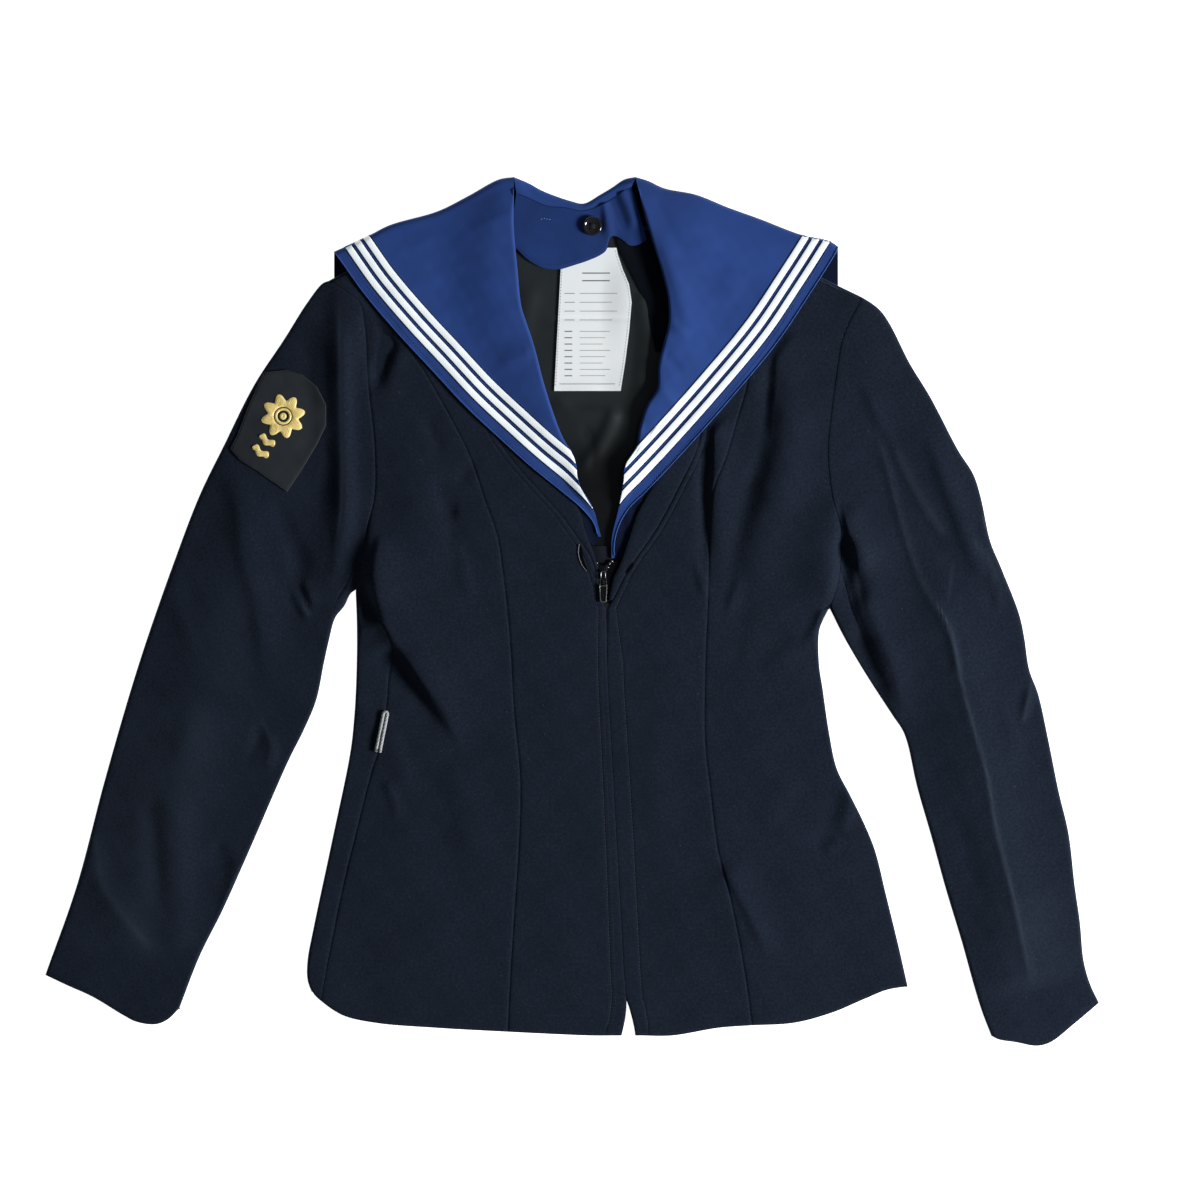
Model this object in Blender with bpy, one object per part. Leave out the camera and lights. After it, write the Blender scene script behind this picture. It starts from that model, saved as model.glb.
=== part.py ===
"""Sailor top laid flat on its back: a navy wool jumper with a blue collar.

Units in the tables are millimetres.  +X points to the wearer's left, +Y to the
neck and +Z up.  The origin is on the floor, under the middle of the garment.
The cloth is built as sheets through rows of points on its outer face, which
are then given their wall.  Neighbouring pieces share the points of a seam.
"""
import math

import bmesh
import bpy
import numpy as np
from mathutils.bvhtree import BVHTree

MM = 0.001

# ---------------------------------------------------------------- cloth
WOOL = 1.4            # wall of the wool panels
BLUE = 1.2            # wall of the collar cloth
THIN = 1.0            # lining, label, tapes and zip tapes
SEAM = 0.3            # space between two pieces at a seam
LAY = 0.3             # space between two pieces that lie on each other

# ---------------------------------------------------------------- heights
FLAP_BOTTOM = 95.0    # lower edge of the collar's back flap
UNDER_FLAP = BLUE + LAY                     # the back is lifted this much by the flap
LINING_Z = UNDER_FLAP + WOOL + LAY          # underside of the lining over the flap
FACING_Z = LINING_Z + THIN + LAY            # underside of the label and the facing
YOKE_Z = FACING_Z + THIN + LAY              # underside of the inner neck piece
SLEEVE_TOP = 5.2      # height of a sleeve's upper face, away from the body
TORSO_TOP = (         # height of the front's outer face: y, z
    (350, 7.2), (100, 7.2), (62, 8.1), (8, 8.1), (-40, 4.7), (-282, 4.5), (-335, 3.2))

# ---------------------------------------------------------------- outline
SHOULDER_R = ((-192, 262), (-163, 278), (-134, 292), (-100, 306), (-66, 321))
SHOULDER_L = ((75, 319), (110, 305), (149, 290), (190, 268), (229, 249))
ARMHOLE_R = ((-192, 262), (-181, 255), (-168, 245), (-164, 228), (-161, 181),
             (-156, 132), (-156, 93), (-162, 66), (-166, 41), (-171, 18))
ARMHOLE_L = ((229, 249), (220, 233), (213, 216), (209, 193), (205, 163), (202, 136),
             (202, 119), (205, 93), (212, 66), (212, 42), (209, 20), (203, 4))
SIDE_R = ((-171, 18), (-170, -8), (-170, -34), (-171, -66), (-172, -81), (-175, -109),
          (-190, -182), (-204, -248), (-209, -275), (-209, -290), (-206, -299))
SIDE_L = ((203, 4), (198, -6), (195, -15), (195, -40), (198, -61), (203, -95),
          (209, -123), (219, -143), (229, -163), (239, -187), (248, -223), (258, -264),
          (265, -295))
SLEEVE_R_OUTER = ((-192, 262), (-197, 260), (-209, 245), (-228, 215), (-251, 180),
                  (-275, 132), (-294, 93), (-314, 41), (-342, -40), (-369, -132),
                  (-391, -215), (-416, -286))
SLEEVE_R_INNER = ((-171, 18), (-175, 15), (-180, 5), (-187, -4), (-192, -22), (-196, -40),
                  (-202, -69), (-212, -93), (-224, -117), (-255, -188), (-276, -235),
                  (-294, -271), (-310, -312))
CUFF_R = ((-416, -286), (-399, -294), (-379, -303), (-354, -318), (-344, -323),
          (-329, -325), (-319, -321), (-310, -312))
SLEEVE_L_OUTER = ((229, 249), (237, 244), (244, 238), (252, 226), (266, 198), (283, 170),
                  (305, 128), (317, 109), (323, 90), (330, 57), (339, 35), (353, -1),
                  (357, -19), (361, -45), (368, -64), (376, -100), (384, -140),
                  (392, -174), (397, -216), (401, -244), (404, -275), (409, -293),
                  (416, -308))
SLEEVE_L_INNER = ((203, 4), (214, -18), (231, -47), (253, -81), (261, -93), (265, -104),
                  (272, -136), (284, -178), (295, -218), (308, -261), (318, -297),
                  (324, -316), (331, -334))
CUFF_L = ((416, -308), (397, -324), (378, -339), (367, -342), (350, -339), (337, -337),
          (331, -334))
HEM = ((-206, -299), (-199, -306), (-181, -318), (-155, -324), (-106, -328), (-51, -331),
       (15, -334), (33, -334), (53, -334), (79, -334), (115, -328), (141, -326),
       (175, -324), (205, -316), (231, -305), (248, -298), (265, -295))
BACK_HEM = ((-206, -299), (-190, -300), (43, -300), (200, -300), (248, -298), (265, -295))
BACK_NECK = ((-66, 321), (-40, 316), (5, 313), (45, 315), (75, 319))

# ---------------------------------------------------------------- seams
PRINCESS_R = ((-134, 292), (-134, 247), (-129, 210), (-116, 189), (-95, 152), (-81, 124),
              (-69, 89), (-59, 60), (-55, 34), (-52, 10), (-49, -23), (-46, -76),
              (-41, -132), (-42, -180), (-46, -241), (-49, -289), (-51, -331))
PRINCESS_L = ((149, 290), (146, 247), (139, 185), (130, 152), (121, 122), (112, 99),
              (108, 75), (108, 40), (107, 7), (105, -47), (105, -102), (109, -139),
              (115, -187), (125, -226), (132, -260), (138, -296), (142, -326))
SIDE_SEAM_R = ((-171, 18), (-164, 6), (-156, -2), (-147, -14), (-142, -30), (-145, -52),
               (-147, -76), (-153, -109), (-158, -124), (-171, -175), (-181, -216),
               (-190, -260), (-194, -279), (-199, -306))
NECK_R = ((-66, 321), (-70, 286), (-73, 247), (-73, 207), (-68, 168), (-60, 140),
          (-46, 119), (-24, 94), (-7, 75), (5, 58), (13, 47), (17, 38), (19.5, 28),
          (23, 14), (26, 4))
NECK_L = ((75, 319), (86, 286), (95, 247), (99, 207), (102, 168), (100, 135), (84, 99),
          (65, 64), (49, 41), (41, 28), (36, 18), (29, 4))
ZIP_R = ((26, 4), (28, -47), (32, -120), (36, -192), (40, -264), (41, -282), (42.5, -303),
         (42, -316), (40, -328), (38, -336))
ZIP_L = ((29, 4), (28.3, -20), (28, -47), (32, -120), (36, -192), (40, -264),
         (41, -282), (43, -303), (46, -312), (50, -328), (51, -336))
BAND_R = (            # inner edge of the neck band: x, y
    (-53, 321), (-56, 286), (-59, 247), (-59, 207), (-52, 168), (-41, 140), (-27, 121),
    (-8, 99), (5, 82), (11, 63), (16, 50), (19, 40), (20.6, 31), (21.3, 24), (24, 13),
    (26.2, 6))
BAND_L = (
    (61, 319), (71, 286), (81, 247), (85, 207), (86, 168), (79, 135), (67, 106),
    (52, 79), (46, 61), (42, 49), (38, 38), (33, 28), (29.6, 12), (28.8, 6))
SEAM_WRAP = 20.0      # the left side seam and the sleeves' hind seams lie this far in

# ---------------------------------------------------------------- collar
FOLD_R = ((-188, 285), (-179, 289), (-160, 298), (-144, 306), (-106, 317), (-82, 329),
          (-58, 342), (-46, 344))
FOLD_L = ((210, 289), (204, 293), (182, 298), (148, 311), (123, 320), (98, 330),
          (73, 335), (60, 341), (50, 344))
NECK_FOLD = ((-46, 344), (-34, 339), (-23, 333), (-1, 325), (9, 323), (22, 330),
             (32, 336), (41, 342), (50, 344))
FALL_R_OUTER = ((-188, 285), (-184, 280), (-164.5, 252.5), (-137, 220), (-111, 192),
                (-84, 163), (-58.5, 139), (-33, 116), (-9, 96.5), (6.5, 83.5), (17, 71),
                (20.5, 60))
FALL_R_INNER = ((-46, 344), (-46, 325), (-46, 305), (-43, 271), (-40, 242), (-36, 229),
                (-30, 211), (-21, 177), (-8, 140), (2, 122), (6, 101), (16, 83),
                (23, 60))
FALL_L_OUTER = ((210, 289), (207.5, 283.5), (187, 251), (161, 212.5), (121.5, 165),
                (83.5, 122.5), (59.5, 97), (44, 81.5), (36, 66.5), (33, 52), (33.5, 43))
FALL_L_INNER = ((50, 344), (56, 318), (63, 294), (71, 268), (75.5, 248), (76, 229),
                (73, 216), (68, 195), (67, 177), (59, 164), (53, 146), (50, 129),
                (42, 117), (40, 101), (36, 79), (31.5, 60), (31, 43))
ROLL_RISE = (         # how far the roll of a fall stands above its outer part: v, mm
    (0, 0), (0.03, 1.0), (0.1, 4.6), (0.35, 4.6), (0.6, 3.2), (0.8, 2.4), (1, 1.5))
ROLL_RADIUS = 2.4
YOKE_SEAM = ((-44, 331), (-34, 327), (-20, 321), (-5, 319.5), (8, 317), (22, 321),
             (33, 327), (41, 333), (47, 336))
YOKE_EDGE = ((-50, 291), (-45, 288), (-34, 278), (-22, 272), (-10, 271), (1, 274),
             (13, 278), (22, 282), (27, 286), (28.5, 292), (31, 297), (35, 297),
             (40, 294), (45, 290), (51, 290), (59, 294))

# ---------------------------------------------------------------- rows
LEVELS = (240, 214, 188, 162, 138, 116, 95, 72, 50, 34, 22, 18, 10, 4, -4, -22,
          -48, -76, -104, -132, -160, -190, -220, -250, -282)
SETTLE = 30           # rounds in which a slanting row finds its place
ROLL = (0.0, 0.29, 1.0)   # places on a rolled edge, in radii in from the outline
SHOULDER_ROLL = 3.4       # radius of the fold at the shoulder seam

# ---------------------------------------------------------------- folds
# path on the plan, height of the crest (a trough is negative), width of the
# slope left and right of the path, share of the path over which it fades in/out
FOLDS = (
    # underarm fold of the right front, down across the waist
    (((-152, 84), (-159, 53), (-160, 30), (-153, 10), (-141, -18), (-118, -52),
      (-96, -83), (-87, -109)), 6.5, 36, 6, 0.25, 0.35),
    # hollow that this fold leaves on its outer side
    (((-168, 12), (-158, -14), (-128, -58), (-104, -92)), -1.6, 9, 12, 0.3, 0.4),
    # deep dent beside the right armhole, under the collar
    (((-146, 262), (-147, 238), (-152, 206), (-153, 170)), -2.4, 7, 10, 0.2, 0.4),
    (((-128, 214), (-146, 192), (-151, 160)), 1.6, 12, 8, 0.3, 0.4),
    # chest of the right front
    (((-120, 150), (-122, 100), (-118, 40), (-104, -10)), 2.6, 26, 26, 0.3, 0.4),
    # left front: two troughs from the collar to the waist
    (((155, 211), (155, 144), (141, 97), (129, 41), (127, 8), (117, -6)), -2.2, 12, 8,
     0.15, 0.3),
    (((106, 146), (105, 89), (107, 18)), -2.2, 7, 7, 0.15, 0.35),
    (((174, 190), (172, 130), (160, 80), (150, 30)), 3.0, 20, 22, 0.3, 0.4),
    # bulge of the left front at the armhole
    (((204, 100), (206, 70), (206, 44), (201, 18), (194, -2)), 4.6, 6, 24, 0.3, 0.3),
    # right hip and left hip
    (((-150, -160), (-130, -230), (-120, -300)), 1.6, 30, 30, 0.3, 0.2),
    (((108, -200), (129, -231), (156, -280)), 2.2, 12, 26, 0.3, 0.3),
    (((221, -130), (206, -170), (198, -205)), -1.5, 12, 12, 0.3, 0.4),
    # right sleeve: pressed ridge beside the armhole, and its hollow
    (((-182, 240), (-182, 190), (-181, 130), (-180, 80), (-186, 45), (-196, 10)), 4.6,
     8, 16, 0.15, 0.35),
    (((-192, 225), (-192, 170), (-192, 110), (-196, 70)), -1.6, 8, 7, 0.2, 0.4),
    (((-214, 70), (-216, 20), (-222, -20)), -1.4, 10, 10, 0.3, 0.4),
    # right sleeve: fullness down its middle
    (((-235, 180), (-250, 100), (-280, 0), (-305, -90), (-330, -190), (-350, -290)),
     3.4, 30, 30, 0.2, 0.15),
    # left sleeve: hollow that runs from the armhole to the elbow
    (((224, 190), (243, 168), (259, 128), (283, 89), (307, 45), (330, 10)), -1.6, 12, 10,
     0.2, 0.3),
    # left sleeve: pressed ridge to the cuff
    (((283, 60), (291, 10), (305, -50), (318, -101), (338, -196), (363, -300)), 3.6, 18,
     24, 0.15, 0.15),
    # left sleeve: edge that turns over the underarm
    (((214, 78), (221, 42), (229, 5), (240, -22), (254, -60), (262, -92)), 4.6, 26, 6,
     0.2, 0.35),
    (((262, 170), (290, 110), (312, 50), (330, -30)), 2.2, 14, 14, 0.3, 0.3),
)


# ================================================================ curves
class Line:
    """A smooth line through plan points, read by length, by height or by x."""

    def __init__(self, points, steps=12):
        p = np.array(points, float)
        ends = np.vstack([2 * p[0] - p[1], p, 2 * p[-1] - p[-2]])
        run = []
        for a, b, c, d in zip(ends, ends[1:], ends[2:], ends[3:]):
            knots = [0.0]
            for q, r in ((a, b), (b, c), (c, d)):
                knots.append(knots[-1] + math.sqrt(max(np.linalg.norm(r - q), 1e-6)))
            for i in range(steps):
                t = knots[1] + (knots[2] - knots[1]) * i / steps
                run.append(blend_points((a, b, c, d), knots, t))
        run.append(p[-1])
        self.points = np.array(run)
        steps_long = np.linalg.norm(np.diff(self.points, axis=0), axis=1)
        self.length = steps_long.sum()
        self.share = np.concatenate([[0], np.cumsum(steps_long)]) / self.length

    def at(self, t):
        return np.array([np.interp(t, self.share, self.points[:, k]) for k in (0, 1)])

    def x_at(self, y):
        order = np.argsort(self.points[:, 1], kind="stable")
        return np.interp(y, self.points[order, 1], self.points[order, 0])

    def y_at(self, x):
        order = np.argsort(self.points[:, 0], kind="stable")
        return np.interp(x, self.points[order, 0], self.points[order, 1])


def blend_points(p, k, t):
    """Centripetal Catmull-Rom: the pyramid of linear blends at knot value t."""
    a = [(p[i] * (k[i + 1] - t) + p[i + 1] * (t - k[i])) / (k[i + 1] - k[i])
         for i in range(3)]
    b = [(a[i] * (k[i + 2] - t) + a[i + 1] * (t - k[i])) / (k[i + 2] - k[i])
         for i in range(2)]
    return (b[0] * (k[2] - t) + b[1] * (t - k[1])) / (k[2] - k[1])


def ramp(a, b, value):
    """0 at a, 1 at b, smooth between."""
    t = np.clip((value - a) / (b - a), 0, 1)
    return t * t * (3 - 2 * t)


def table(rows, value):
    """Read a two-column table, whose first column may rise or fall."""
    rows = sorted(rows)
    return np.interp(value, [r[0] for r in rows], [r[1] for r in rows])


def near(points, x, y):
    """Distance from (x, y) to a run of points, its side (+ left), and the share."""
    p = np.asarray(points)
    a, b = p[:-1], p[1:]
    ab = b - a
    span = np.maximum((ab ** 2).sum(1), 1e-12)
    q = np.array([x, y]) - a
    t = np.clip((q * ab).sum(1) / span, 0, 1)
    off = q - ab * t[:, None]
    gap = np.hypot(off[:, 0], off[:, 1])
    i = int(np.argmin(gap))
    side = ab[i, 0] * off[i, 1] - ab[i, 1] * off[i, 0]
    lengths = np.sqrt(span)
    share = (lengths[:i].sum() + lengths[i] * t[i]) / lengths.sum()
    return gap[i], (1 if side >= 0 else -1), share


LINES = {name: Line(points) for name, points in dict(
    shoulder_r=SHOULDER_R, shoulder_l=SHOULDER_L, arm_r=ARMHOLE_R, arm_l=ARMHOLE_L,
    side_r=SIDE_R, side_l=SIDE_L, princess_r=PRINCESS_R, princess_l=PRINCESS_L,
    side_seam_r=SIDE_SEAM_R, neck_r=NECK_R, neck_l=NECK_L, zip_r=ZIP_R, zip_l=ZIP_L,
    band_r=BAND_R, band_l=BAND_L, outer_r=SLEEVE_R_OUTER, inner_r=SLEEVE_R_INNER,
    cuff_r=CUFF_R, outer_l=SLEEVE_L_OUTER, inner_l=SLEEVE_L_INNER, cuff_l=CUFF_L,
    hem=HEM, back_hem=BACK_HEM, back_neck=BACK_NECK, fold_r=FOLD_R, fold_l=FOLD_L,
    neck_fold=NECK_FOLD, fall_r_outer=FALL_R_OUTER, fall_r_inner=FALL_R_INNER,
    fall_l_outer=FALL_L_OUTER, fall_l_inner=FALL_L_INNER, yoke_seam=YOKE_SEAM,
    yoke_edge=YOKE_EDGE).items()}
CLOSED_EDGES = [LINES[name].points for name in (
    "shoulder_r", "shoulder_l", "side_r", "side_l", "outer_r", "inner_r", "outer_l",
    "inner_l")]
FOLD_RUNS = [(Line(fold[0], 6).points,) + fold[1:] for fold in FOLDS]
ARMPIT_R = SIDE_R[0]
ARMPIT_L = SIDE_L[0]


# ================================================================ heights
def flap_lift(x, y):
    """Height of the back's underside: it lies over the collar's flap."""
    across = ramp(-222, -204, x) * (1 - ramp(226, 246, x))
    sleeve = max(ramp(-158, -172, x), ramp(200, 208, x))
    low, high = 72 - 30 * sleeve, 95 - 20 * sleeve
    return UNDER_FLAP * across * np.clip((y - low) / (high - low), 0, 1)


def fall_cover(x, y):
    """0 under the collar's falls, 1 clear of them."""
    edge = max(LINES["fall_r_outer"].y_at(x) if x < 21 else -999,
               LINES["fall_l_outer"].y_at(x) if x > 33 else -999)
    if x < -188 or x > 210:
        return 1.0
    return float(ramp(1, 16, edge - y))


def folds(x, y):
    """Height that the folds add at a place on the plan."""
    total = 0.0
    for path, height, left, right, fade_in, fade_out in FOLD_RUNS:
        reach = 2.6 * max(left, right)
        low, high = path.min(0) - reach, path.max(0) + reach
        if not (low[0] < x < high[0] and low[1] < y < high[1]):
            continue
        gap, side, share = near(path, x, y)
        width = left if side > 0 else right
        fade = ramp(0, fade_in, share) * (1 - ramp(1 - fade_out, 1, share))
        total += height * fade * math.exp(-(gap / width) ** 2)
    return total * fall_cover(x, y)


def plain_top(x, y):
    """Height of the upper cloth's outer face without its folds."""
    body = ramp(-262, -150, x) * (1 - ramp(204, 300, x))
    return SLEEVE_TOP + (table(TORSO_TOP, y) - SLEEVE_TOP) * body


def edge_gap(x, y):
    """Distance to the nearest rolled edge."""
    return min(near(run, x, y)[0] for run in CLOSED_EDGES)


def skin(x, y, face, gap=None):
    """Outer face of the garment at a place: face is +1 above, -1 below."""
    low = flap_lift(x, y)
    least = low + 2 * WOOL + 0.4
    high = max(plain_top(x, y) + folds(x, y), least)
    half = (high - low) / 2
    if gap is None:
        gap = edge_gap(x, y)
    bend = math.sqrt(max(0.0, 1 - (1 - min(gap / half, 1)) ** 2))
    place = (x, y, (high + low) / 2 + face * half * bend)
    if gap == 0:
        RIM.add(weld_key(place))
    return place


RIM = set()           # points on the outline, where the cloth stands upright
WIDER = {}            # points where three rolled pieces meet, whose seam opens wider


def upper(x, y, gap=None):
    return skin(x, y, 1, gap)


def lower(x, y, gap=None):
    return skin(x, y, -1, gap)


def roll_radius(x, y):
    return (max(plain_top(x, y) + folds(x, y), 2 * WOOL + 0.4) - flap_lift(x, y)) / 2


# ================================================================ sheets
class Sheet:
    """Triangles through rows of points on the outer face of one piece."""

    def __init__(self, wall, flip=False):
        self.wall = wall
        self.flip = flip
        self.points = []
        self.index = {}
        self.faces = []

    def point(self, p):
        key = weld_key(p)
        if key not in self.index:
            self.index[key] = len(self.points)
            self.points.append(tuple(float(c) for c in p))
        return self.index[key]

    def rows(self, rows):
        """Join rows of (key, point); rows meet at the keys that they share."""
        for upper_row, lower_row in zip(rows, rows[1:]):
            keys = [k for k, _ in upper_row if k in {q for q, _ in lower_row}]
            cuts_a = [[k for k, _ in upper_row].index(k) for k in keys]
            cuts_b = [[k for k, _ in lower_row].index(k) for k in keys]
            if keys:
                cuts_a[0], cuts_b[0] = 0, 0
                cuts_a[-1], cuts_b[-1] = len(upper_row) - 1, len(lower_row) - 1
            if len(keys) < 2:
                cuts_a, cuts_b = [0, len(upper_row) - 1], [0, len(lower_row) - 1]
            for i in range(len(cuts_a) - 1):
                self.zip_runs([p for _, p in upper_row[cuts_a[i]:cuts_a[i + 1] + 1]],
                              [p for _, p in lower_row[cuts_b[i]:cuts_b[i + 1] + 1]])

    def zip_runs(self, a, b):
        """Triangles between two runs, each advanced by its share of the length."""
        sa, sb = shares(a), shares(b)
        ia = [self.point(p) for p in a]
        ib = [self.point(p) for p in b]
        i = j = 0
        while i < len(a) - 1 or j < len(b) - 1:
            next_a = sa[i + 1] if i < len(a) - 1 else 9
            next_b = sb[j + 1] if j < len(b) - 1 else 9
            if next_b <= next_a:
                self.face(ia[i], ib[j], ib[j + 1])
                j += 1
            else:
                self.face(ia[i], ib[j], ia[i + 1])
                i += 1

    def face(self, *corners):
        if len(set(corners)) == 3:
            self.faces.append(corners[::-1] if self.flip else corners)


def weld_key(p):
    return tuple(round(float(c), 3) for c in p)


def shares(run):
    steps = [math.dist(p, q) for p, q in zip(run, run[1:])]
    total = sum(steps) or 1
    out = [0.0]
    for step in steps:
        out.append(out[-1] + step / total)
    return out


def point_normals(sheets):
    """Normals shared by all pieces that meet at a point."""
    sums = {}
    for sheet in sheets:
        pts = np.array(sheet.points)
        for face in sheet.faces:
            a, b, c = pts[list(face)]
            normal = np.cross(b - a, c - a)
            for i in face:
                key = weld_key(sheet.points[i])
                sums[key] = sums.get(key, 0) + normal
    for key in RIM & set(sums):
        sums[key] = sums[key] * (1, 1, 0)
    return {key: n / max(np.linalg.norm(n), 1e-9) for key, n in sums.items()}


def boundary_pull(sheet):
    """For each point on a sheet's boundary, the step that opens half a seam."""
    pts = np.array(sheet.points)
    used = {}
    for face in sheet.faces:
        for i, j in zip(face, face[1:] + face[:1]):
            used[(i, j)] = face
    pulls = {}
    for (i, j), face in used.items():
        if (j, i) in used:
            continue
        a, b, c = pts[list(face)]
        normal = np.cross(b - a, c - a)
        inward = np.cross(normal, pts[j] - pts[i])
        inward /= max(np.linalg.norm(inward), 1e-9)
        for k in (i, j):
            pulls.setdefault(k, []).append(inward)
    steps = {}
    for k, pair in pulls.items():
        total = sum(pair)
        mitre = max(1 + float(np.dot(pair[0], pair[-1])), 0.5) if len(pair) > 1 else 1
        steps[k] = total / mitre * SEAM / 2 * WIDER.get(weld_key(sheet.points[k]), 1)
    edges = [e for e in used if (e[1], e[0]) not in used]
    return steps, edges


def solid(name, sheet, normals, material):
    """Give a sheet its wall, inward from the outer face."""
    steps, edges = boundary_pull(sheet)
    outer, inner = [], []
    for i, p in enumerate(sheet.points):
        at = np.array(p) + steps.get(i, 0)
        at[2] = max(at[2], 0)
        outer.append(at)
        inner.append(at - normals[weld_key(p)] * sheet.wall)
    count = len(outer)
    faces = [tuple(face) for face in sheet.faces]
    faces += [tuple(i + count for i in face[::-1]) for face in sheet.faces]
    for i, j in edges:
        faces.append((j, i, i + count))
        faces.append((j, i + count, j + count))
    return add_mesh(name, outer + inner, faces, material)


def add_mesh(name, points, faces, material):
    mesh = bpy.data.meshes.new(name)
    mesh.from_pydata([tuple(float(c) * MM for c in p) for p in points], [], faces)
    mesh.update()
    obj = bpy.data.objects.new(name, mesh)
    bpy.context.scene.collection.objects.link(obj)
    obj.parent = garment
    mesh.materials.append(material)
    return obj


# ================================================================ materials
def material(name, colour, roughness, metallic=0.0):
    made = bpy.data.materials.new(name)
    made.use_nodes = True
    shader = made.node_tree.nodes["Principled BSDF"]
    shader.inputs["Base Color"].default_value = (*colour, 1)
    shader.inputs["Roughness"].default_value = roughness
    shader.inputs["Metallic"].default_value = metallic
    return made


# ================================================================ body
def between(left, right, count):
    return [left + (right - left) * i / (count - 1) for i in range(count)]


def below_shoulder(y):
    """Height of the row halfway between the shoulder's fold and the first level."""
    return (y - SHOULDER_ROLL + LEVELS[0]) / 2


def torso_panel(left, right, top, hem, columns, wrap=None):
    """Rows of a front panel from the shoulder to the hem.

    left and right give x at a height; top and hem give y at an x.  wrap adds
    columns round the rolled edge at the panel's right side, below a height.
    """
    rows = []
    shares_across = between(0, 1, columns)

    def row(height, gap_of_top=None):
        """height is a number, or a function of x for a row along the shoulder."""
        line = []
        for k, share in enumerate(shares_across):
            y = height(left(240) + (right(240) - left(240)) * share) \
                if callable(height) else height
            for _ in range(SETTLE):
                x = left(y) + (right(y) - left(y)) * share
                y = height(x) if callable(height) else height
            line.append((k, upper(x, y, gap_of_top)))
        return line

    for share in ROLL:
        gap = share * SHOULDER_ROLL
        rows.append(row(lambda x, g=gap: top(x) - g, gap if share < 1 else None))
    rows.append(row(lambda x: below_shoulder(top(x))))
    for level in LEVELS:
        rows.append(row(level))
    rows.append(row(lambda x: (hem(x) + LEVELS[-1]) / 2))
    rows.append(row(hem))
    if wrap:
        wrap(rows, columns)
    return rows


def side_wrap(edge, pit, direction, tail):
    """Columns from the upper face round a side's rolled edge to the lower one.

    edge gives x at a height, direction is +1 where the body lies at smaller x,
    tail is how far the cloth goes on under (or over) the garment.
    """
    def columns(y):
        x = edge(y)
        radius = roll_radius(x - direction * 4, y)
        start = pit[1]
        if y > start + 1e-6:
            return []
        if abs(y - start) <= 1e-6:
            return [(0, skin(x, y, 1, 0))]
        run = []
        for face, share in ((1, 1.0), (1, 0.29), (1, 0.0), (-1, 0.29), (-1, 1.0)):
            gap = share * radius
            run.append((len(run), skin(x - direction * gap, y, face, gap)))
        reach = radius + (tail - radius) * min(1.0, (start - y) / 40)
        run.append((len(run), lower(x - direction * reach, y)))
        return run
    return columns


def x_line(*names):
    """x at a height, read from lines that follow each other downwards."""
    lines = [LINES[name] for name in names]

    def read(y):
        for line in lines[:-1]:
            if y >= line.points[-1][1]:
                return float(line.x_at(y))
        return float(lines[-1].x_at(y))
    return read


def build_torso(sheets):
    shoulder_r = LINES["shoulder_r"].y_at
    shoulder_l = LINES["shoulder_l"].y_at
    hem = LINES["hem"].y_at
    left_r = x_line("arm_r", "side_seam_r")
    princess_r = x_line("princess_r")
    centre_r = x_line("neck_r", "zip_r")
    centre_l = x_line("neck_l", "zip_l")
    princess_l = x_line("princess_l")

    def plain(name, left, right, top, columns):
        sheet = Sheet(WOOL)
        sheet.rows(torso_panel(left, right, top, hem, columns))
        sheets[name] = sheet

    plain("front_side_right", left_r, princess_r, shoulder_r, 9)
    plain("front_centre_right", princess_r, centre_r, shoulder_r, 6)
    plain("front_centre_left", centre_l, princess_l, shoulder_l, 6)
    build_left_side(sheets, princess_l, shoulder_l, hem)
    build_back(sheets)
    build_band(sheets, "neck_band_right", centre_r, x_line("band_r"), shoulder_r, 1)
    build_band(sheets, "neck_band_left", centre_l, x_line("band_l"), shoulder_l, -1)


def left_edge(y):
    """Right-hand limit of the left side panel's flat part."""
    if y >= ARMPIT_L[1]:
        return float(LINES["arm_l"].x_at(y))
    x = float(LINES["side_l"].x_at(y))
    return x - roll_radius(x - 4, y)


def build_left_side(sheets, princess, shoulder, hem):
    wrap = side_wrap(lambda y: float(LINES["side_l"].x_at(y)), ARMPIT_L, 1, SEAM_WRAP)
    columns = 8
    rows = torso_panel(princess, left_edge, shoulder, hem, columns)
    for row in rows:
        key, corner = row[-1]
        for i, (_, p) in enumerate(wrap(corner[1])):
            if i:
                row.append((columns + i, p))
    sheet = Sheet(WOOL)
    sheet.rows(rows)
    sheets["front_side_left"] = sheet


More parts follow.
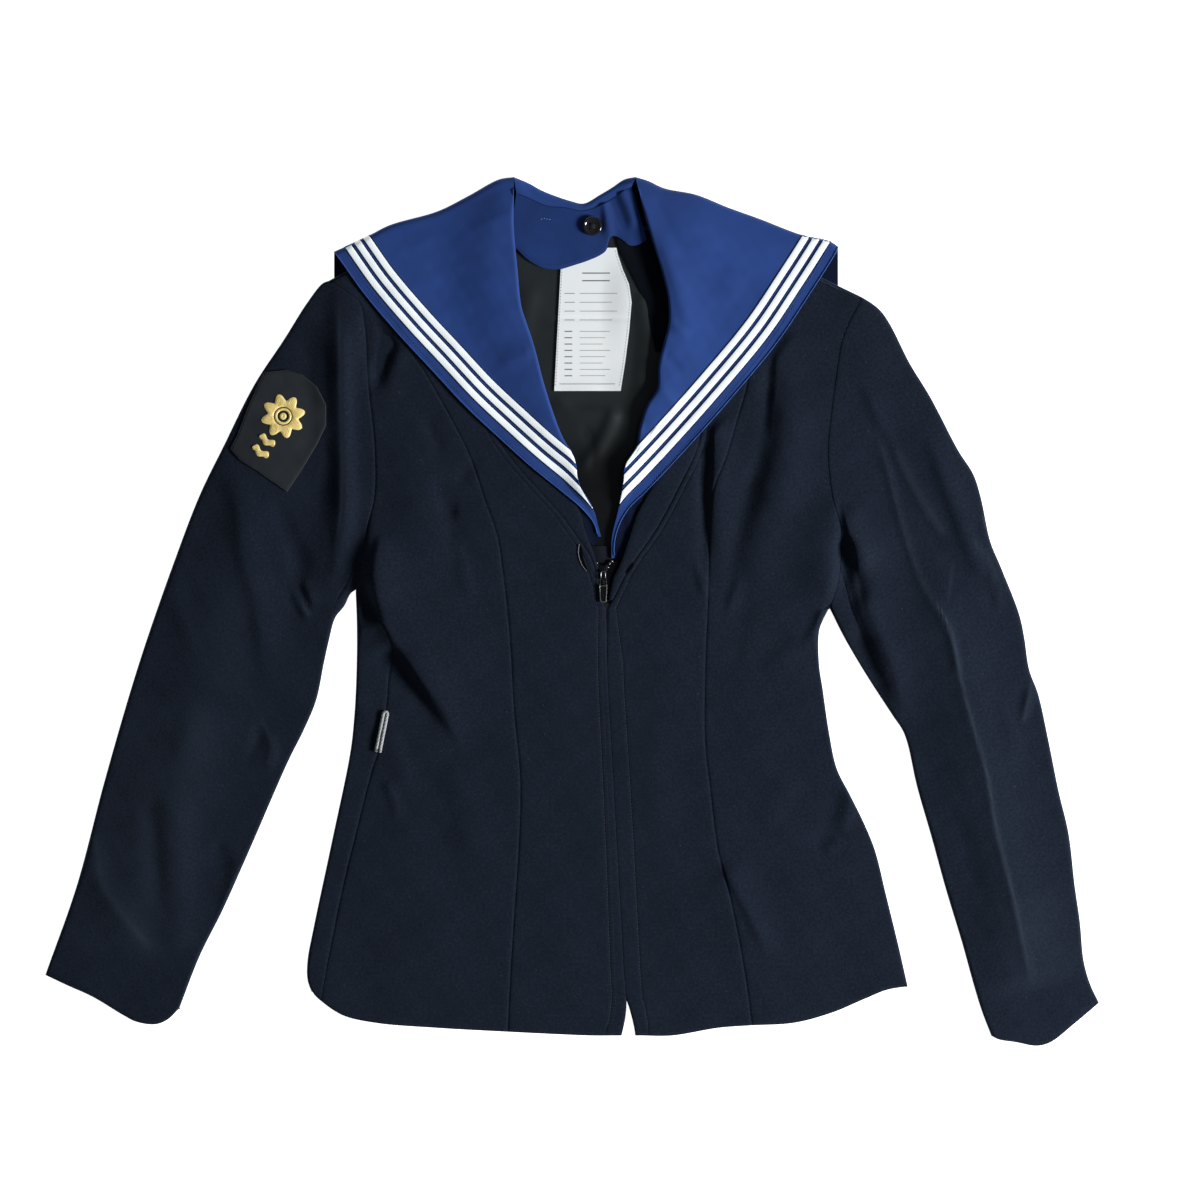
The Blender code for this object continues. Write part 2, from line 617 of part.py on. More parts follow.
def build_back(sheets):
    """The back: right to left underneath, then up round the wearer's right side."""
    columns = 11
    rows = []
    side_r = LINES["side_r"].x_at
    side_l = LINES["side_l"].x_at
    top_line = Line(SHOULDER_R + BACK_NECK[1:-1] + SHOULDER_L)

    def right_limit(y):
        if y >= ARMPIT_L[1]:
            return float(LINES["arm_l"].x_at(y))
        x = float(side_l(y))
        radius = roll_radius(x - 4, y)
        return x - radius - (SEAM_WRAP - radius) * min(1.0, (ARMPIT_L[1] - y) / 40)

    def left_limit(y):
        if y >= ARMPIT_R[1]:
            return float(LINES["arm_r"].x_at(y))
        x = float(side_r(y))
        return x + roll_radius(x + 4, y)

    def row(height, gap=None):
        line = []
        for k, share in enumerate(between(0, 1, columns)):
            y = height(right_limit(240) + (left_limit(240) - right_limit(240)) * share) \
                if callable(height) else height
            for _ in range(SETTLE):
                x = right_limit(y) + (left_limit(y) - right_limit(y)) * share
                y = height(x) if callable(height) else height
            line.append((k, lower(x, y, gap)))
        return line

    for share in ROLL:
        gap = share * SHOULDER_ROLL
        rows.append(row(lambda x, g=gap: float(top_line.y_at(x)) - g,
                        gap if share < 1 else None))
    rows.append(row(lambda x: below_shoulder(float(top_line.y_at(x)))))
    for level in LEVELS:
        rows.append(row(level))
    back_hem = LINES["back_hem"].y_at
    rows.append(row(lambda x: float(back_hem(x) + LEVELS[-1]) / 2))
    rows.append(row(lambda x: float(back_hem(x))))

    seam = LINES["side_seam_r"]
    for line in rows:
        y = line[-1][1][1]
        if y >= ARMPIT_R[1] - 1e-6:
            continue
        x = float(side_r(y))
        radius = roll_radius(x + 4, y)
        seam_x = float(seam.x_at(y))
        run = [(-1, 0.29 * radius), (1, 0.0), (1, 0.29 * radius), (1, radius)]
        places = [(face, gap) for face, gap in run if x + gap < seam_x - 0.5]
        middle = x + radius + (seam_x - x - radius) / 2
        for i, (face, gap) in enumerate(places):
            line.append((columns + i, skin(x + gap, y, face, gap)))
        if middle > x + radius + 1:
            line.append((columns + 5, upper(middle, y)))
        line.append((columns + 6, upper(seam_x, y)))
    sheet = Sheet(WOOL)
    sheet.rows(rows)
    sheets["back"] = sheet


def build_band(sheets, name, seam, inner, shoulder, side):
    """Strip along one side of the neck opening, from the shoulder to the zip."""
    rows = []
    end = 8
    levels = [level for level in LEVELS if level >= end]
    tops = [shoulder(seam(300)) - 3.6]
    for level in tops + [280] + levels:
        x0, x1 = seam(level), inner(level)
        run = [x0, (x0 + x1) / 2, x1]
        if abs(x1 - x0) < 6:
            run = [x0, x1]
        keys = [0, 1, 2] if len(run) == 3 else [0, 2]
        rows.append([(k, upper(x, level, 99)) for k, x in zip(keys, run)][::side])
    sheet = Sheet(WOOL)
    sheet.rows(rows)
    sheets[name] = sheet


# ================================================================ sleeves
class Sleeve:
    """Plan of one sleeve: a patch between armhole, cuff and its two edges."""

    def __init__(self, tag):
        self.arm = LINES["arm_" + tag]
        self.outer = LINES["outer_" + tag]
        self.inner = LINES["inner_" + tag]
        self.cuff = LINES["cuff_" + tag]

    def plan(self, u, v):
        """u runs from the outer edge (0) to the inner one, v from armhole to cuff."""
        a, b = self.arm.at(u), self.cuff.at(u)
        c, d = self.outer.at(v), self.inner.at(v)
        corners = ((1 - u) * (1 - v) * self.arm.at(0) + u * (1 - v) * self.arm.at(1)
                   + (1 - u) * v * self.cuff.at(0) + u * v * self.cuff.at(1))
        return (1 - v) * a + v * b + (1 - u) * c + u * d - corners

    def width(self, v):
        run = [self.plan(u, v) for u in between(0, 1, 9)]
        return sum(np.linalg.norm(q - p) for p, q in zip(run, run[1:]))


SLEEVE_ROWS = (0.04, 0.09, 0.145, 0.2, 0.26, 0.32, 0.38, 0.44, 0.51, 0.59, 0.67, 0.75,
               0.83, 0.9, 0.96, 1.0)
INNER_SEAM = (        # place of the front seam: v, mm from the inner edge
    (0, 32), (0.06, 20), (0.15, 13), (0.3, 8), (1, 6))


def settle(height, sample):
    """Where a row given by x meets a line given by y."""
    y = height(sample(LEVELS[0]))
    for _ in range(SETTLE):
        y = height(sample(y))
    return y


def armhole_run(tag, face):
    """Points of the armhole on one face, from the shoulder to the armpit."""
    sample = x_line("arm_" + tag)
    shoulder = LINES["shoulder_" + tag].y_at
    pit = ARMPIT_R if tag == "r" else ARMPIT_L
    run = []
    for share in ROLL:
        gap = share * SHOULDER_ROLL
        y = settle(lambda x, g=gap: float(shoulder(x)) - g, sample)
        run.append((sample(y), y, gap if share < 1 else None))
    y = settle(lambda x: below_shoulder(float(shoulder(x))), sample)
    run.append((sample(y), y, None))
    run += [(sample(level), level, None) for level in LEVELS if level >= pit[1]]
    places = [skin(x, y, face, gap) for x, y, gap in run]
    for corner in (places[0], places[1], places[-1], places[-2]):
        WIDER[weld_key(corner)] = 3.4
    return places


def build_sleeve(sheets, tag, side):
    sleeve = Sleeve(tag)
    top_rows, under_rows = [], []
    above, below = armhole_run(tag, 1), armhole_run(tag, -1)
    split_top = next(i for i, p in enumerate(above) if p[1] <= 50)
    hind = 4
    flip = tag == "l"
    top_rows.append([(i, p) for i, p in enumerate(below[hind:0:-1] + above[:split_top + 1])])
    under = above[split_top:] + below[-2:hind - 1:-1]
    under_rows.append(list(enumerate(under)))
    for v in SLEEVE_ROWS:
        width = sleeve.width(v)
        edge, far = sleeve.plan(0, v), sleeve.plan(1, v)
        r0 = roll_radius(*sleeve.plan(4 / width, v))
        r1 = roll_radius(*sleeve.plan(1 - 4 / width, v))
        seam = float(table(INNER_SEAM, v))
        wrap = 22 - 8 * v

        def at(gap, face, from_inner=False):
            u = 1 - gap / width if from_inner else gap / width
            x, y = sleeve.plan(u, v)
            radius = r1 if from_inner else r0
            return skin(x, y, face, gap if gap < radius else None)

        run = [at(wrap, -1), at(r0, -1), at(0.29 * r0, -1), at(0, 1), at(0.29 * r0, 1),
               at(r0, 1)]
        stop = max(seam, r1)
        inside = width - r0 - stop
        count = 8
        run += [at(r0 + inside * i / count, 1) for i in range(1, count)]
        run += [at(stop, 1, True)]
        if seam < r1:
            run += [at(seam, 1, True)]
        top_rows.append(list(enumerate(run)))
        rim = [at(seam, 1, True)]
        if seam > r1:
            rim += [at(r1, 1, True)]
        if seam > 0.5 * r1:
            rim += [at(0.29 * r1, 1, True)]
        rim += [at(0, 1, True), at(0.29 * r1, -1, True), at(r1, -1, True)]
        inside = width - wrap - r1
        rim += [at(r1 + inside * i / 5, -1, True) for i in range(1, 5)]
        rim += [at(wrap, -1)]
        under_rows.append(list(enumerate(rim)))
    for name, rows in (("sleeve_top", top_rows), ("sleeve_under", under_rows)):
        sheet = Sheet(WOOL, flip)
        for a, b in zip(rows, rows[1:]):
            sheet.rows([[(0, a[0][1])] + a[1:-1] + [("end", a[-1][1])],
                        [(0, b[0][1])] + b[1:-1] + [("end", b[-1][1])]]
                       if len(a) == len(b) and a is not rows[0] else
                       [keyless(a), keyless(b)])
        sheets[f"{name}_{side}"] = sheet


def keyless(row):
    """A row that is matched only at its two ends."""
    middle = [((id(row), k), p) for k, p in row[1:-1]]
    return [(0, row[0][1])] + middle + [("end", row[-1][1])]


# ================================================================ collar
FALL_ROWS = (0.05, 0.1, 0.17, 0.25, 0.33, 0.41, 0.49, 0.57, 0.65, 0.73, 0.8, 0.86, 0.91,
             0.95, 1.0)
FALL_COLUMNS = (0, 0.1, 0.2, 0.3, 0.42, 0.56, 0.72, 0.86)
ROLL_START = 0.09      # a fall's inner edge rolls under from here, until it dips
DROP = {"r": (92, 72), "l": (99, 78)}   # heights between which a fall dips into the neck
FLAP_ROWS = (FLAP_BOTTOM, 150, 205, 250)
NECK_COLUMNS = (0.07, 0.18, 0.32, 0.45, 0.58, 0.72, 0.85, 0.94)


class Fall:
    """One front fall of the collar: u from the outer edge to the roll, v to the tip."""

    def __init__(self, tag):
        self.tag = tag
        self.fold = LINES["fold_" + tag]
        self.outer = LINES[f"fall_{tag}_outer"]
        self.inner = LINES[f"fall_{tag}_inner"]

    def plan(self, u, v):
        tip = self.outer.at(1) * (1 - u) + self.inner.at(1) * u
        sides = (1 - u) * self.outer.at(v) + u * self.inner.at(v)
        corners = (1 - v) * ((1 - u) * self.fold.at(0) + u * self.fold.at(1)) + v * tip
        return (1 - v) * self.fold.at(u) + v * tip + sides - corners

    def height(self, u, v):
        x, y = self.plan(u, v)
        start, end = DROP[self.tag]
        drop = 1 - float(ramp(end, start, self.outer.at(v)[1]))
        rise = float(table(ROLL_RISE, v) * ramp(0.35, 0.95, u))
        over = plain_top(x, y) + LAY + BLUE + 0.1 + rise
        inside = flap_lift(x, y) + WOOL + 2 * THIN + BLUE + 3 * LAY + 0.3
        top = over + (inside - over) * drop
        gap = v * self.outer.length
        return top / 2 * (1 + bend_share(gap / (top / 2)))

    def point(self, u, v):
        x, y = self.plan(u, v)
        return (float(x), float(y), self.height(u, v))

    def row(self, v):
        """Points from the outer edge to the roll, and round under it."""
        width = np.linalg.norm(self.plan(1, v) - self.plan(0.9, v)) * 10
        run = [self.point(u, v) for u in FALL_COLUMNS]
        if v < ROLL_START or self.outer.at(v)[1] < DROP[self.tag][0] + 4:
            return run + [self.point(1, v)]
        flat = self.point(1 - ROLL_RADIUS / width, v)
        edge = self.plan(1, v)
        inward = np.array(flat[:2]) - edge
        inward /= np.linalg.norm(inward)
        run.append(flat)
        for angle in (45, 90, 135, 180):
            turn = math.radians(angle)
            x, y = edge + inward * ROLL_RADIUS * (1 - math.sin(turn))
            run.append((x, y, flat[2] - ROLL_RADIUS * (1 - math.cos(turn))))
        return run


def bend_share(gaps):
    """Share of the half height reached this many radii in from a folded edge."""
    return math.sqrt(max(0.0, 1 - (1 - min(gaps, 1)) ** 2))


def fold_half(x, fall_side):
    """Half the height of the collar's fold: lower behind the neck."""
    side = (plain_top(x, 300) + LAY + BLUE + 0.1) / 2
    neck = (YOKE_Z + BLUE) / 2
    if fall_side:
        return side
    inside = min(x - FOLD_R[-1][0], FOLD_L[-1][0] - x)
    return side + (neck - side) * float(ramp(0, 14, inside))


def flap_column(x, y, half):
    """Points up the flap and round to the fold's outermost line."""
    run = [(x, level, 0.0) for level in FLAP_ROWS]
    for share in (3.0, 1.0, 0.29, 0.0):
        run.append((x, y - share * half, half * (1 - bend_share(share))))
    return run


def build_collar(sheets):
    collar = Sheet(BLUE)
    right, left = Fall("r"), Fall("l")
    columns = [(right.fold.at(u), True) for u in FALL_COLUMNS + (1,)]
    columns += [(LINES["neck_fold"].at(s), False) for s in NECK_COLUMNS]
    columns += [(left.fold.at(u), True) for u in (FALL_COLUMNS + (1,))[::-1]]
    stacks = [flap_column(float(p[0]), float(p[1]), fold_half(float(p[0]), side))
              for p, side in columns]
    flap = [list(enumerate(row)) for row in zip(*stacks)]
    collar.rows(flap)
    edge = [p for _, p in flap[-1]]
    count = len(FALL_COLUMNS) + 1

    for fall, start, order in ((right, edge[:count], 1), (left, edge[-count:], -1)):
        half = fold_half(start[0][0], True)
        rows = [list(enumerate(start))]
        for v in (0.29 * half / fall.outer.length, half / fall.outer.length) + FALL_ROWS:
            run = fall.row(v)[::order]
            ends = range(len(run)) if order > 0 else range(count - len(run), count)
            rows.append(list(zip(ends, run)))
        collar.rows(rows)

    neck = edge[count - 1:len(edge) - count + 1]
    seam = [tuple(LINES["yoke_seam"].at(s)) for s in (0,) + NECK_COLUMNS + (1,)]
    rows = [neck]
    for share in (0.29, 1.0):
        line = []
        for p, q in zip(neck, seam):
            half = p[2]
            away = math.dist(p[:2], q)
            part = min(share * half / away, 0.8)
            line.append((p[0] + (q[0] - p[0]) * part, p[1] + (q[1] - p[1]) * part,
                         half * (1 + bend_share(share))))
        rows.append(line)
    seam_row = [(x, y, YOKE_Z + BLUE) for x, y in seam]
    rows.append(seam_row)
    collar.rows([list(enumerate(row)) for row in rows])
    sheets["collar"] = collar

    yoke = Sheet(BLUE)
    rows = [seam_row]
    for share in (0.25, 0.5, 0.75):
        rows.append([(x + (LINES["yoke_edge"].at(s)[0] - x) * share,
                      y + (LINES["yoke_edge"].at(s)[1] - y) * share, YOKE_Z + BLUE)
                     for (x, y), s in zip(seam, (0,) + NECK_COLUMNS + (1,))])
    rows.append([(x, y, YOKE_Z + BLUE) for x, y in
                 (LINES["yoke_edge"].at(s) for s in between(0, 1, 19))])
    yoke.rows([list(enumerate(row)) for row in rows[:4]])
    yoke.rows([keyless(list(enumerate(row))) for row in rows[3:]])
    sheets["collar_yoke"] = yoke
    return right, left


TAPE_MARGIN = 8.6      # blue edge outside the first tape
TAPE_WIDTH = 5.0
TAPE_STEP = 7.9        # from one tape to the next
TAPE_END = {"r": 0.96, "l": 0.93}


def fall_depth(fall, v):
    """Upper points of a fall's row and their distances in from its outer edge."""
    run = np.array(fall.row(v)[:len(FALL_COLUMNS) + 1])
    tangent = fall.outer.at(min(v + 0.02, 1)) - fall.outer.at(max(v - 0.02, 0))
    tangent /= np.linalg.norm(tangent)
    normal = np.array([-tangent[1], tangent[0]])
    return run, np.abs((run[:, :2] - run[0, :2]) @ normal)


def build_tapes(sheets, fall, side):
    """Three tapes along the outer edge of a fall, from its fold to its tip."""
    half = fold_half(float(fall.fold.at(0)[0]), True)
    starts = [0.29 * half / fall.outer.length, half / fall.outer.length]
    for number in range(3):
        offset = TAPE_MARGIN + TAPE_STEP * number
        end = max(v for v in between(0.5, TAPE_END[fall.tag], 60)
                  if fall_depth(fall, v)[1].max() > offset + 2.5)
        rows = []
        for v in starts + [v for v in FALL_ROWS if v < end - 0.02] + [end]:
            run, depth = fall_depth(fall, v)
            line = []
            for gap in (offset, offset + TAPE_WIDTH):
                gap = min(gap, depth.max() - 0.8)
                x, y, z = (float(np.interp(gap, depth, run[:, k])) for k in range(3))
                line.append((x, y, z + LAY + 0.1 + THIN))
            rows.append(list(enumerate(line)))
        sheet = Sheet(THIN, flip=fall.tag == "l")
        sheet.rows(rows)
        sheets[f"tape_{side}_{number + 1}"] = sheet


# ================================================================ inside the neck
LABEL_LEFT = ((-8, 288), (-9, 271), (-14, 177))
LABEL_RIGHT = ((35, 288), (36, 283), (40, 271), (45, 259), (47, 245), (45, 222), (42, 199),
               (38, 173))
FACING = (             # height, inner and outer limit of the facing that shows
    (302, 34, 68), (288, 37, 74), (268, 47, 80), (250, 56, 84), (230, 61, 86),
    (205, 66, 84))


def flat_sheet(rows, wall, height):
    """A sheet through plan rows of x at one y, at a height given by place."""
    sheet = Sheet(wall)
    sheet.rows([[(k, (x, y, height(x, y))) for k, x in enumerate(row)]
                for y, row in rows])
    return sheet


def build_inside(sheets):
    def lining_top(x, y):
        return flap_lift(x, y) + WOOL + LAY + THIN

    rows = []
    under = 8
    for y in (306, 272) + tuple(level for level in LEVELS if level >= 50):
        rows.append((y, between(float(LINES["band_r"].x_at(y)) - under,
                                float(LINES["band_l"].x_at(y)) + under, 7)))
    sheets["lining_back"] = flat_sheet(rows, THIN, lining_top)

    def label_top(x, y):
        return FACING_Z + THIN + 2.2 * float(ramp(22, 46, x) * ramp(290, 262, y)
                                             * (0.7 + 0.3 * math.cos((y - 245) / 14)))

    rows = []
    for y in (288, 276, 262, 248, 234, 216, 198, 186, 175):
        rows.append((y, between(float(table([(b, a) for a, b in LABEL_LEFT], y)),
                                float(table([(b, a) for a, b in LABEL_RIGHT], y)), 7)))
    sheets["label"] = flat_sheet(rows, THIN, label_top)
    rows = [(y, between(a, b, 4)) for y, a, b in FACING]
    sheets["neck_facing"] = flat_sheet(rows, THIN, lambda x, y: FACING_Z + THIN)


# ================================================================ zip
ZIP_CENTRE = ((24.5, 42), (24.5, 30), (24.6, 24), (25.5, 12), (27.4, 4), (28, -47),
              (32, -120), (36, -192), (40, -264), (41, -282))
ZIP_SPLIT = ((30, 0), (36, 2.3), (41, 5.5))   # height, half the space between the tapes
ZIP_TAPE = 11.0
SLIDER_X, SLIDER_LOW, SLIDER_HIGH = 24.5, 25.0, 37.2
SLIDER_PLATE = 6.6     # underside of the slider's top plate
PLATE = 1.0
BAIL_Y = (25.9, 27.2, 32.9, 34.2)             # the bail's two legs along Y
BAIL_Z = (10.4, 11.4)                         # the bail's bridge
HINGE = (24.5, 28.4, 9.0)                     # axis of the pull, parallel to X
PULL_END = 8.0
GUARD = ((53, 15, 29), (38, 14, 38), (20, 14, 38), (4, 15, 38))


def build_zip(sheets):
    centre = Line(ZIP_CENTRE).x_at
    levels = [41, 36, 30, 25] + [level for level in LEVELS if level <= 22]
    for side, direction in (("right", -1), ("left", 1)):
        rows = []
        for y in levels:
            edge = float(centre(y)) + direction * float(table(ZIP_SPLIT, y))
            run = [edge + direction * ZIP_TAPE, edge + direction * ZIP_TAPE / 2, edge]
            rows.append((y, run[::-direction]))
        sheets["zip_tape_" + side] = flat_sheet(
            rows, THIN, lambda x, y: plain_top(x, y) - WOOL - LAY - 0.1)
    guard_z = WOOL + THIN + 2 * LAY + THIN
    sheets["zip_guard"] = flat_sheet([(y, between(a, b, 3)) for y, a, b in GUARD], THIN,
                                     lambda x, y: guard_z)


def box(name, low, high, look):
    """A block between two corners."""
    mesh = bpy.data.meshes.new(name)
    work = bmesh.new()
    bmesh.ops.create_cube(work, size=1)
    for vert in work.verts:
        for k in range(3):
            vert.co[k] = (low[k] if vert.co[k] < 0 else high[k]) * MM
    work.to_mesh(mesh)
    work.free()
    mesh.materials.append(look)
    obj = bpy.data.objects.new(name, mesh)
    bpy.context.scene.collection.objects.link(obj)
    obj.parent = garment
    return obj


def combine(obj, helper, operation):
    """Add a piece to an object, or cut it away."""
    helper.hide_render = True
    helper.display_type = "WIRE"
    change = obj.modifiers.new(helper.name, "BOOLEAN")
    change.operation = operation
    change.object = helper


def build_slider():
    x, low, high = SLIDER_X, SLIDER_LOW, SLIDER_HIGH
    top = SLIDER_PLATE + PLATE
    slider = box("zip_slider", (x - 2.9, low, SLIDER_PLATE), (x + 2.9, high, top), STEEL)
    parts = (
        ("slider_post", (x - 1, 35.6, 4.8), (x + 1, high - 0.1, top - 0.2)),
        ("slider_base", (x - 2.8, low + 0.1, 4.3), (x + 2.8, high, 5.0)),
        ("bail_low", (x - 1.1, BAIL_Y[0], top - 0.3), (x + 1.1, BAIL_Y[1], BAIL_Z[1])),
        ("bail_high", (x - 1.1, BAIL_Y[2], top - 0.3), (x + 1.1, BAIL_Y[3], BAIL_Z[1])),
        ("bail_bridge", (x - 1.1, BAIL_Y[0] + 0.2, BAIL_Z[0]),
         (x + 1.1, BAIL_Y[3] - 0.2, BAIL_Z[1] - 0.05)))
    for name, a, b in parts:
        combine(slider, box(name, a, b, STEEL), "UNION")
    return slider


def build_pull():
    """The pull: a narrow plate with an eye, its origin on the hinge axis."""
    eye, plate_top, half = 0.6, HINGE[1] + 0.6, 0.5
    outer = ((3.2, plate_top), (3.2, 21.2), (2.6, PULL_END + 1), (1.8, PULL_END),
             (-1.8, PULL_END), (-2.6, PULL_END + 1), (-3.2, 21.2), (-3.2, plate_top))
    low, high = 21.4, HINGE[1] - eye
    inner = ((1.65, high), (1.65, low + 1), (1.2, low), (0.4, low), (-0.4, low),
             (-1.2, low), (-1.65, low + 1), (-1.65, high))
    points, faces = [], []
    for z in (-half, half):
        for ring in (outer, inner):
            points += [(x, y - HINGE[1], z) for x, y in ring]
    n = len(outer)
    for i in range(n):
        j = (i + 1) % n
        faces.append((2 * n + i, 3 * n + i, 3 * n + j, 2 * n + j))
        faces.append((i, j, n + j, n + i))
        faces.append((i, 2 * n + i, 2 * n + j, j))
        faces.append((n + i, n + j, 3 * n + j, 3 * n + i))
    pull = add_mesh("zip_pull", points, faces, STEEL)
    pull.parent = hinge
    return pull


# ================================================================ button, badge, loop
BUTTON_AT, BUTTON_RADIUS, BUTTON_HOLE = (16, 305), 7.7, 0.9
BUTTON_PROFILE = ((0, 0), (0.72, 0), (0.96, 0.9), (1, 1.7), (0.93, 2.6), (0.82, 2.9),
                  (0.7, 2.7), (0.6, 2.0), (0, 1.8))  # radius (of 1), height (mm)
BADGE_SIDES = dict(
    top=((-246, 181), (-240, 188), (-226, 191), (-213, 188), (-201, 178)),
    bottom=((-269, 130), (-262, 121), (-248, 111), (-238, 104), (-225, 95)),
    left=((-246, 181), (-254, 164), (-264, 141), (-269, 130)),
    right=((-201, 178), (-194, 164), (-194, 148), (-201, 133), (-213, 113), (-225, 95)))
BADGE_WALL = 1.2
ROSETTE_AT, ROSETTE_RADIUS, PETALS, PETAL_DEPTH = (-228, 155), 15.5, 8, 3.0
BARS = (((-251, 130), (-241, 123)), ((-245, 139), (-235, 132)))
LOOP_LOW, LOOP_HIGH, LOOP_RADIUS, LOOP_SPREAD = (-153.4, -110), (-147.4, -80), 1.4, 1.6


def build_button():
    """A turned button with a rim, a dished face and four holes."""
    sides = 24
    base = YOKE_Z + BLUE + LAY
    rings = [[(BUTTON_AT[0] + r * BUTTON_RADIUS * math.cos(a),
               BUTTON_AT[1] + r * BUTTON_RADIUS * math.sin(a), base + z)
              for a in (2 * math.pi * i / sides for i in range(sides))]
             for r, z in BUTTON_PROFILE[1:-1]]
    points = [p for ring in rings for p in ring]
    points += [(*BUTTON_AT, base + BUTTON_PROFILE[0][1]),
               (*BUTTON_AT, base + BUTTON_PROFILE[-1][1])]
    faces = []
    for i in range(sides):
        j = (i + 1) % sides
        faces.append((len(points) - 2, j, i))
        for k in range(len(rings) - 1):
            faces.append((k * sides + i, k * sides + j, (k + 1) * sides + j,
                          (k + 1) * sides + i))
        last = (len(rings) - 1) * sides
        faces.append((last + i, last + j, len(points) - 1))
    button = add_mesh("button", points, faces, BUTTON_BLACK)
    for i, (dx, dy) in enumerate(((1, 1), (-1, 1), (-1, -1), (1, -1))):
        mesh = bpy.data.meshes.new("hole")
        work = bmesh.new()
        bmesh.ops.create_cone(work, cap_ends=True, segments=10, radius1=BUTTON_HOLE * MM,
                              radius2=BUTTON_HOLE * MM, depth=8 * MM)
        work.to_mesh(mesh)
        work.free()
        cutter = bpy.data.objects.new(f"button_hole_{i + 1}", mesh)
        bpy.context.scene.collection.objects.link(cutter)
        cutter.parent = garment
        cutter.location = ((BUTTON_AT[0] + 1.75 * dx) * MM, (BUTTON_AT[1] + 1.75 * dy) * MM,
                           (base + 1.5) * MM)
        combine(button, cutter, "DIFFERENCE")


class Surface:
    """Heights of finished pieces, for what is laid on them."""

    def __init__(self, *objects):
        self.trees = [BVHTree.FromPolygons([v.co[:] for v in obj.data.vertices],
                                           [p.vertices[:] for p in obj.data.polygons])
                      for obj in objects]

    def __call__(self, x, y):
        hits = [tree.ray_cast((x * MM, y * MM, 1.0), (0, 0, -1))[0] for tree in self.trees]
        return max(hit[2] for hit in hits if hit) / MM


def build_badge(sheets, surface):
    sides = {name: Line(points) for name, points in BADGE_SIDES.items()}
    rows = []
    for v in between(0, 1, 8):
        line = []
        for k, u in enumerate(between(0, 1, 8)):
            p = ((1 - v) * sides["top"].at(u) + v * sides["bottom"].at(u)
                 + (1 - u) * sides["left"].at(v) + u * sides["right"].at(v)
                 - (1 - u) * (1 - v) * sides["top"].at(0) - u * (1 - v) * sides["top"].at(1)
                 - (1 - u) * v * sides["bottom"].at(0) - u * v * sides["bottom"].at(1))
            z = max(surface(p[0] + dx, p[1] + dy) for dx in (-2, 0, 2) for dy in (-2, 0, 2))
            line.append((k, (float(p[0]), float(p[1]), z + LAY + BADGE_WALL)))
        rows.append(line)
    sheet = Sheet(BADGE_WALL)
    sheet.rows(rows)
    sheets["badge_patch"] = sheet


def build_motifs(sheets, patch):
    """A plain rosette and two short bars, raised on the badge."""
    def top(x, y):
        return max(patch(x + dx, y + dy) for dx in (-2, 0, 2) for dy in (-2, 0, 2)) \
            + LAY + THIN

    count = 4 * PETALS
    rings = []
    for share in (0.35, 0.7, 1.0):
        ring = []
        for i in range(count):
            angle = 2 * math.pi * i / count
            radius = share * ROSETTE_RADIUS + share * PETAL_DEPTH * math.cos(PETALS * angle)
            x = ROSETTE_AT[0] + radius * math.cos(angle)
            y = ROSETTE_AT[1] + radius * math.sin(angle)
            ring.append((x, y, top(x, y)))
        rings.append(ring + ring[:1])
    sheet = Sheet(THIN)
    middle = (*ROSETTE_AT, top(*ROSETTE_AT))
    for a, b in zip(rings[0], rings[0][1:]):
        sheet.face(sheet.point(middle), sheet.point(a), sheet.point(b))
    for inner, outer in zip(rings, rings[1:]):
        for i in range(count):
            a, b, c, d = (sheet.point(p) for p in (inner[i], outer[i], outer[i + 1],
                                                   inner[i + 1]))
            sheet.face(a, b, c)
            sheet.face(a, c, d)
    sheets["badge_rosette"] = sheet
    for number, (start, end) in enumerate(BARS):
        along = np.array(end) - np.array(start)
        across = np.array([-along[1], along[0]]) / np.linalg.norm(along) * 2.1
        rows = []
        for share in between(0, 1, 4):
            spot = np.array(start) + along * share
            rows.append([(k, (*(spot + across * s), top(*(spot + across * s))))
                         for k, s in enumerate((1, 0, -1))])
        bar = Sheet(THIN, flip=True)
        bar.rows(rows)
        sheets[f"badge_bar_{number + 1}"] = bar


def build_loop(surface):
    """A cord doubled into a flat loop, sewn down along the side seam."""
    low, high = np.array(LOOP_LOW), np.array(LOOP_HIGH)
    along = (high - low) / np.linalg.norm(high - low)
    across = np.array([-along[1], along[0]]) * LOOP_SPREAD
    path = [low + (high - low) * t + across for t in between(0, 1, 6)]
    for angle in (45, 90, 135):
        turn = math.radians(angle)
        path.append(high + across * math.cos(turn) + along * LOOP_SPREAD * math.sin(turn))
    path += [low + (high - low) * t - across for t in between(1, 0, 6)]
    height = [max(surface(*(p + q)) for q in (across, -across, along, -along))
              + LAY + LOOP_RADIUS for p in path]
    sides, points, faces = 8, [], []
    for i, p in enumerate(path):
        before, after = path[max(i - 1, 0)], path[min(i + 1, len(path) - 1)]
        ahead = (after - before) / np.linalg.norm(after - before)
        out = np.array([-ahead[1], ahead[0]])
        for k in range(sides):
            a = 2 * math.pi * k / sides
            spot = p + out * LOOP_RADIUS * math.cos(a)
            points.append((spot[0], spot[1], height[i] + LOOP_RADIUS * math.sin(a)))
    for i in range(len(path) - 1):
        for k in range(sides):
            m = (k + 1) % sides
            faces.append((i * sides + k, i * sides + m, (i + 1) * sides + m,
                          (i + 1) * sides + k))
    faces.append(tuple(range(sides))[::-1])
    faces.append(tuple((len(path) - 1) * sides + k for k in range(sides)))
    add_mesh("side_loop", points, faces, CORD)


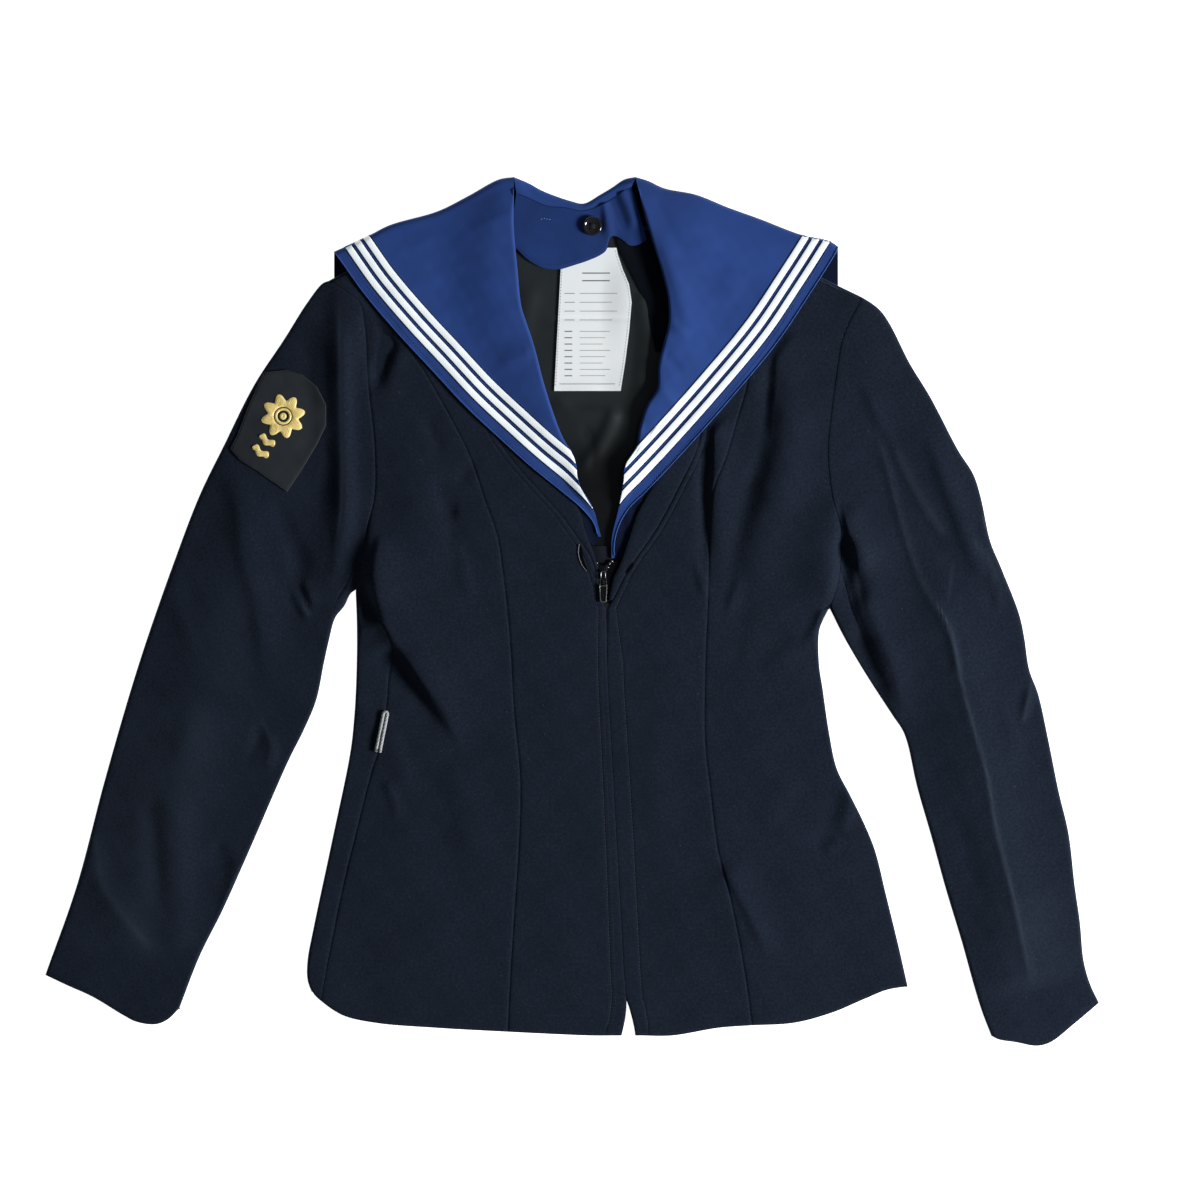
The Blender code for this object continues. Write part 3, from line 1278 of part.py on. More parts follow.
# ================================================================ build
for old in list(bpy.data.objects):
    bpy.data.objects.remove(old, do_unlink=True)
garment = bpy.data.objects.new("garment", None)
bpy.context.scene.collection.objects.link(garment)
hinge = bpy.data.objects.new("pull_hinge", None)
hinge.location = [c * MM for c in HINGE]
bpy.context.scene.collection.objects.link(hinge)

NAVY = material("navy_wool", (0.008, 0.011, 0.020), 0.85)
BLUE_CLOTH = material("collar_blue", (0.014, 0.051, 0.223), 0.75)
WHITE_TAPE = material("white_tape", (0.80, 0.85, 0.85), 0.7)
SATIN = material("dark_lining", (0.014, 0.016, 0.018), 0.4)
LABEL_CLOTH = material("label_cloth", (0.76, 0.79, 0.79), 0.75)
FELT = material("badge_felt", (0.016, 0.022, 0.026), 0.95)
GOLD = material("gold_thread", (0.78, 0.52, 0.16), 0.45)
STEEL = material("dark_metal", (0.10, 0.10, 0.11), 0.35, 1.0)
BUTTON_BLACK = material("black_button", (0.01, 0.01, 0.012), 0.2)
CORD = material("pale_cord", (0.55, 0.56, 0.57), 0.8)
ZIP_BLACK = material("zip_tape", (0.006, 0.007, 0.010), 0.9)


def finish(sheets, looks, default):
    """Turn a group of sheets into solids, with normals shared at their seams."""
    normals = point_normals(sheets.values())
    return {name: solid(name, sheet, normals, looks.get(name, default))
            for name, sheet in sheets.items()}


wool = {}
build_torso(wool)
build_sleeve(wool, "r", "right")
build_sleeve(wool, "l", "left")
made = finish(wool, {}, NAVY)

blue = {}
fall_right, fall_left = build_collar(blue)
finish(blue, {}, BLUE_CLOTH)
for one_fall, wearer_side in ((fall_right, "right"), (fall_left, "left")):
    tapes = {}
    build_tapes(tapes, one_fall, wearer_side)
    for tape_name, tape in tapes.items():
        finish({tape_name: tape}, {}, WHITE_TAPE)

inside = {}
build_inside(inside)
build_zip(inside)
for piece_name, piece in inside.items():
    finish({piece_name: piece}, dict(
        lining_back=SATIN, label=LABEL_CLOTH, neck_facing=NAVY, zip_guard=NAVY), ZIP_BLACK)
build_slider()
build_pull()
build_button()

badge = {}
build_badge(badge, Surface(made["sleeve_top_right"]))
patch_made = finish(badge, {}, FELT)["badge_patch"]
motifs = {}
build_motifs(motifs, Surface(patch_made))
for motif_name, motif in motifs.items():
    finish({motif_name: motif}, {}, GOLD)
build_loop(Surface(made["front_side_right"], made["back"]))
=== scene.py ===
"""Looks of the sailor top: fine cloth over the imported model, zip, badge and light.

Tables are in millimetres in the model's frame: +X to the wearer's left, +Y to the
neck, +Z up.  The wearer's right is at the left of the picture.
"""
import functools
import math

import bmesh
import bpy
import numpy as np
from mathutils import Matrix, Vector
from mathutils.bvhtree import BVHTree
from mathutils.kdtree import KDTree


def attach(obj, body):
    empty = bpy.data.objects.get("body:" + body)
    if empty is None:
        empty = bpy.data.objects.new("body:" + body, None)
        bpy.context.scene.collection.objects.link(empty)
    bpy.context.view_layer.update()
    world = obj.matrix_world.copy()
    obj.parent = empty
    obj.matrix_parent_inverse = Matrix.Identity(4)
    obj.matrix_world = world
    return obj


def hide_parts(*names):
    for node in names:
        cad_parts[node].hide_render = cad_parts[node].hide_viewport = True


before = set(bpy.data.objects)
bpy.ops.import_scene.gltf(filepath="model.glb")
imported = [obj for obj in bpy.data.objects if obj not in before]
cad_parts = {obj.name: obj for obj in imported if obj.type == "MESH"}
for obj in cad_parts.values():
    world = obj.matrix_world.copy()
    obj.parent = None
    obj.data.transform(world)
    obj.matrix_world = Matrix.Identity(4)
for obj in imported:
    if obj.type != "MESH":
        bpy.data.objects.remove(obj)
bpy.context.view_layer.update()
MM = 0.001

# ---------------------------------------------------------------- cloth
WOOL = 1.4            # wall of the wool panels
BLUE = 1.2            # wall of the collar cloth
THIN = 1.0            # lining, label, tapes and zip tapes
LAY = 0.3             # space between two pieces that lie on each other

# ---------------------------------------------------------------- heights
FLAP_BOTTOM = 95.0    # lower edge of the collar's back flap
UNDER_FLAP = BLUE + LAY                     # the back is lifted this much by the flap
LINING_Z = UNDER_FLAP + WOOL + LAY          # underside of the lining over the flap
FACING_Z = LINING_Z + THIN + LAY            # underside of the label and the facing
YOKE_Z = FACING_Z + THIN + LAY              # underside of the inner neck piece
SLEEVE_TOP = 5.2      # height of a sleeve's upper face, away from the body
TORSO_TOP = (         # height of the front's outer face: y, z
    (350, 7.2), (100, 7.2), (62, 8.1), (8, 8.1), (-40, 4.7), (-282, 4.5), (-335, 3.2))

# ---------------------------------------------------------------- outline
SHOULDER_R = ((-192, 262), (-163, 278), (-134, 292), (-100, 306), (-66, 321))
SHOULDER_L = ((75, 319), (110, 305), (149, 290), (190, 268), (229, 249))
ARMHOLE_R = ((-192, 262), (-181, 255), (-168, 245), (-164, 228), (-161, 181),
             (-156, 132), (-156, 93), (-162, 66), (-166, 41), (-171, 18))
ARMHOLE_L = ((229, 249), (220, 233), (213, 216), (209, 193), (205, 163), (202, 136),
             (202, 119), (205, 93), (212, 66), (212, 42), (209, 20), (203, 4))
SIDE_R = ((-171, 18), (-170, -8), (-170, -34), (-171, -66), (-172, -81), (-175, -109),
          (-190, -182), (-204, -248), (-209, -275), (-209, -290), (-206, -299))
SIDE_L = ((203, 4), (198, -6), (195, -15), (195, -40), (198, -61), (203, -95),
          (209, -123), (219, -143), (229, -163), (239, -187), (248, -223), (258, -264),
          (265, -295))
SLEEVE_R_OUTER = ((-192, 262), (-197, 260), (-209, 245), (-228, 215), (-251, 180),
                  (-275, 132), (-294, 93), (-314, 41), (-342, -40), (-369, -132),
                  (-391, -215), (-416, -286))
SLEEVE_R_INNER = ((-171, 18), (-175, 15), (-180, 5), (-187, -4), (-192, -22), (-196, -40),
                  (-202, -69), (-212, -93), (-224, -117), (-255, -188), (-276, -235),
                  (-294, -271), (-310, -312))
CUFF_R = ((-416, -286), (-399, -294), (-379, -303), (-354, -318), (-344, -323),
          (-329, -325), (-319, -321), (-310, -312))
SLEEVE_L_OUTER = ((229, 249), (237, 244), (244, 238), (252, 226), (266, 198), (283, 170),
                  (305, 128), (317, 109), (323, 90), (330, 57), (339, 35), (353, -1),
                  (357, -19), (361, -45), (368, -64), (376, -100), (384, -140),
                  (392, -174), (397, -216), (401, -244), (404, -275), (409, -293),
                  (416, -308))
SLEEVE_L_INNER = ((203, 4), (214, -18), (231, -47), (253, -81), (261, -93), (265, -104),
                  (272, -136), (284, -178), (295, -218), (308, -261), (318, -297),
                  (324, -316), (331, -334))
CUFF_L = ((416, -308), (397, -324), (378, -339), (367, -342), (350, -339), (337, -337),
          (331, -334))
HEM = ((-206, -299), (-199, -306), (-181, -318), (-155, -324), (-106, -328), (-51, -331),
       (15, -334), (33, -334), (53, -334), (79, -334), (115, -328), (141, -326),
       (175, -324), (205, -316), (231, -305), (248, -298), (265, -295))
BACK_HEM = ((-206, -299), (-190, -300), (43, -300), (200, -300), (248, -298), (265, -295))
BACK_NECK = ((-66, 321), (-40, 316), (5, 313), (45, 315), (75, 319))

# ---------------------------------------------------------------- seams
PRINCESS_R = ((-134, 292), (-134, 247), (-129, 210), (-116, 189), (-95, 152), (-81, 124),
              (-69, 89), (-59, 60), (-55, 34), (-52, 10), (-49, -23), (-46, -76),
              (-41, -132), (-42, -180), (-46, -241), (-49, -289), (-51, -331))
PRINCESS_L = ((149, 290), (146, 247), (139, 185), (130, 152), (121, 122), (112, 99),
              (108, 75), (108, 40), (107, 7), (105, -47), (105, -102), (109, -139),
              (115, -187), (125, -226), (132, -260), (138, -296), (142, -326))
SIDE_SEAM_R = ((-171, 18), (-164, 6), (-156, -2), (-147, -14), (-142, -30), (-145, -52),
               (-147, -76), (-153, -109), (-158, -124), (-171, -175), (-181, -216),
               (-190, -260), (-194, -279), (-199, -306))
NECK_R = ((-66, 321), (-70, 286), (-73, 247), (-73, 207), (-68, 168), (-60, 140),
          (-46, 119), (-24, 94), (-7, 75), (5, 58), (13, 47), (17, 38), (19.5, 28),
          (23, 14), (26, 4))
NECK_L = ((75, 319), (86, 286), (95, 247), (99, 207), (102, 168), (100, 135), (84, 99),
          (65, 64), (49, 41), (41, 28), (36, 18), (29, 4))
ZIP_R = ((26, 4), (28, -47), (32, -120), (36, -192), (40, -264), (41, -282), (42.5, -303),
         (42, -316), (40, -328), (38, -336))
ZIP_L = ((29, 4), (28.3, -20), (28, -47), (32, -120), (36, -192), (40, -264),
         (41, -282), (43, -303), (46, -312), (50, -328), (51, -336))
BAND_R = (            # inner edge of the neck band: x, y
    (-53, 321), (-56, 286), (-59, 247), (-59, 207), (-52, 168), (-41, 140), (-27, 121),
    (-8, 99), (5, 82), (11, 63), (16, 50), (19, 40), (20.6, 31), (21.3, 24), (24, 13),
    (26.2, 6))
BAND_L = (
    (61, 319), (71, 286), (81, 247), (85, 207), (86, 168), (79, 135), (67, 106),
    (52, 79), (46, 61), (42, 49), (38, 38), (33, 28), (29.6, 12), (28.8, 6))
SEAM_WRAP = 20.0      # the left side seam and the sleeves' hind seams lie this far in

# ---------------------------------------------------------------- collar
FOLD_R = ((-188, 285), (-179, 289), (-160, 298), (-144, 306), (-106, 317), (-82, 329),
          (-58, 342), (-46, 344))
FOLD_L = ((210, 289), (204, 293), (182, 298), (148, 311), (123, 320), (98, 330),
          (73, 335), (60, 341), (50, 344))
NECK_FOLD = ((-46, 344), (-34, 339), (-23, 333), (-1, 325), (9, 323), (22, 330),
             (32, 336), (41, 342), (50, 344))
FALL_R_OUTER = ((-188, 285), (-184, 280), (-164.5, 252.5), (-137, 220), (-111, 192),
                (-84, 163), (-58.5, 139), (-33, 116), (-9, 96.5), (6.5, 83.5), (17, 71),
                (20.5, 60))
FALL_R_INNER = ((-46, 344), (-46, 325), (-46, 305), (-43, 271), (-40, 242), (-36, 229),
                (-30, 211), (-21, 177), (-8, 140), (2, 122), (6, 101), (16, 83),
                (23, 60))
FALL_L_OUTER = ((210, 289), (207.5, 283.5), (187, 251), (161, 212.5), (121.5, 165),
                (83.5, 122.5), (59.5, 97), (44, 81.5), (36, 66.5), (33, 52), (33.5, 43))
FALL_L_INNER = ((50, 344), (56, 318), (63, 294), (71, 268), (75.5, 248), (76, 229),
                (73, 216), (68, 195), (67, 177), (59, 164), (53, 146), (50, 129),
                (42, 117), (40, 101), (36, 79), (31.5, 60), (31, 43))
ROLL_RISE = (         # how far the roll of a fall stands above its outer part: v, mm
    (0, 0), (0.03, 1.0), (0.1, 4.6), (0.35, 4.6), (0.6, 3.2), (0.8, 2.4), (1, 1.5))
ROLL_RADIUS = 2.4
YOKE_SEAM = ((-44, 331), (-34, 327), (-20, 321), (-5, 319.5), (8, 317), (22, 321),
             (33, 327), (41, 333), (47, 336))
YOKE_EDGE = ((-50, 291), (-45, 288), (-34, 278), (-22, 272), (-10, 271), (1, 274),
             (13, 278), (22, 282), (27, 286), (28.5, 292), (31, 297), (35, 297),
             (40, 294), (45, 290), (51, 290), (59, 294))

# ---------------------------------------------------------------- panel rows
FIRST_LEVEL = 240.0   # height at which the rows start to look for their places
SETTLE = 30           # rounds in which a slanting row finds its place
FAR = 99.0            # gap of a point that no rolled edge is near

# ---------------------------------------------------------------- folds
# path on the plan, height of the crest (a trough is negative), width of the
# slope left and right of the path, share of the path over which it fades in/out
FOLDS = (
    # underarm fold of the right front, down across the waist
    (((-152, 84), (-159, 53), (-160, 30), (-153, 10), (-141, -18), (-118, -52),
      (-96, -83), (-87, -109)), 6.5, 36, 6, 0.25, 0.35),
    # hollow that this fold leaves on its outer side
    (((-168, 12), (-158, -14), (-128, -58), (-104, -92)), -1.6, 9, 12, 0.3, 0.4),
    # deep dent beside the right armhole, under the collar
    (((-146, 262), (-147, 238), (-152, 206), (-153, 170)), -2.4, 7, 10, 0.2, 0.4),
    (((-128, 214), (-146, 192), (-151, 160)), 1.6, 12, 8, 0.3, 0.4),
    # chest of the right front
    (((-120, 150), (-122, 100), (-118, 40), (-104, -10)), 2.6, 26, 26, 0.3, 0.4),
    # left front: two troughs from the collar to the waist
    (((155, 211), (155, 144), (141, 97), (129, 41), (127, 8), (117, -6)), -2.2, 12, 8,
     0.15, 0.3),
    (((106, 146), (105, 89), (107, 18)), -2.2, 7, 7, 0.15, 0.35),
    (((174, 190), (172, 130), (160, 80), (150, 30)), 3.0, 20, 22, 0.3, 0.4),
    # bulge of the left front at the armhole
    (((204, 100), (206, 70), (206, 44), (201, 18), (194, -2)), 4.6, 6, 24, 0.3, 0.3),
    # right hip and left hip
    (((-150, -160), (-130, -230), (-120, -300)), 1.6, 30, 30, 0.3, 0.2),
    (((108, -200), (129, -231), (156, -280)), 2.2, 12, 26, 0.3, 0.3),
    (((221, -130), (206, -170), (198, -205)), -1.5, 12, 12, 0.3, 0.4),
    # right sleeve: pressed ridge beside the armhole, and its hollow
    (((-182, 240), (-182, 190), (-181, 130), (-180, 80), (-186, 45), (-196, 10)), 4.6,
     8, 16, 0.15, 0.35),
    (((-192, 225), (-192, 170), (-192, 110), (-196, 70)), -1.6, 8, 7, 0.2, 0.4),
    (((-214, 70), (-216, 20), (-222, -20)), -1.4, 10, 10, 0.3, 0.4),
    # right sleeve: fullness down its middle
    (((-235, 180), (-250, 100), (-280, 0), (-305, -90), (-330, -190), (-350, -290)),
     3.4, 30, 30, 0.2, 0.15),
    # left sleeve: hollow that runs from the armhole to the elbow
    (((224, 190), (243, 168), (259, 128), (283, 89), (307, 45), (330, 10)), -1.6, 12, 10,
     0.2, 0.3),
    # left sleeve: pressed ridge to the cuff
    (((283, 60), (291, 10), (305, -50), (318, -101), (338, -196), (363, -300)), 3.6, 18,
     24, 0.15, 0.15),
    # left sleeve: edge that turns over the underarm
    (((214, 78), (221, 42), (229, 5), (240, -22), (254, -60), (262, -92)), 4.6, 26, 6,
     0.2, 0.35),
    (((262, 170), (290, 110), (312, 50), (330, -30)), 2.2, 14, 14, 0.3, 0.3),
)

# creases that are finer than the solids'; same columns as FOLDS, so that on a line
# that runs down the garment the first width is its east side, the second its west
CREASES = (
    # right sleeve: pressed edge beside the armhole, steep to the west
    (((-184, 266), (-184, 220), (-184, 180), (-183, 140)), 2.4, 24, 8, 0.15, 0.5),
    (((-183, 140), (-182, 90), (-184, 50), (-192, 10)), 1.4, 16, 6, 0.3, 0.4),
    (((-206, 236), (-208, 200), (-204, 150), (-206, 110)), -1.0, 9, 9, 0.3, 0.4),
    (((-275, 122), (-264, 89), (-257, 38), (-250, 16), (-242, -36), (-236, -72)), 2.2, 14,
     8, 0.2, 0.3),
    (((-238, 92), (-222, 56), (-213, 24)), -1.5, 8, 7, 0.3, 0.3),
    (((-318, 44), (-311, 6), (-292, -50)), 1.3, 8, 12, 0.3, 0.4),
    (((-315, -120), (-310, -182), (-311, -248), (-315, -282)), 2.2, 13, 13, 0.3, 0.2),
    (((-334, -134), (-330, -182), (-326, -238)), -1.6, 8, 9, 0.3, 0.3),
    (((-378, -170), (-371, -214), (-355, -238), (-330, -267)), 1.6, 7, 16, 0.2, 0.3),
    (((-284, -180), (-278, -192), (-276, -206)), -1.4, 8, 8, 0.3, 0.4),
    (((-296, -60), (-304, -100), (-316, -140)), 1.2, 14, 10, 0.3, 0.4),
    # elbow puckers of the right sleeve
    (((-214, 26), (-207, 14), (-203, 2)), 1.6, 5, 3, 0.3, 0.3),
    (((-222, 20), (-214, 4), (-206, -8)), 1.4, 4, 3, 0.3, 0.3),
    (((-246, -84), (-250, -104), (-262, -118)), -1.2, 5, 4, 0.3, 0.4),
    (((-238, -92), (-236, -112), (-244, -128)), 1.4, 4, 5, 0.3, 0.4),
    (((-262, -190), (-270, -225), (-280, -255)), 1.4, 10, 6, 0.3, 0.4),
    # right front: crest of the underarm fold, highest at the armhole and at its foot
    (((-149, 66), (-155, 38), (-154, 18), (-147, -2)), 3.2, 16, 4, 0.25, 0.35),
    (((-166, 26), (-165, 6), (-163, -14)), -2.4, 6, 7, 0.3, 0.4),
    (((-137, -30), (-122, -52), (-106, -76), (-94, -92), (-84, -112)), 2.0, 16, 4, 0.2, 0.4),
    (((-160, 0), (-152, -18), (-143, -36)), 4.2, 8, 14, 0.3, 0.35),
    (((-130, -64), (-116, -82), (-102, -100)), -1.0, 8, 9, 0.3, 0.4),
    (((-107, 112), (-97, 72), (-88, 26)), -1.3, 9, 7, 0.2, 0.4),
    (((-118, 158), (-108, 138), (-100, 120)), -1.2, 6, 6, 0.3, 0.4),
    (((-96, 80), (-70, 74), (-44, 68), (-20, 60)), 1.5, 7, 6, 0.1, 0.5),
    (((-104, 58), (-92, 52), (-84, 30), (-80, 6)), 1.2, 5, 8, 0.3, 0.4),
    (((-92, 96), (-84, 112), (-70, 128)), -0.9, 6, 6, 0.3, 0.4),
    (((-146, -90), (-138, -112), (-124, -150)), 1.2, 7, 9, 0.15, 0.5),
    (((-150, -132), (-144, -140), (-136, -170)), 1.2, 5, 4, 0.2, 0.5),
    (((-96, -110), (-84, -160), (-78, -220)), 1.2, 20, 12, 0.2, 0.4),
    (((-176, -60), (-166, -78), (-154, -92)), 0.8, 6, 5, 0.2, 0.4),
    # shoulder of the right front, pushed in under the collar, and beside the armhole
    (((-139, 229), (-144, 210), (-151, 190), (-156, 166)), -3.2, 7, 6, 0.25, 0.4),
    (((-166, 244), (-163, 222), (-163, 188)), -1.8, 5, 5, 0.3, 0.4),
    # armpit of the left sleeve
    (((213, 66), (219, 44), (226, 20), (231, 0)), -3.6, 6, 7, 0.25, 0.3),
    # left front: folds that fall from the collar, steep to the west
    (((113, 160), (112.5, 118), (111, 88), (110, 56), (109, 24)), 2.8, 12, 3.2, 0.1, 0.45),
    (((106, 126), (105, 96), (106, 70)), -0.8, 3, 6, 0.2, 0.4),
    (((163, 226), (162, 186), (158, 150), (152, 124)), 2.6, 18, 4.5, 0.1, 0.5),
    (((172, 186), (166, 140), (156, 98), (142, 56), (126, 10)), 2.6, 24, 12, 0.2, 0.25),
    (((133, 30), (127, 14), (121, -4)), 1.6, 6, 3, 0.3, 0.4),
    (((103, 36), (104, 22), (106, 8)), 1.0, 3, 3, 0.3, 0.4),
    (((98, 44), (100, 26), (104, 10)), 0.8, 3, 2.5, 0.3, 0.4),
    (((200, 6), (190, -16), (178, -30)), 1.8, 9, 4, 0.2, 0.4),
    (((184, -14), (166, -34), (146, -52)), 0.9, 9, 6, 0.2, 0.5),
    (((150, 6), (140, -24), (136, -60)), 0.7, 12, 6, 0.3, 0.4),
    # left front: pulls at the waist and the hip
    (((220, -138), (217, -156), (210, -178)), 2.6, 7, 8, 0.2, 0.45),
    (((212, -176), (204, -186), (196, -190)), 1.4, 5, 6, 0.2, 0.4),
    (((178, -124), (160, -150), (142, -176)), 0.8, 10, 8, 0.3, 0.4),
    (((118, -196), (131, -222), (146, -252), (158, -280)), 2.0, 16, 3.5, 0.15, 0.4),
    (((70, -60), (66, -130), (72, -200)), 0.8, 16, 10, 0.3, 0.4),
    # left sleeve: pressed ridge from the armhole to the cuff, a thin bright edge
    (((238, 150), (248, 117), (259, 74), (276, 23), (297, -11.5), (306, -50)), 1.0, 3, 4,
     0.2, 0.05),
    (((276, 23), (297, -11.5), (306, -50), (314.6, -84), (327, -127), (334, -169),
      (345, -212), (364, -290)), 0.9, 2.6, 6.0, 0.1, 0.02),
    (((270, 40), (297, -14), (315, -86), (334, -170), (362, -300)), 2.6, 30, 40, 0.2, 0.05),
    # left sleeve: elbow folds, steep to the west
    (((226, 190), (240, 158), (254, 132), (272, 95), (296, 58), (316, 43), (331, 20)), 2.0,
     14, 5, 0.15, 0.25),
    (((276, 150), (285, 126), (303, 78), (316, 46), (334, 22)), 1.8, 12, 4.5, 0.3, 0.25),
    (((322, 78), (330, 60), (336, 50)), 1.6, 4, 4, 0.3, 0.4),
    (((326, 36), (334, 20), (338, -2)), 1.3, 5, 4, 0.3, 0.4),
    (((363, -56), (359, -72), (356, -90)), 1.6, 4, 4, 0.3, 0.4),
    (((336, -60), (346, -96), (350, -130)), 0.9, 8, 8, 0.3, 0.4),
    (((300, -150), (312, -190), (328, -240)), -0.9, 10, 8, 0.3, 0.4),
    # left sleeve: black wedge where it turns over the underarm
    (((214, 88), (219, 64), (225, 46), (228, 26)), 4.4, 12, 4, 0.25, 0.3),
    (((210, 66), (213, 36), (217, 12)), -2.4, 7, 8, 0.3, 0.3),
    (((222, -8), (236, -44), (250, -78)), -1.8, 7, 9, 0.2, 0.3),
    (((226, 22), (241, -14), (257, -58), (262, -88)), 1.4, 8, 3, 0.2, 0.35),
)

# ridges and fold crests painted lighter, partly the real shine of pressing and use and partly
# painted highlight where the lamp lights them: points, strength, width
WEAR_AND_PAINTED_LIGHT = (
    (((238, 150), (248, 117), (259, 74), (276, 23), (297, -11.5), (306, -50)), 0.22, 1.6),
    (((276, 23), (297, -11.5), (306, -50), (314.6, -84), (327, -127), (334, -169),
      (345, -212), (364, -300)), 0.6, 1.3),
    (((363, -54), (359, -72), (356, -88)), 0.45, 1.6),
    (((301, 42), (299, 26), (296, 6)), 0.22, 1.5),
    (((314, 60), (330, 40), (335, 24)), 0.25, 2.0),
    (((322, 78), (331, 60), (337, 50)), 0.25, 2.0),
    (((254, 132), (272, 95), (296, 58)), 0.3, 3.0),
    (((-184, 250), (-183, 160), (-182, 90), (-188, 40)), 0.4, 1.5),
    (((-378, -170), (-371, -214), (-355, -238), (-330, -267)), 0.35, 3.0),
    (((-205, 14), (-212, 6), (-206, -2)), 0.6, 1.2),
    (((-246, -84), (-238, -100), (-240, -122)), 0.4, 1.8),
    # broad painted light: the lower sleeves painted paler where more light falls on them
    (((-300, -60), (-322, -140), (-340, -210), (-352, -280)), 0.20, 40),
    (((-262, 40), (-276, -20), (-292, -60)), 0.07, 34),
    (((352, -220), (366, -262), (376, -300)), 0.10, 30),
)

# columns as in FOLDS, on the collar's falls
COLLAR_FOLDS = (
    (((70, 300), (78, 270), (88, 240), (92, 210)), 1.2, 8, 6, 0.2, 0.5),
    (((60, 330), (76, 300), (100, 280)), -1.0, 8, 8, 0.2, 0.5),
    (((76, 232), (84, 224), (96, 220)), 1.1, 3, 4, 0.2, 0.5),
    (((70, 205), (80, 196), (92, 190)), -0.9, 4, 4, 0.2, 0.5),
    (((66, 178), (76, 170), (90, 160)), 1.1, 4, 5, 0.2, 0.5),
    (((52, 146), (66, 144), (84, 150)), -0.9, 4, 5, 0.2, 0.5),
    (((130, 300), (128, 260), (118, 230)), 0.9, 14, 12, 0.3, 0.5),
    (((-60, 335), (-66, 290), (-62, 240)), 1.0, 12, 14, 0.3, 0.5),
    (((-110, 300), (-100, 260), (-84, 220)), -0.8, 14, 12, 0.3, 0.5),
    (((-30, 205), (-46, 200), (-62, 190)), 0.9, 5, 6, 0.2, 0.5),
)


# ================================================================ curves
def blend_points(p, k, t):
    """Centripetal Catmull-Rom: the pyramid of linear blends at knot value t."""
    a = [(p[i] * (k[i + 1] - t) + p[i + 1] * (t - k[i])) / (k[i + 1] - k[i])
         for i in range(3)]
    b = [(a[i] * (k[i + 2] - t) + a[i + 1] * (t - k[i])) / (k[i + 2] - k[i])
         for i in range(2)]
    return (b[0] * (k[2] - t) + b[1] * (t - k[1])) / (k[2] - k[1])


class Line:
    """A smooth line through plan points, read by length, by height or by x."""

    def __init__(self, points, steps=12):
        p = np.array(points, float)
        ends = np.vstack([2 * p[0] - p[1], p, 2 * p[-1] - p[-2]])
        run = []
        for a, b, c, d in zip(ends, ends[1:], ends[2:], ends[3:]):
            knots = [0.0]
            for q, r in ((a, b), (b, c), (c, d)):
                knots.append(knots[-1] + math.sqrt(max(np.linalg.norm(r - q), 1e-6)))
            for i in range(steps):
                t = knots[1] + (knots[2] - knots[1]) * i / steps
                run.append(blend_points((a, b, c, d), knots, t))
        run.append(p[-1])
        self.points = np.array(run)
        steps_long = np.linalg.norm(np.diff(self.points, axis=0), axis=1)
        self.length = steps_long.sum()
        self.share = np.concatenate([[0], np.cumsum(steps_long)]) / self.length

    def at(self, t):
        return np.stack([np.interp(t, self.share, self.points[:, k]) for k in (0, 1)], -1)

    def x_at(self, y):
        order = np.argsort(self.points[:, 1], kind="stable")
        return np.interp(y, self.points[order, 1], self.points[order, 0])

    def y_at(self, x):
        order = np.argsort(self.points[:, 0], kind="stable")
        return np.interp(x, self.points[order, 0], self.points[order, 1])


def ramp(a, b, value):
    """0 at a, 1 at b, smooth between."""
    t = np.clip((value - a) / (b - a), 0, 1)
    return t * t * (3 - 2 * t)


def table(rows, value):
    rows = sorted(rows)
    return np.interp(value, [r[0] for r in rows], [r[1] for r in rows])


BATCH = 4000          # points worked on at a time


def near(path, x, y):
    """Distance to a run of points, side (+ left) and share along it, for arrays."""
    q = np.stack([x.ravel(), y.ravel()], 1)
    a, ab = path[:-1], np.diff(path, axis=0)
    span = np.maximum((ab ** 2).sum(1), 1e-12)
    lengths = np.sqrt(span)
    before = np.concatenate([[0], np.cumsum(lengths)[:-1]])
    out = np.empty((3, len(q)))
    for start in range(0, len(q), BATCH):
        part = q[start:start + BATCH]
        off = part[:, None] - a[None]
        t = np.clip((off * ab).sum(2) / span, 0, 1)
        off = off - ab[None] * t[..., None]
        gap = np.hypot(off[..., 0], off[..., 1])
        i = gap.argmin(1)
        n = np.arange(len(part))
        cross = ab[i, 0] * off[n, i, 1] - ab[i, 1] * off[n, i, 0]
        out[:, start:start + BATCH] = (gap[n, i], np.where(cross >= 0, 1, -1),
                                       (before[i] + lengths[i] * t[n, i]) / lengths.sum())
    return out.reshape((3,) + x.shape)


LINES = {name: Line(points) for name, points in dict(
    shoulder_r=SHOULDER_R, shoulder_l=SHOULDER_L, arm_r=ARMHOLE_R, arm_l=ARMHOLE_L,
    side_r=SIDE_R, side_l=SIDE_L, princess_r=PRINCESS_R, princess_l=PRINCESS_L,
    side_seam_r=SIDE_SEAM_R, neck_r=NECK_R, neck_l=NECK_L, zip_r=ZIP_R, zip_l=ZIP_L,
    band_r=BAND_R, band_l=BAND_L, outer_r=SLEEVE_R_OUTER, inner_r=SLEEVE_R_INNER,
    cuff_r=CUFF_R, outer_l=SLEEVE_L_OUTER, inner_l=SLEEVE_L_INNER, cuff_l=CUFF_L,
    hem=HEM, back_hem=BACK_HEM, back_neck=BACK_NECK, fold_r=FOLD_R, fold_l=FOLD_L,
    neck_fold=NECK_FOLD, fall_r_outer=FALL_R_OUTER, fall_r_inner=FALL_R_INNER,
    fall_l_outer=FALL_L_OUTER, fall_l_inner=FALL_L_INNER, yoke_seam=YOKE_SEAM,
    yoke_edge=YOKE_EDGE).items()}
CLOSED_EDGES = [LINES[name].points for name in (
    "shoulder_r", "shoulder_l", "side_r", "side_l", "outer_r", "inner_r", "outer_l",
    "inner_l")]
ARMPIT_R, ARMPIT_L = SIDE_R[0], SIDE_L[0]
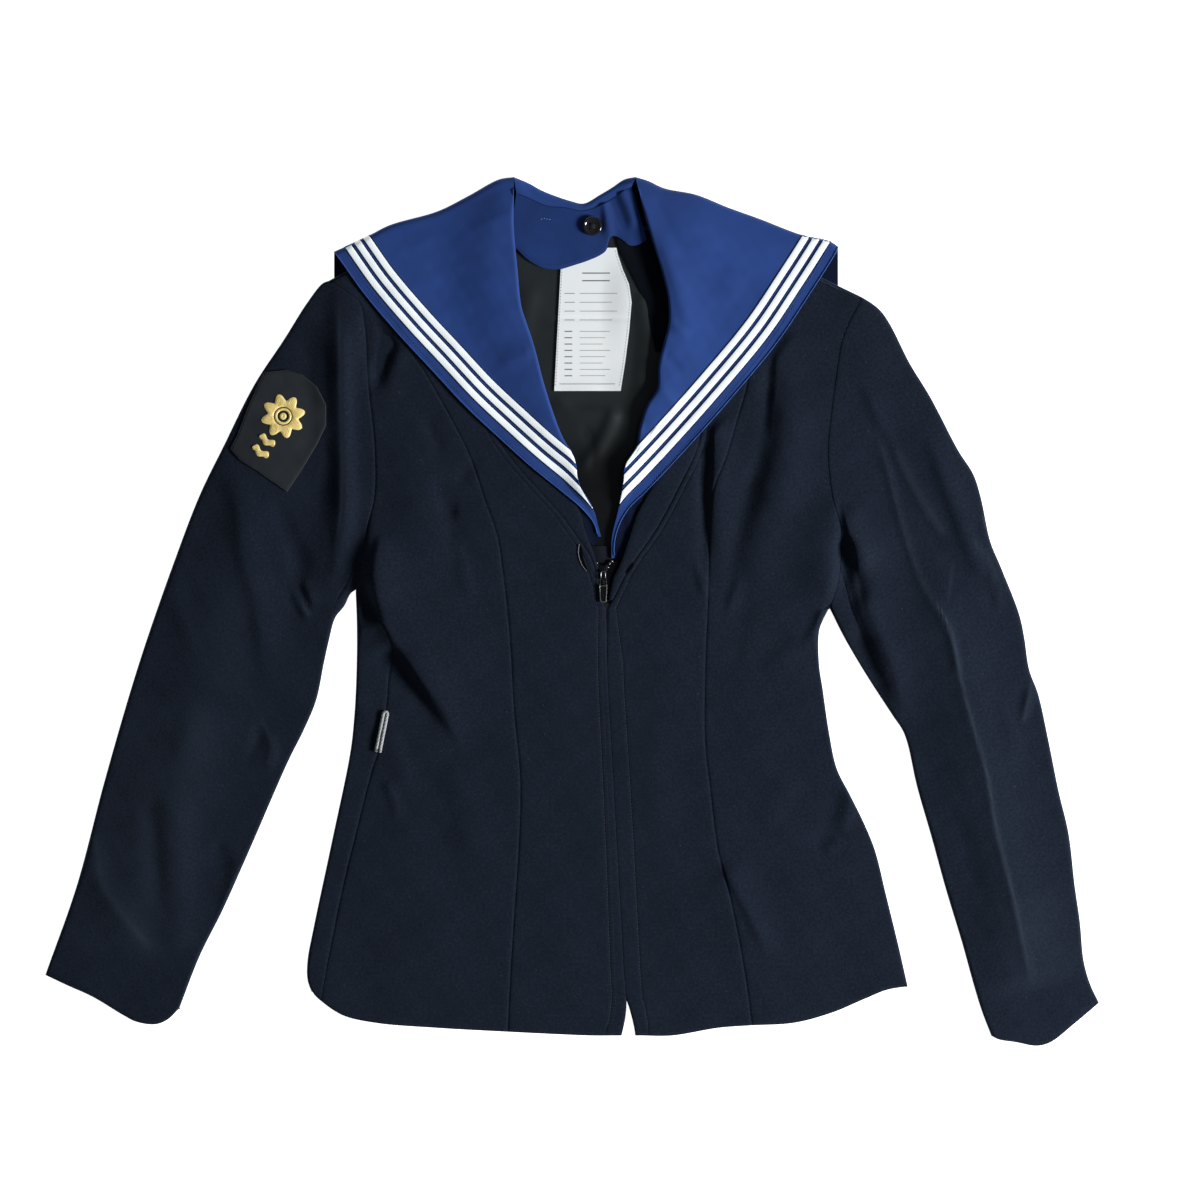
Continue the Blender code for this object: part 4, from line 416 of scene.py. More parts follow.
edge_tree = KDTree(sum(len(run) for run in CLOSED_EDGES))
for number, spot in enumerate(np.concatenate(CLOSED_EDGES)):
    edge_tree.insert((spot[0], spot[1], 0), number)
edge_tree.balance()


# ================================================================ heights
def flap_lift(x, y):
    across = ramp(-222, -204, x) * (1 - ramp(226, 246, x))
    sleeve = np.maximum(ramp(-158, -172, x), ramp(200, 208, x))
    low, high = 72 - 30 * sleeve, 95 - 20 * sleeve
    return UNDER_FLAP * across * np.clip((y - low) / (high - low), 0, 1)


def fall_cover(x, y):
    edge = np.maximum(np.where(x < 21, LINES["fall_r_outer"].y_at(x), -999),
                      np.where(x > 33, LINES["fall_l_outer"].y_at(x), -999))
    edge = np.where((x < -188) | (x > 210), -999, edge)
    return np.where(edge < -900, 1.0, ramp(1, 16, edge - y))


@functools.lru_cache(maxsize=None)
def fold_path(points):
    return Line(points, 6).points


def in_reach(path, reach, x, y):
    low, high = path.min(0) - reach, path.max(0) + reach
    return (low[0] < x) & (x < high[0]) & (low[1] < y) & (y < high[1])


def add_folds(rows, x, y):
    total = np.zeros_like(x)
    for points, height, left, right, fade_in, fade_out in rows:
        path = fold_path(points)
        mask = in_reach(path, 2.6 * max(left, right), x, y)
        if not mask.any():
            continue
        gap, side, share = near(path, x[mask], y[mask])
        width = np.where(side > 0, left, right)
        fade = ramp(0, fade_in, share) * (1 - ramp(1 - fade_out, 1, share))
        total[mask] += height * fade * np.exp(-(gap / width) ** 2)
    return total


# how much the wool is painted lighter at each point: partly wear, partly painted light
def wear_and_painted_light_at(x, y):
    total = np.zeros_like(x)
    for points, strength, width in WEAR_AND_PAINTED_LIGHT:
        path = fold_path(points)
        mask = in_reach(path, 3 * width, x, y)
        if mask.any():
            gap, _, share = near(path, x[mask], y[mask])
            fade = ramp(0, 0.12, share) * (1 - ramp(0.9, 1, share))
            total[mask] += strength * fade * np.exp(-(gap / width) ** 2)
    return np.clip(total, 0, 1)


RIPPLES = (           # direction, length of the wave, height, phase
    (0.3, 47, 0.16, 0.4), (1.25, 61, 0.14, 2.1), (2.2, 38, 0.12, 4.4),
    (2.8, 83, 0.20, 1.0), (0.9, 26, 0.10, 3.3), (1.9, 19, 0.07, 5.2),
    (0.5, 13, 0.035, 1.7), (2.5, 15, 0.035, 0.6))
WAVE = 6.283          # one whole wave


def ripple(x, y):
    """Slight unevenness of cloth that has been worn and pressed."""
    total = 0
    for angle, length, size, phase in RIPPLES:
        along = x * math.cos(angle) + y * math.sin(angle)
        across = y * math.cos(angle) - x * math.sin(angle)
        total = total + size * np.sin(along / length * WAVE + phase
                                      + 0.9 * np.sin(across / (length * 1.7) + phase))
    return total


def plain_top(x, y):
    body = ramp(-262, -150, x) * (1 - ramp(204, 300, x))
    return SLEEVE_TOP + (table(TORSO_TOP, y) - SLEEVE_TOP) * body


def fold_height(x, y):
    cover = fall_cover(x, y)
    return (add_folds(FOLDS, x, y) + add_folds(CREASES, x, y) + ripple(x, y)) * cover


EXACT_BELOW = 14      # gap under which the distance to an edge is worked out exactly


def edge_gap(x, y):
    """Distance to the nearest rolled edge, exact where it is small."""
    rough = np.array([edge_tree.find((a, b, 0))[2] for a, b in zip(x.ravel(), y.ravel())])
    rough = rough.reshape(x.shape)
    close = rough < EXACT_BELOW
    if close.any():
        exact = np.full(int(close.sum()), FAR)
        for run in CLOSED_EDGES:
            exact = np.minimum(exact, near(run, x[close], y[close])[0])
        rough[close] = exact
    return rough


LEAST = 2 * WOOL + 0.4          # the garment is nowhere thinner than its two walls


def skin(x, y, face, gap=None, dip=0.0):
    """Height of the garment's outer face; face is +1 above, -1 below, as arrays."""
    low = flap_lift(x, y)
    high = np.maximum(plain_top(x, y) + fold_height(x, y), low + LEAST)
    half = (high - low) / 2
    if gap is None:
        gap = edge_gap(x, y)
    bend = np.sqrt(np.maximum(0.0, 1 - (1 - np.minimum(gap / half, 1)) ** 2))
    return (high + low) / 2 + face * half * bend - dip * (face > 0)


def top_at(x, y, dip=0.0):
    """Height of the upper face away from the rolled edges."""
    return skin(x, y, np.ones_like(x), np.full_like(x, FAR), dip)


def roll_radius(x, y):
    high = np.maximum(plain_top(x, y) + fold_height(x, y), LEAST)
    return (high - flap_lift(x, y)) / 2


# ================================================================ meshes
MADE = {}


def grid_tris(rows, columns, start=0):
    """Two triangles for each cell of a grid of points."""
    order = np.arange(rows * columns).reshape(rows, columns) + start
    a, b, c, d = (order[:-1, :-1].ravel(), order[1:, :-1].ravel(), order[1:, 1:].ravel(),
                  order[:-1, 1:].ravel())
    return np.concatenate([np.stack([a, b, c], 1), np.stack([a, c, d], 1)])


def shell(name, grid, wall, look, slot, turn=0.0, outward=None, replaces=None):
    """A thin closed shell through a grid of outer points (rows, columns, 3)."""
    return shell_of(name, grid.reshape(-1, 3), grid_tris(*grid.shape[:2]), wall, look, slot,
                    turn, outward, replaces)


def shell_of(name, points, tris, wall, look, slot, turn=0.0, outward=None, replaces=None):
    _, first, index = np.unique(np.round(points, 3), axis=0, return_index=True,
                                return_inverse=True)
    points = points[first]
    tris = index.ravel()[tris]
    keep = ((tris[:, 0] != tris[:, 1]) & (tris[:, 1] != tris[:, 2])
            & (tris[:, 0] != tris[:, 2]))
    tris = tris[keep]
    p = points[tris]
    cross = np.cross(p[:, 1] - p[:, 0], p[:, 2] - p[:, 0])
    if outward is not None:
        faces_out = outward.ravel()[first][tris].mean(1)
        if (cross[:, 2] * faces_out).sum() < 0:
            tris = tris[:, ::-1]
            cross = -cross
    normal = np.zeros_like(points)
    for k in range(3):
        np.add.at(normal, tris[:, k], cross)
    normal /= np.maximum(np.linalg.norm(normal, axis=1, keepdims=True), 1e-9)
    count = len(points)
    inner = points - normal * wall
    edges = np.concatenate([tris[:, [0, 1]], tris[:, [1, 2]], tris[:, [2, 0]]])
    codes = edges[:, 0] * count + edges[:, 1]
    back = edges[:, 1] * count + edges[:, 0]
    rim = edges[~np.isin(codes, back)]
    i, j = rim[:, 0], rim[:, 1]
    all_tris = np.concatenate([
        tris, tris[:, ::-1] + count, np.stack([j, i, i + count], 1),
        np.stack([j, i + count, j + count], 1)])
    return mesh_of(name, np.concatenate([points, inner]), all_tris, look, slot, turn,
                   replaces)


def mesh_of(name, points, tris, look, slot, turn=0.0, replaces=None, body="garment",
            sharp=0.8):
    points = points.copy()
    points[:, 2] = np.maximum(points[:, 2], 0)
    mesh = bpy.data.meshes.new(name)
    mesh.vertices.add(len(points))
    mesh.vertices.foreach_set("co", (points * MM).ravel())
    mesh.loops.add(3 * len(tris))
    mesh.loops.foreach_set("vertex_index", tris.astype(np.int32).ravel())
    mesh.polygons.add(len(tris))
    mesh.polygons.foreach_set("loop_start", np.arange(0, 3 * len(tris), 3, dtype=np.int32))
    uv = mesh.uv_layers.new(name="cloth")
    c, s = math.cos(turn), math.sin(turn)
    flat = np.stack([points[:, 0] * c + points[:, 1] * s,
                     points[:, 1] * c - points[:, 0] * s], 1) / 100
    uv.data.foreach_set("uv", flat[tris.ravel()].ravel())
    if look in (NAVY, SATIN):
        # a point attribute that mixes a second colour in: wear and painted highlight on the
        # wool, painted shade on the lining
        wear_and_painted_light_mix = mesh.attributes.new("wear_and_painted_light_mix", "FLOAT", "POINT")
        if look == NAVY:
            amount = wear_and_painted_light_at(points[:, 0], points[:, 1]) * (points[:, 2] > 2.4)
        else:
            # painted shade: the lining is darkened deep in the neck
            amount = 0.92 * ramp(168, 100, points[:, 1])     # deep in the neck
        wear_and_painted_light_mix.data.foreach_set("value", amount.astype(float))
    mesh.update(calc_edges=True)
    mesh.validate()
    smooth(mesh, sharp)
    return place(name, mesh, look, slot, replaces, body)


def smooth(mesh, angle):
    mesh.polygons.foreach_set("use_smooth", np.ones(len(mesh.polygons), dtype=bool))
    mesh.set_sharp_from_angle(angle=angle)


def put(name, data):
    made = bpy.data.objects.new(name, data)
    bpy.context.scene.collection.objects.link(made)
    return made


def place(name, mesh, look, slot, replaces=None, body="garment"):
    piece = put(name, mesh)
    mesh.materials.append(look)
    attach(piece, body)
    if replaces:
        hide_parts(replaces)
    MADE[name] = piece
    return piece


# ================================================================ materials
def new_material(name, colour, roughness, metallic=0.0, **values):
    made = bpy.data.materials.new(name)
    made.use_nodes = True
    tree = made.node_tree
    shader = tree.nodes["Principled BSDF"]
    shader.inputs["Base Color"].default_value = (*colour, 1)
    shader.inputs["Roughness"].default_value = roughness
    shader.inputs["Metallic"].default_value = metallic
    for key, value in values.items():
        shader.inputs[key.replace("_", " ")].default_value = value
    return made, tree, shader


def node(tree, kind, links=(), **values):
    made = tree.nodes.new(kind)
    for key, value in values.items():
        if key in made.inputs:
            made.inputs[key].default_value = value
        elif hasattr(made, key.lower()):
            setattr(made, key.lower(), value)
        else:
            made.inputs[key.replace("_", " ")].default_value = value
    for source, target in links:
        tree.links.new(source, made.inputs[target])
    return made


def grey(source):
    """The output of a node that is a plain number."""
    return source.outputs.get("Fac") or source.outputs[0]


def maths(tree, operation, *values):
    """One sum, on the plain outputs of nodes and on numbers."""
    made = node(tree, "ShaderNodeMath", operation=operation)
    for number, value in enumerate(values):
        if isinstance(value, (int, float)):
            made.inputs[number].default_value = value
        else:
            tree.links.new(grey(value), made.inputs[number])
    return made


def mixed(tree, factor, first, second):
    """A mix of two colours; the first may be another mix."""
    made = node(tree, "ShaderNodeMix", data_type="RGBA")
    tree.links.new(grey(factor), made.inputs[0])
    if isinstance(first, (tuple, list)):
        made.inputs[6].default_value = (*first, 1)
    else:
        tree.links.new(first.outputs[2], made.inputs[6])
    made.inputs[7].default_value = (*second, 1)
    return made


def cloth(name, colour, dark, roughness, twill=0.55, twill_depth=0.12, fuzz=0.25,
          blotch=0.25, blotch_size=1.4, specks=0.0, angle=45, wear_and_painted_light_mix=None, nap=0.0,
          **values):
    """Woven cloth: diagonal ribs, fibres, uneven dye and light lint."""
    made, tree, shader = new_material(name, colour, roughness, **values)
    link = tree.links.new
    uv = node(tree, "ShaderNodeUVMap", uv_map="cloth")
    turned = node(tree, "ShaderNodeMapping", [(uv.outputs[0], "Vector")],
                  Rotation=(0, 0, math.radians(angle)))
    ribs = node(tree, "ShaderNodeTexWave", [(turned.outputs[0], "Vector")],
                Scale=16 / twill, Distortion=0.6, Detail=2.0)
    ribs.bands_direction = "X"
    fibres = node(tree, "ShaderNodeTexNoise", [(uv.outputs[0], "Vector")], Scale=130.0,
                  Detail=6.0, Roughness=0.8)
    cloud = node(tree, "ShaderNodeTexNoise", [(uv.outputs[0], "Vector")],
                 Scale=blotch_size, Detail=5.0, Roughness=0.6)
    spread = node(tree, "ShaderNodeMapRange", [(cloud.outputs[0], "Value")], From_Min=0.35,
                  From_Max=0.7, To_Max=blotch)
    grain = maths(tree, "MULTIPLY", fibres, fuzz)
    total = maths(tree, "ADD", spread, grain)
    relief_of = ribs
    if nap:
        pile = node(tree, "ShaderNodeTexNoise", [(uv.outputs[0], "Vector")], Scale=42.0,
                    Detail=5.0, Roughness=0.72)
        tuft = maths(tree, "MULTIPLY_ADD", pile, nap, -nap / 2)
        total = relief_of = maths(tree, "ADD", total, tuft)
    mix = mixed(tree, total, dark, [min(1, 1.75 * c) for c in colour])
    if specks:
        lint = node(tree, "ShaderNodeTexVoronoi", [(uv.outputs[0], "Vector")], Scale=9.0)
        small = maths(tree, "LESS_THAN", lint, 0.035)
        scale = maths(tree, "MULTIPLY", small, specks)
        mix = mixed(tree, scale, mix, (0.25, 0.26, 0.28))
    # the second colour, mixed in by the point attribute: wear and painted highlight on the
    # wool, painted shade on the lining
    if wear_and_painted_light_mix:
        wear_and_light_node = node(tree, "ShaderNodeAttribute", attribute_name="wear_and_painted_light_mix")
        mix = mixed(tree, wear_and_light_node, mix, wear_and_painted_light_mix)
    link(mix.outputs[2], shader.inputs["Base Color"])
    height = maths(tree, "ADD", relief_of, fibres)
    bump = node(tree, "ShaderNodeBump", [(height.outputs[0], "Height")],
                Strength=0.5, Distance=twill_depth * MM)
    link(bump.outputs[0], shader.inputs["Normal"])
    return made


# the wool's lighter second colour marks pressed ridges and fold crests, partly real wear and
# partly painted highlight, and paints light on the lower sleeves
NAVY = cloth("navy_wool", (0.0070, 0.0112, 0.0215), (0.0040, 0.0068, 0.0130), 0.9,
             twill=0.6, twill_depth=0.22, fuzz=0.75, blotch=0.10,
             wear_and_painted_light_mix=(0.030, 0.042, 0.062), specks=0.16, nap=2.3, Sheen_Weight=0.10,
             Sheen_Roughness=0.5, Sheen_Tint=(0.55, 0.70, 1.0, 1),
             Specular_IOR_Level=0.12)
BLUE_CLOTH = cloth("collar_blue", (0.0145, 0.052, 0.222), (0.0110, 0.040, 0.180), 0.8,
                   twill=0.45, twill_depth=0.10, fuzz=0.2, blotch=0.35, blotch_size=1.1,
                   Sheen_Weight=0.10, Sheen_Roughness=0.5, Specular_IOR_Level=0.25)
# the yoke's blue is the collar's blue darkened: painted shade on the inner neck
YOKE_BLUE_PAINTED_SHADE = cloth("yoke_blue_painted_shade", (0.0095, 0.036, 0.155), (0.0072, 0.028, 0.125), 0.8,
                  twill=0.45, twill_depth=0.10, fuzz=0.2, blotch=0.4, blotch_size=2.4,
                  Sheen_Weight=0.08, Sheen_Roughness=0.5, Specular_IOR_Level=0.2)
# the collar's blue darkened: painted shade for the back flap and the collar's lower ends
COLLAR_BLUE_PAINTED_SHADE = cloth("collar_blue_painted_shade", (0.0020, 0.0058, 0.024), (0.0014, 0.0042, 0.018),
                      0.85, twill=0.45, Specular_IOR_Level=0.15)
# a darker blue for painted shade: outlines along the tapes' edges and the line of the yoke
# seam
SHADE_BLUE = cloth("tape_seat", (0.010, 0.022, 0.085), (0.008, 0.018, 0.07), 0.8,
                  twill=0.45, Specular_IOR_Level=0.15)
EDGE_BLUE = cloth("collar_edge", (0.030, 0.092, 0.32), (0.024, 0.075, 0.27), 0.7,
                  twill=0.4, Specular_IOR_Level=0.3)
GUARD_CLOTH = cloth("guard_cloth", (0.0095, 0.0110, 0.0180), (0.007, 0.008, 0.0135), 0.9,
                    twill=0.6, fuzz=0.5, Specular_IOR_Level=0.1)
# near-black: painted shade inside the openings
GAP_PAINTED_SHADE = cloth("open_edge_painted_shade", (0.0012, 0.0018, 0.0032), (0.001, 0.0015, 0.0028), 0.95,
                 Specular_IOR_Level=0.05)
FELT_EDGE = cloth("felt_edge", (0.060, 0.066, 0.072), (0.03, 0.034, 0.038), 0.95,
                  Specular_IOR_Level=0.1)
# near-black navy: painted shade where the fall overhangs the neck facing
FACING_WOOL_PAINTED_SHADE = cloth("facing_wool_painted_shade", (0.0030, 0.0045, 0.0080), (0.0018, 0.0028, 0.005), 0.95,
                    twill=0.6, twill_depth=0.25, fuzz=0.8, Specular_IOR_Level=0.08)
# the tapes glow a little: painted light that keeps them white where the lamp leaves them grey
GLOWING_WHITE_TAPE = cloth("white_tape", (0.90, 0.95, 0.96), (0.84, 0.89, 0.90), 0.8, twill=0.7,
                   twill_depth=0.04, fuzz=0.1, blotch=0.1, angle=50,
                   Specular_IOR_Level=0.2, Emission_Color=(0.86, 0.95, 1.0, 1),
                   Emission_Strength=0.27)     # brightened white
# the lining's near-black second colour is painted shade deep in the neck
SATIN = cloth("dark_lining", (0.0230, 0.0290, 0.0320), (0.015, 0.0190, 0.0210), 0.40,
              twill=0.3, twill_depth=0.05, fuzz=0.1, angle=8,
              wear_and_painted_light_mix=(0.0016, 0.0021, 0.0030), Specular_IOR_Level=0.25)
# the label glows a little: painted light that keeps it white
GLOWING_LABEL_CLOTH = cloth("label_cloth", (0.90, 0.94, 0.94), (0.86, 0.90, 0.91), 0.6, twill=0.35,
                    twill_depth=0.05, fuzz=0.2, blotch=0.2, angle=0,
                    Emission_Color=(0.90, 0.97, 1.0, 1), Emission_Strength=0.10)
FELT = cloth("badge_felt", (0.0165, 0.0200, 0.0235), (0.012, 0.0150, 0.0180), 0.95,
             twill=0.5, twill_depth=0.2, fuzz=1.4, Specular_IOR_Level=0.15)
ZIP_BLACK = cloth("zip_tape", (0.0020, 0.0024, 0.0034), (0.0014, 0.0018, 0.0026), 0.9,
                  twill=0.8, twill_depth=0.2, Specular_IOR_Level=0.06)
# the gold glows a little: painted light where the lamp leaves the badge dark
GLOWING_GOLD = cloth("gold_thread", (1.0, 0.76, 0.27), (0.85, 0.55, 0.13), 0.38, twill=0.5,
             twill_depth=0.2, fuzz=0.5, Sheen_Weight=0.3, Specular_IOR_Level=0.7,
             Emission_Color=(1.0, 0.72, 0.22, 1), Emission_Strength=0.10)
CORD = cloth("pale_cord", (0.42, 0.43, 0.44), (0.25, 0.26, 0.27), 0.8, twill=0.9,
             twill_depth=0.25)


def plain(name, colour, roughness, metallic=0.0, **values):
    """Thread, metal or moulding: its tone and gloss vary from spot to spot."""
    made, tree, shader = new_material(name, colour, roughness, metallic, **values)
    places = node(tree, "ShaderNodeTexCoord")
    spots = node(tree, "ShaderNodeTexNoise", [(places.outputs["Object"], "Vector")],
                 Scale=900.0, Detail=3.0)
    gloss = node(tree, "ShaderNodeMapRange", [(spots.outputs[0], "Value")],
                 To_Min=roughness * 0.7, To_Max=min(roughness * 1.5, 1))
    tree.links.new(gloss.outputs[0], shader.inputs["Roughness"])
    tone = mixed(tree, spots, [c * 0.75 for c in colour], [c * 1.2 for c in colour])
    tree.links.new(tone.outputs[2], shader.inputs["Base Color"])
    return made


BLUE_THREAD = plain("blue_thread", (0.020, 0.065, 0.24), 0.6)
CREAM_THREAD = plain("cream_thread", (0.15, 0.145, 0.12), 0.7)
RULE_GREY = plain("label_rule", (0.16, 0.17, 0.18), 0.8)
THREAD = plain("navy_thread", (0.012, 0.016, 0.028), 0.6)
PALE_THREAD = plain("pale_thread", (0.30, 0.42, 0.66), 0.6)
LABEL_THREAD = plain("label_thread", (0.50, 0.54, 0.56), 0.7)
STEEL = plain("dark_metal", (0.035, 0.035, 0.038), 0.34, 1.0)
BRIGHT = plain("bright_metal", (0.33, 0.33, 0.34), 0.30, 1.0)
NYLON = plain("zip_teeth", (0.0035, 0.0035, 0.0045), 0.5)
BUTTON_BLACK = plain("black_button", (0.010, 0.010, 0.012), 0.12, Coat_Weight=0.4)


# ================================================================ body
def x_line(*names):
    """x at a height, read from lines that follow each other downwards."""
    lines = [LINES[name] for name in names]

    def read(y):
        y = np.asarray(y, float)
        x = lines[-1].x_at(y)
        for line in lines[-2::-1]:
            x = np.where(y >= line.points[-1][1], line.x_at(y), x)
        return x
    return read


NEAR_SEAM = (0.0, 0.45, 1.1, 2.2)


def column_plan(widths, step):
    """Columns between lines: (which span, share of it, mm from its start)."""
    plan = []
    for k, width in enumerate(widths):
        for off in NEAR_SEAM:
            plan.append((k, 0.0, off))
        count = max(2, int(round(width / step)))
        plan += [(k, i / count, None) for i in range(1, count)]
        for off in NEAR_SEAM[:0:-1]:
            plan.append((k, 1.0, -off))
    plan.append((len(widths) - 1, 1.0, 0.0))
    return plan


def place_columns(plan, knots, y):
    """x of each column at the heights y (one height for each column)."""
    out = np.empty_like(y)
    for i, (k, share, off) in enumerate(plan):
        a, b = knots[k](y[:, i]), knots[k + 1](y[:, i])
        room = np.maximum(b - a, 0.0)
        edge = np.minimum(NEAR_SEAM[-1], 0.2 * room)
        if off is None:
            out[:, i] = a + edge + (room - 2 * edge) * share
        elif share == 0:
            out[:, i] = a + np.minimum(off, 0.2 * room * off / NEAR_SEAM[-1])
        else:
            out[:, i] = b - np.minimum(-off, 0.2 * room * -off / NEAR_SEAM[-1])
    return out


ROW_LENGTH = 620      # about the length of a panel
NEAR_TOP = (0, 0.25, 0.7, 1.4, 2.3, 3.4)


def row_plan(length, step):
    rows = [(0.0, -off) for off in NEAR_TOP]
    count = int(length / step)
    rows += [(i / count, 0.0) for i in range(1, count)]
    rows += [(1.0, off) for off in NEAR_SEAM[::-1]]
    return np.array(rows)


def body_grid(knots, widths, top, bottom, step_x, step_y):
    """Plan points of a panel whose rows follow its top and bottom lines."""
    plan = column_plan(widths, step_x)
    rows = row_plan(ROW_LENGTH, step_y)
    y = np.full((len(rows), len(plan)), FIRST_LEVEL)
    for _ in range(SETTLE):
        x = place_columns(plan, knots, y)
        high, low = top(x), bottom(x)
        y = high + (low - high) * rows[:, :1] + rows[:, 1:]
    return place_columns(plan, knots, y), y


def groove(off, depth=0.55, width=0.9):
    return depth * np.exp(-(off / width) ** 2)


def seam_dip(x, y, lines, *size):
    total = np.zeros_like(x)
    for line in lines:
        total = total + groove(x - line(y), *size)
    return total


STITCH_R = ((26, 5.3), (-50, 8.5), (-204, 10.0), (-300, 12.0), (-332, 13.5))
STITCH_L = ((12, 4.9), (-40, 13.0), (-180, 13.7), (-300, 13.3), (-332, 10.5))


def hem_dip(above):
    """A hem turns in, so its edge is rounded."""
    return groove(above, 0.9, 1.6)


shoulder_r = LINES["shoulder_r"].y_at
shoulder_l = LINES["shoulder_l"].y_at
hem_y = LINES["hem"].y_at
side_left_r = x_line("arm_r", "side_seam_r")
princess_r = x_line("princess_r")
princess_l = x_line("princess_l")
neck_to_zip_r = x_line("neck_r", "zip_r")
neck_to_zip_l = x_line("neck_l", "zip_l")
STEP = 2.4


def centre_r(y):
    """The fronts nearly meet over the zip, below its pull."""
    return neck_to_zip_r(y) + 0.5 * ramp(10, 2, y)


def centre_l(y):
    return neck_to_zip_l(y) - 1.0 * ramp(10, 2, y)


def stitch_r(y):
    return centre_r(y) - table(STITCH_R, y)


def stitch_l(y):
    return centre_l(y) + table(STITCH_L, y)


def front_panel(name, knots, widths, top, seams, stitches=()):
    x, y = body_grid(knots, widths, top, hem_y, STEP, STEP)
    dip = seam_dip(x, y, seams) + seam_dip(x, y, stitches, 0.35, 0.7)
    dip = dip + hem_dip(y - hem_y(x))
    z = skin(x, y, np.ones_like(x), dip=dip)
    shell(name + "_cloth", np.stack([x, y, z], -1), WOOL, NAVY, "navy_wool",
          outward=np.ones_like(x), replaces=name)


def side_frame(direction):
    """Unit vectors across and up for boxes that lie along a direction."""
    along = direction / np.maximum(np.linalg.norm(direction, axis=1, keepdims=True), 1e-9)
    across = np.cross(np.array([0, 0, 1.0]), along)
    across /= np.maximum(np.linalg.norm(across, axis=1, keepdims=True), 1e-9)
    return along, across, np.cross(along, across)


LENS = ((-1, 0, 0), (-0.4, 1, 0), (-0.4, 0, 1), (-0.4, -1, 0), (0.4, 1, 0), (0.4, 0, 1),
        (0.4, -1, 0), (1, 0, 0))
LENS_FACES = ((0, 2, 1), (0, 3, 2), (1, 2, 5), (1, 5, 4), (2, 3, 6), (2, 6, 5), (4, 5, 7),
              (5, 6, 7), (0, 1, 3), (1, 4, 3), (3, 4, 6), (4, 7, 6))


def grains(name, centre, ahead, length, width, rise, look, slot):
    """Thread grains at the given centres, along the given directions."""
    along, across, up = side_frame(ahead)
    grain = np.array(LENS, float)
    points = (centre[:, None] + along[:, None] * grain[None, :, :1] * length / 2
              + across[:, None] * grain[None, :, 1:2] * width / 2
              + up[:, None] * grain[None, :, 2:] * width * rise)
    tris = np.array(LENS_FACES)[None] + len(LENS) * np.arange(len(centre))[:, None, None]
    return mesh_of(name, points.reshape(-1, 3), tris.reshape(-1, 3), look, slot)


def stitches(name, run, pitch, length, width, look, slot="navy_wool"):
    """Small thread grains laid along a run of points on the cloth."""
    steps = np.linalg.norm(np.diff(run, axis=0), axis=1)
    share = np.concatenate([[0], np.cumsum(steps)])
    at = np.arange(pitch / 2, share[-1] - pitch / 2, pitch)
    centre = np.stack([np.interp(at, share, run[:, k]) for k in range(3)], -1)
    ahead = np.stack([np.interp(at + 0.5, share, run[:, k]) for k in range(3)], -1)
    return grains(name, centre, ahead - centre, length, width, 0.6, look, slot)


def on_cloth(x, y, lift=0.0):
    return np.stack([x, y, top_at(x, y) + lift], -1)


front_panel("front_side_right", (side_left_r, princess_r), (120,), shoulder_r,
            (side_left_r, princess_r))
front_panel("front_centre_right", (princess_r, stitch_r, centre_r), (70, 9), shoulder_r,
            (princess_r, centre_r), (stitch_r,))
front_panel("front_centre_left", (centre_l, stitch_l, princess_l), (12, 66), shoulder_l,
            (princess_l, centre_l), (stitch_l,))


def wrap_columns(radius, reach):
    """Gaps from a rolled edge and faces, round the roll and on below it."""
    near_edge = (0.65, 0.35, 0.15, 0.04)
    steps = [(share * radius, 1) for share in near_edge + (0.0,)]
    steps += [(share * radius, -1) for share in near_edge[::-1] + (1.0,)]
    steps += [(radius + (reach - radius) * share, -1) for share in (0.25, 0.5, 0.75, 1.0)]
    return steps


LEVELS = np.linspace(-340, 320, 661)


def tabled(limit):
    """A costly limit line, worked out once for every millimetre of height."""
    values = limit(LEVELS)
    return lambda y: np.interp(y, LEVELS, values)


def build_left_side():
    @tabled
    def right_limit(y):
        x = LINES["side_l"].x_at(y)
        below = x - roll_radius(x - 4, y)
        return np.where(y >= ARMPIT_L[1], LINES["arm_l"].x_at(y), below)

    x, y = body_grid((princess_l, right_limit), (100,), shoulder_l, hem_y, STEP, STEP)
    dip = seam_dip(x, y, (princess_l,)) + hem_dip(y - hem_y(x))
    z = skin(x, y, np.ones_like(x), dip=dip)
    grid, face = np.stack([x, y, z], -1), np.ones_like(x)
    edge_y = y[:, -1]
    edge_x = LINES["side_l"].x_at(edge_y)
    radius = roll_radius(edge_x - 4, edge_y)
    below = edge_y < ARMPIT_L[1]
    reach = radius + (SEAM_WRAP - radius) * np.clip((ARMPIT_L[1] - edge_y) / 40, 0, 1)
    added = []
    for gap, way in wrap_columns(radius, reach):
        gx = np.where(below, edge_x - gap, x[:, -1])
        gz = skin(gx, edge_y, np.full_like(gx, way), gap)
        gz = np.where(below, gz, z[:, -1])
        added.append(np.stack([gx, edge_y, gz], -1))
        face = np.concatenate([face, np.full((len(gx), 1), float(way))], 1)
    grid = np.concatenate([grid, np.stack(added, 1)], 1)
    shell("front_side_left_cloth", grid, WOOL, NAVY, "navy_wool", outward=face,
          replaces="front_side_left")


build_left_side()


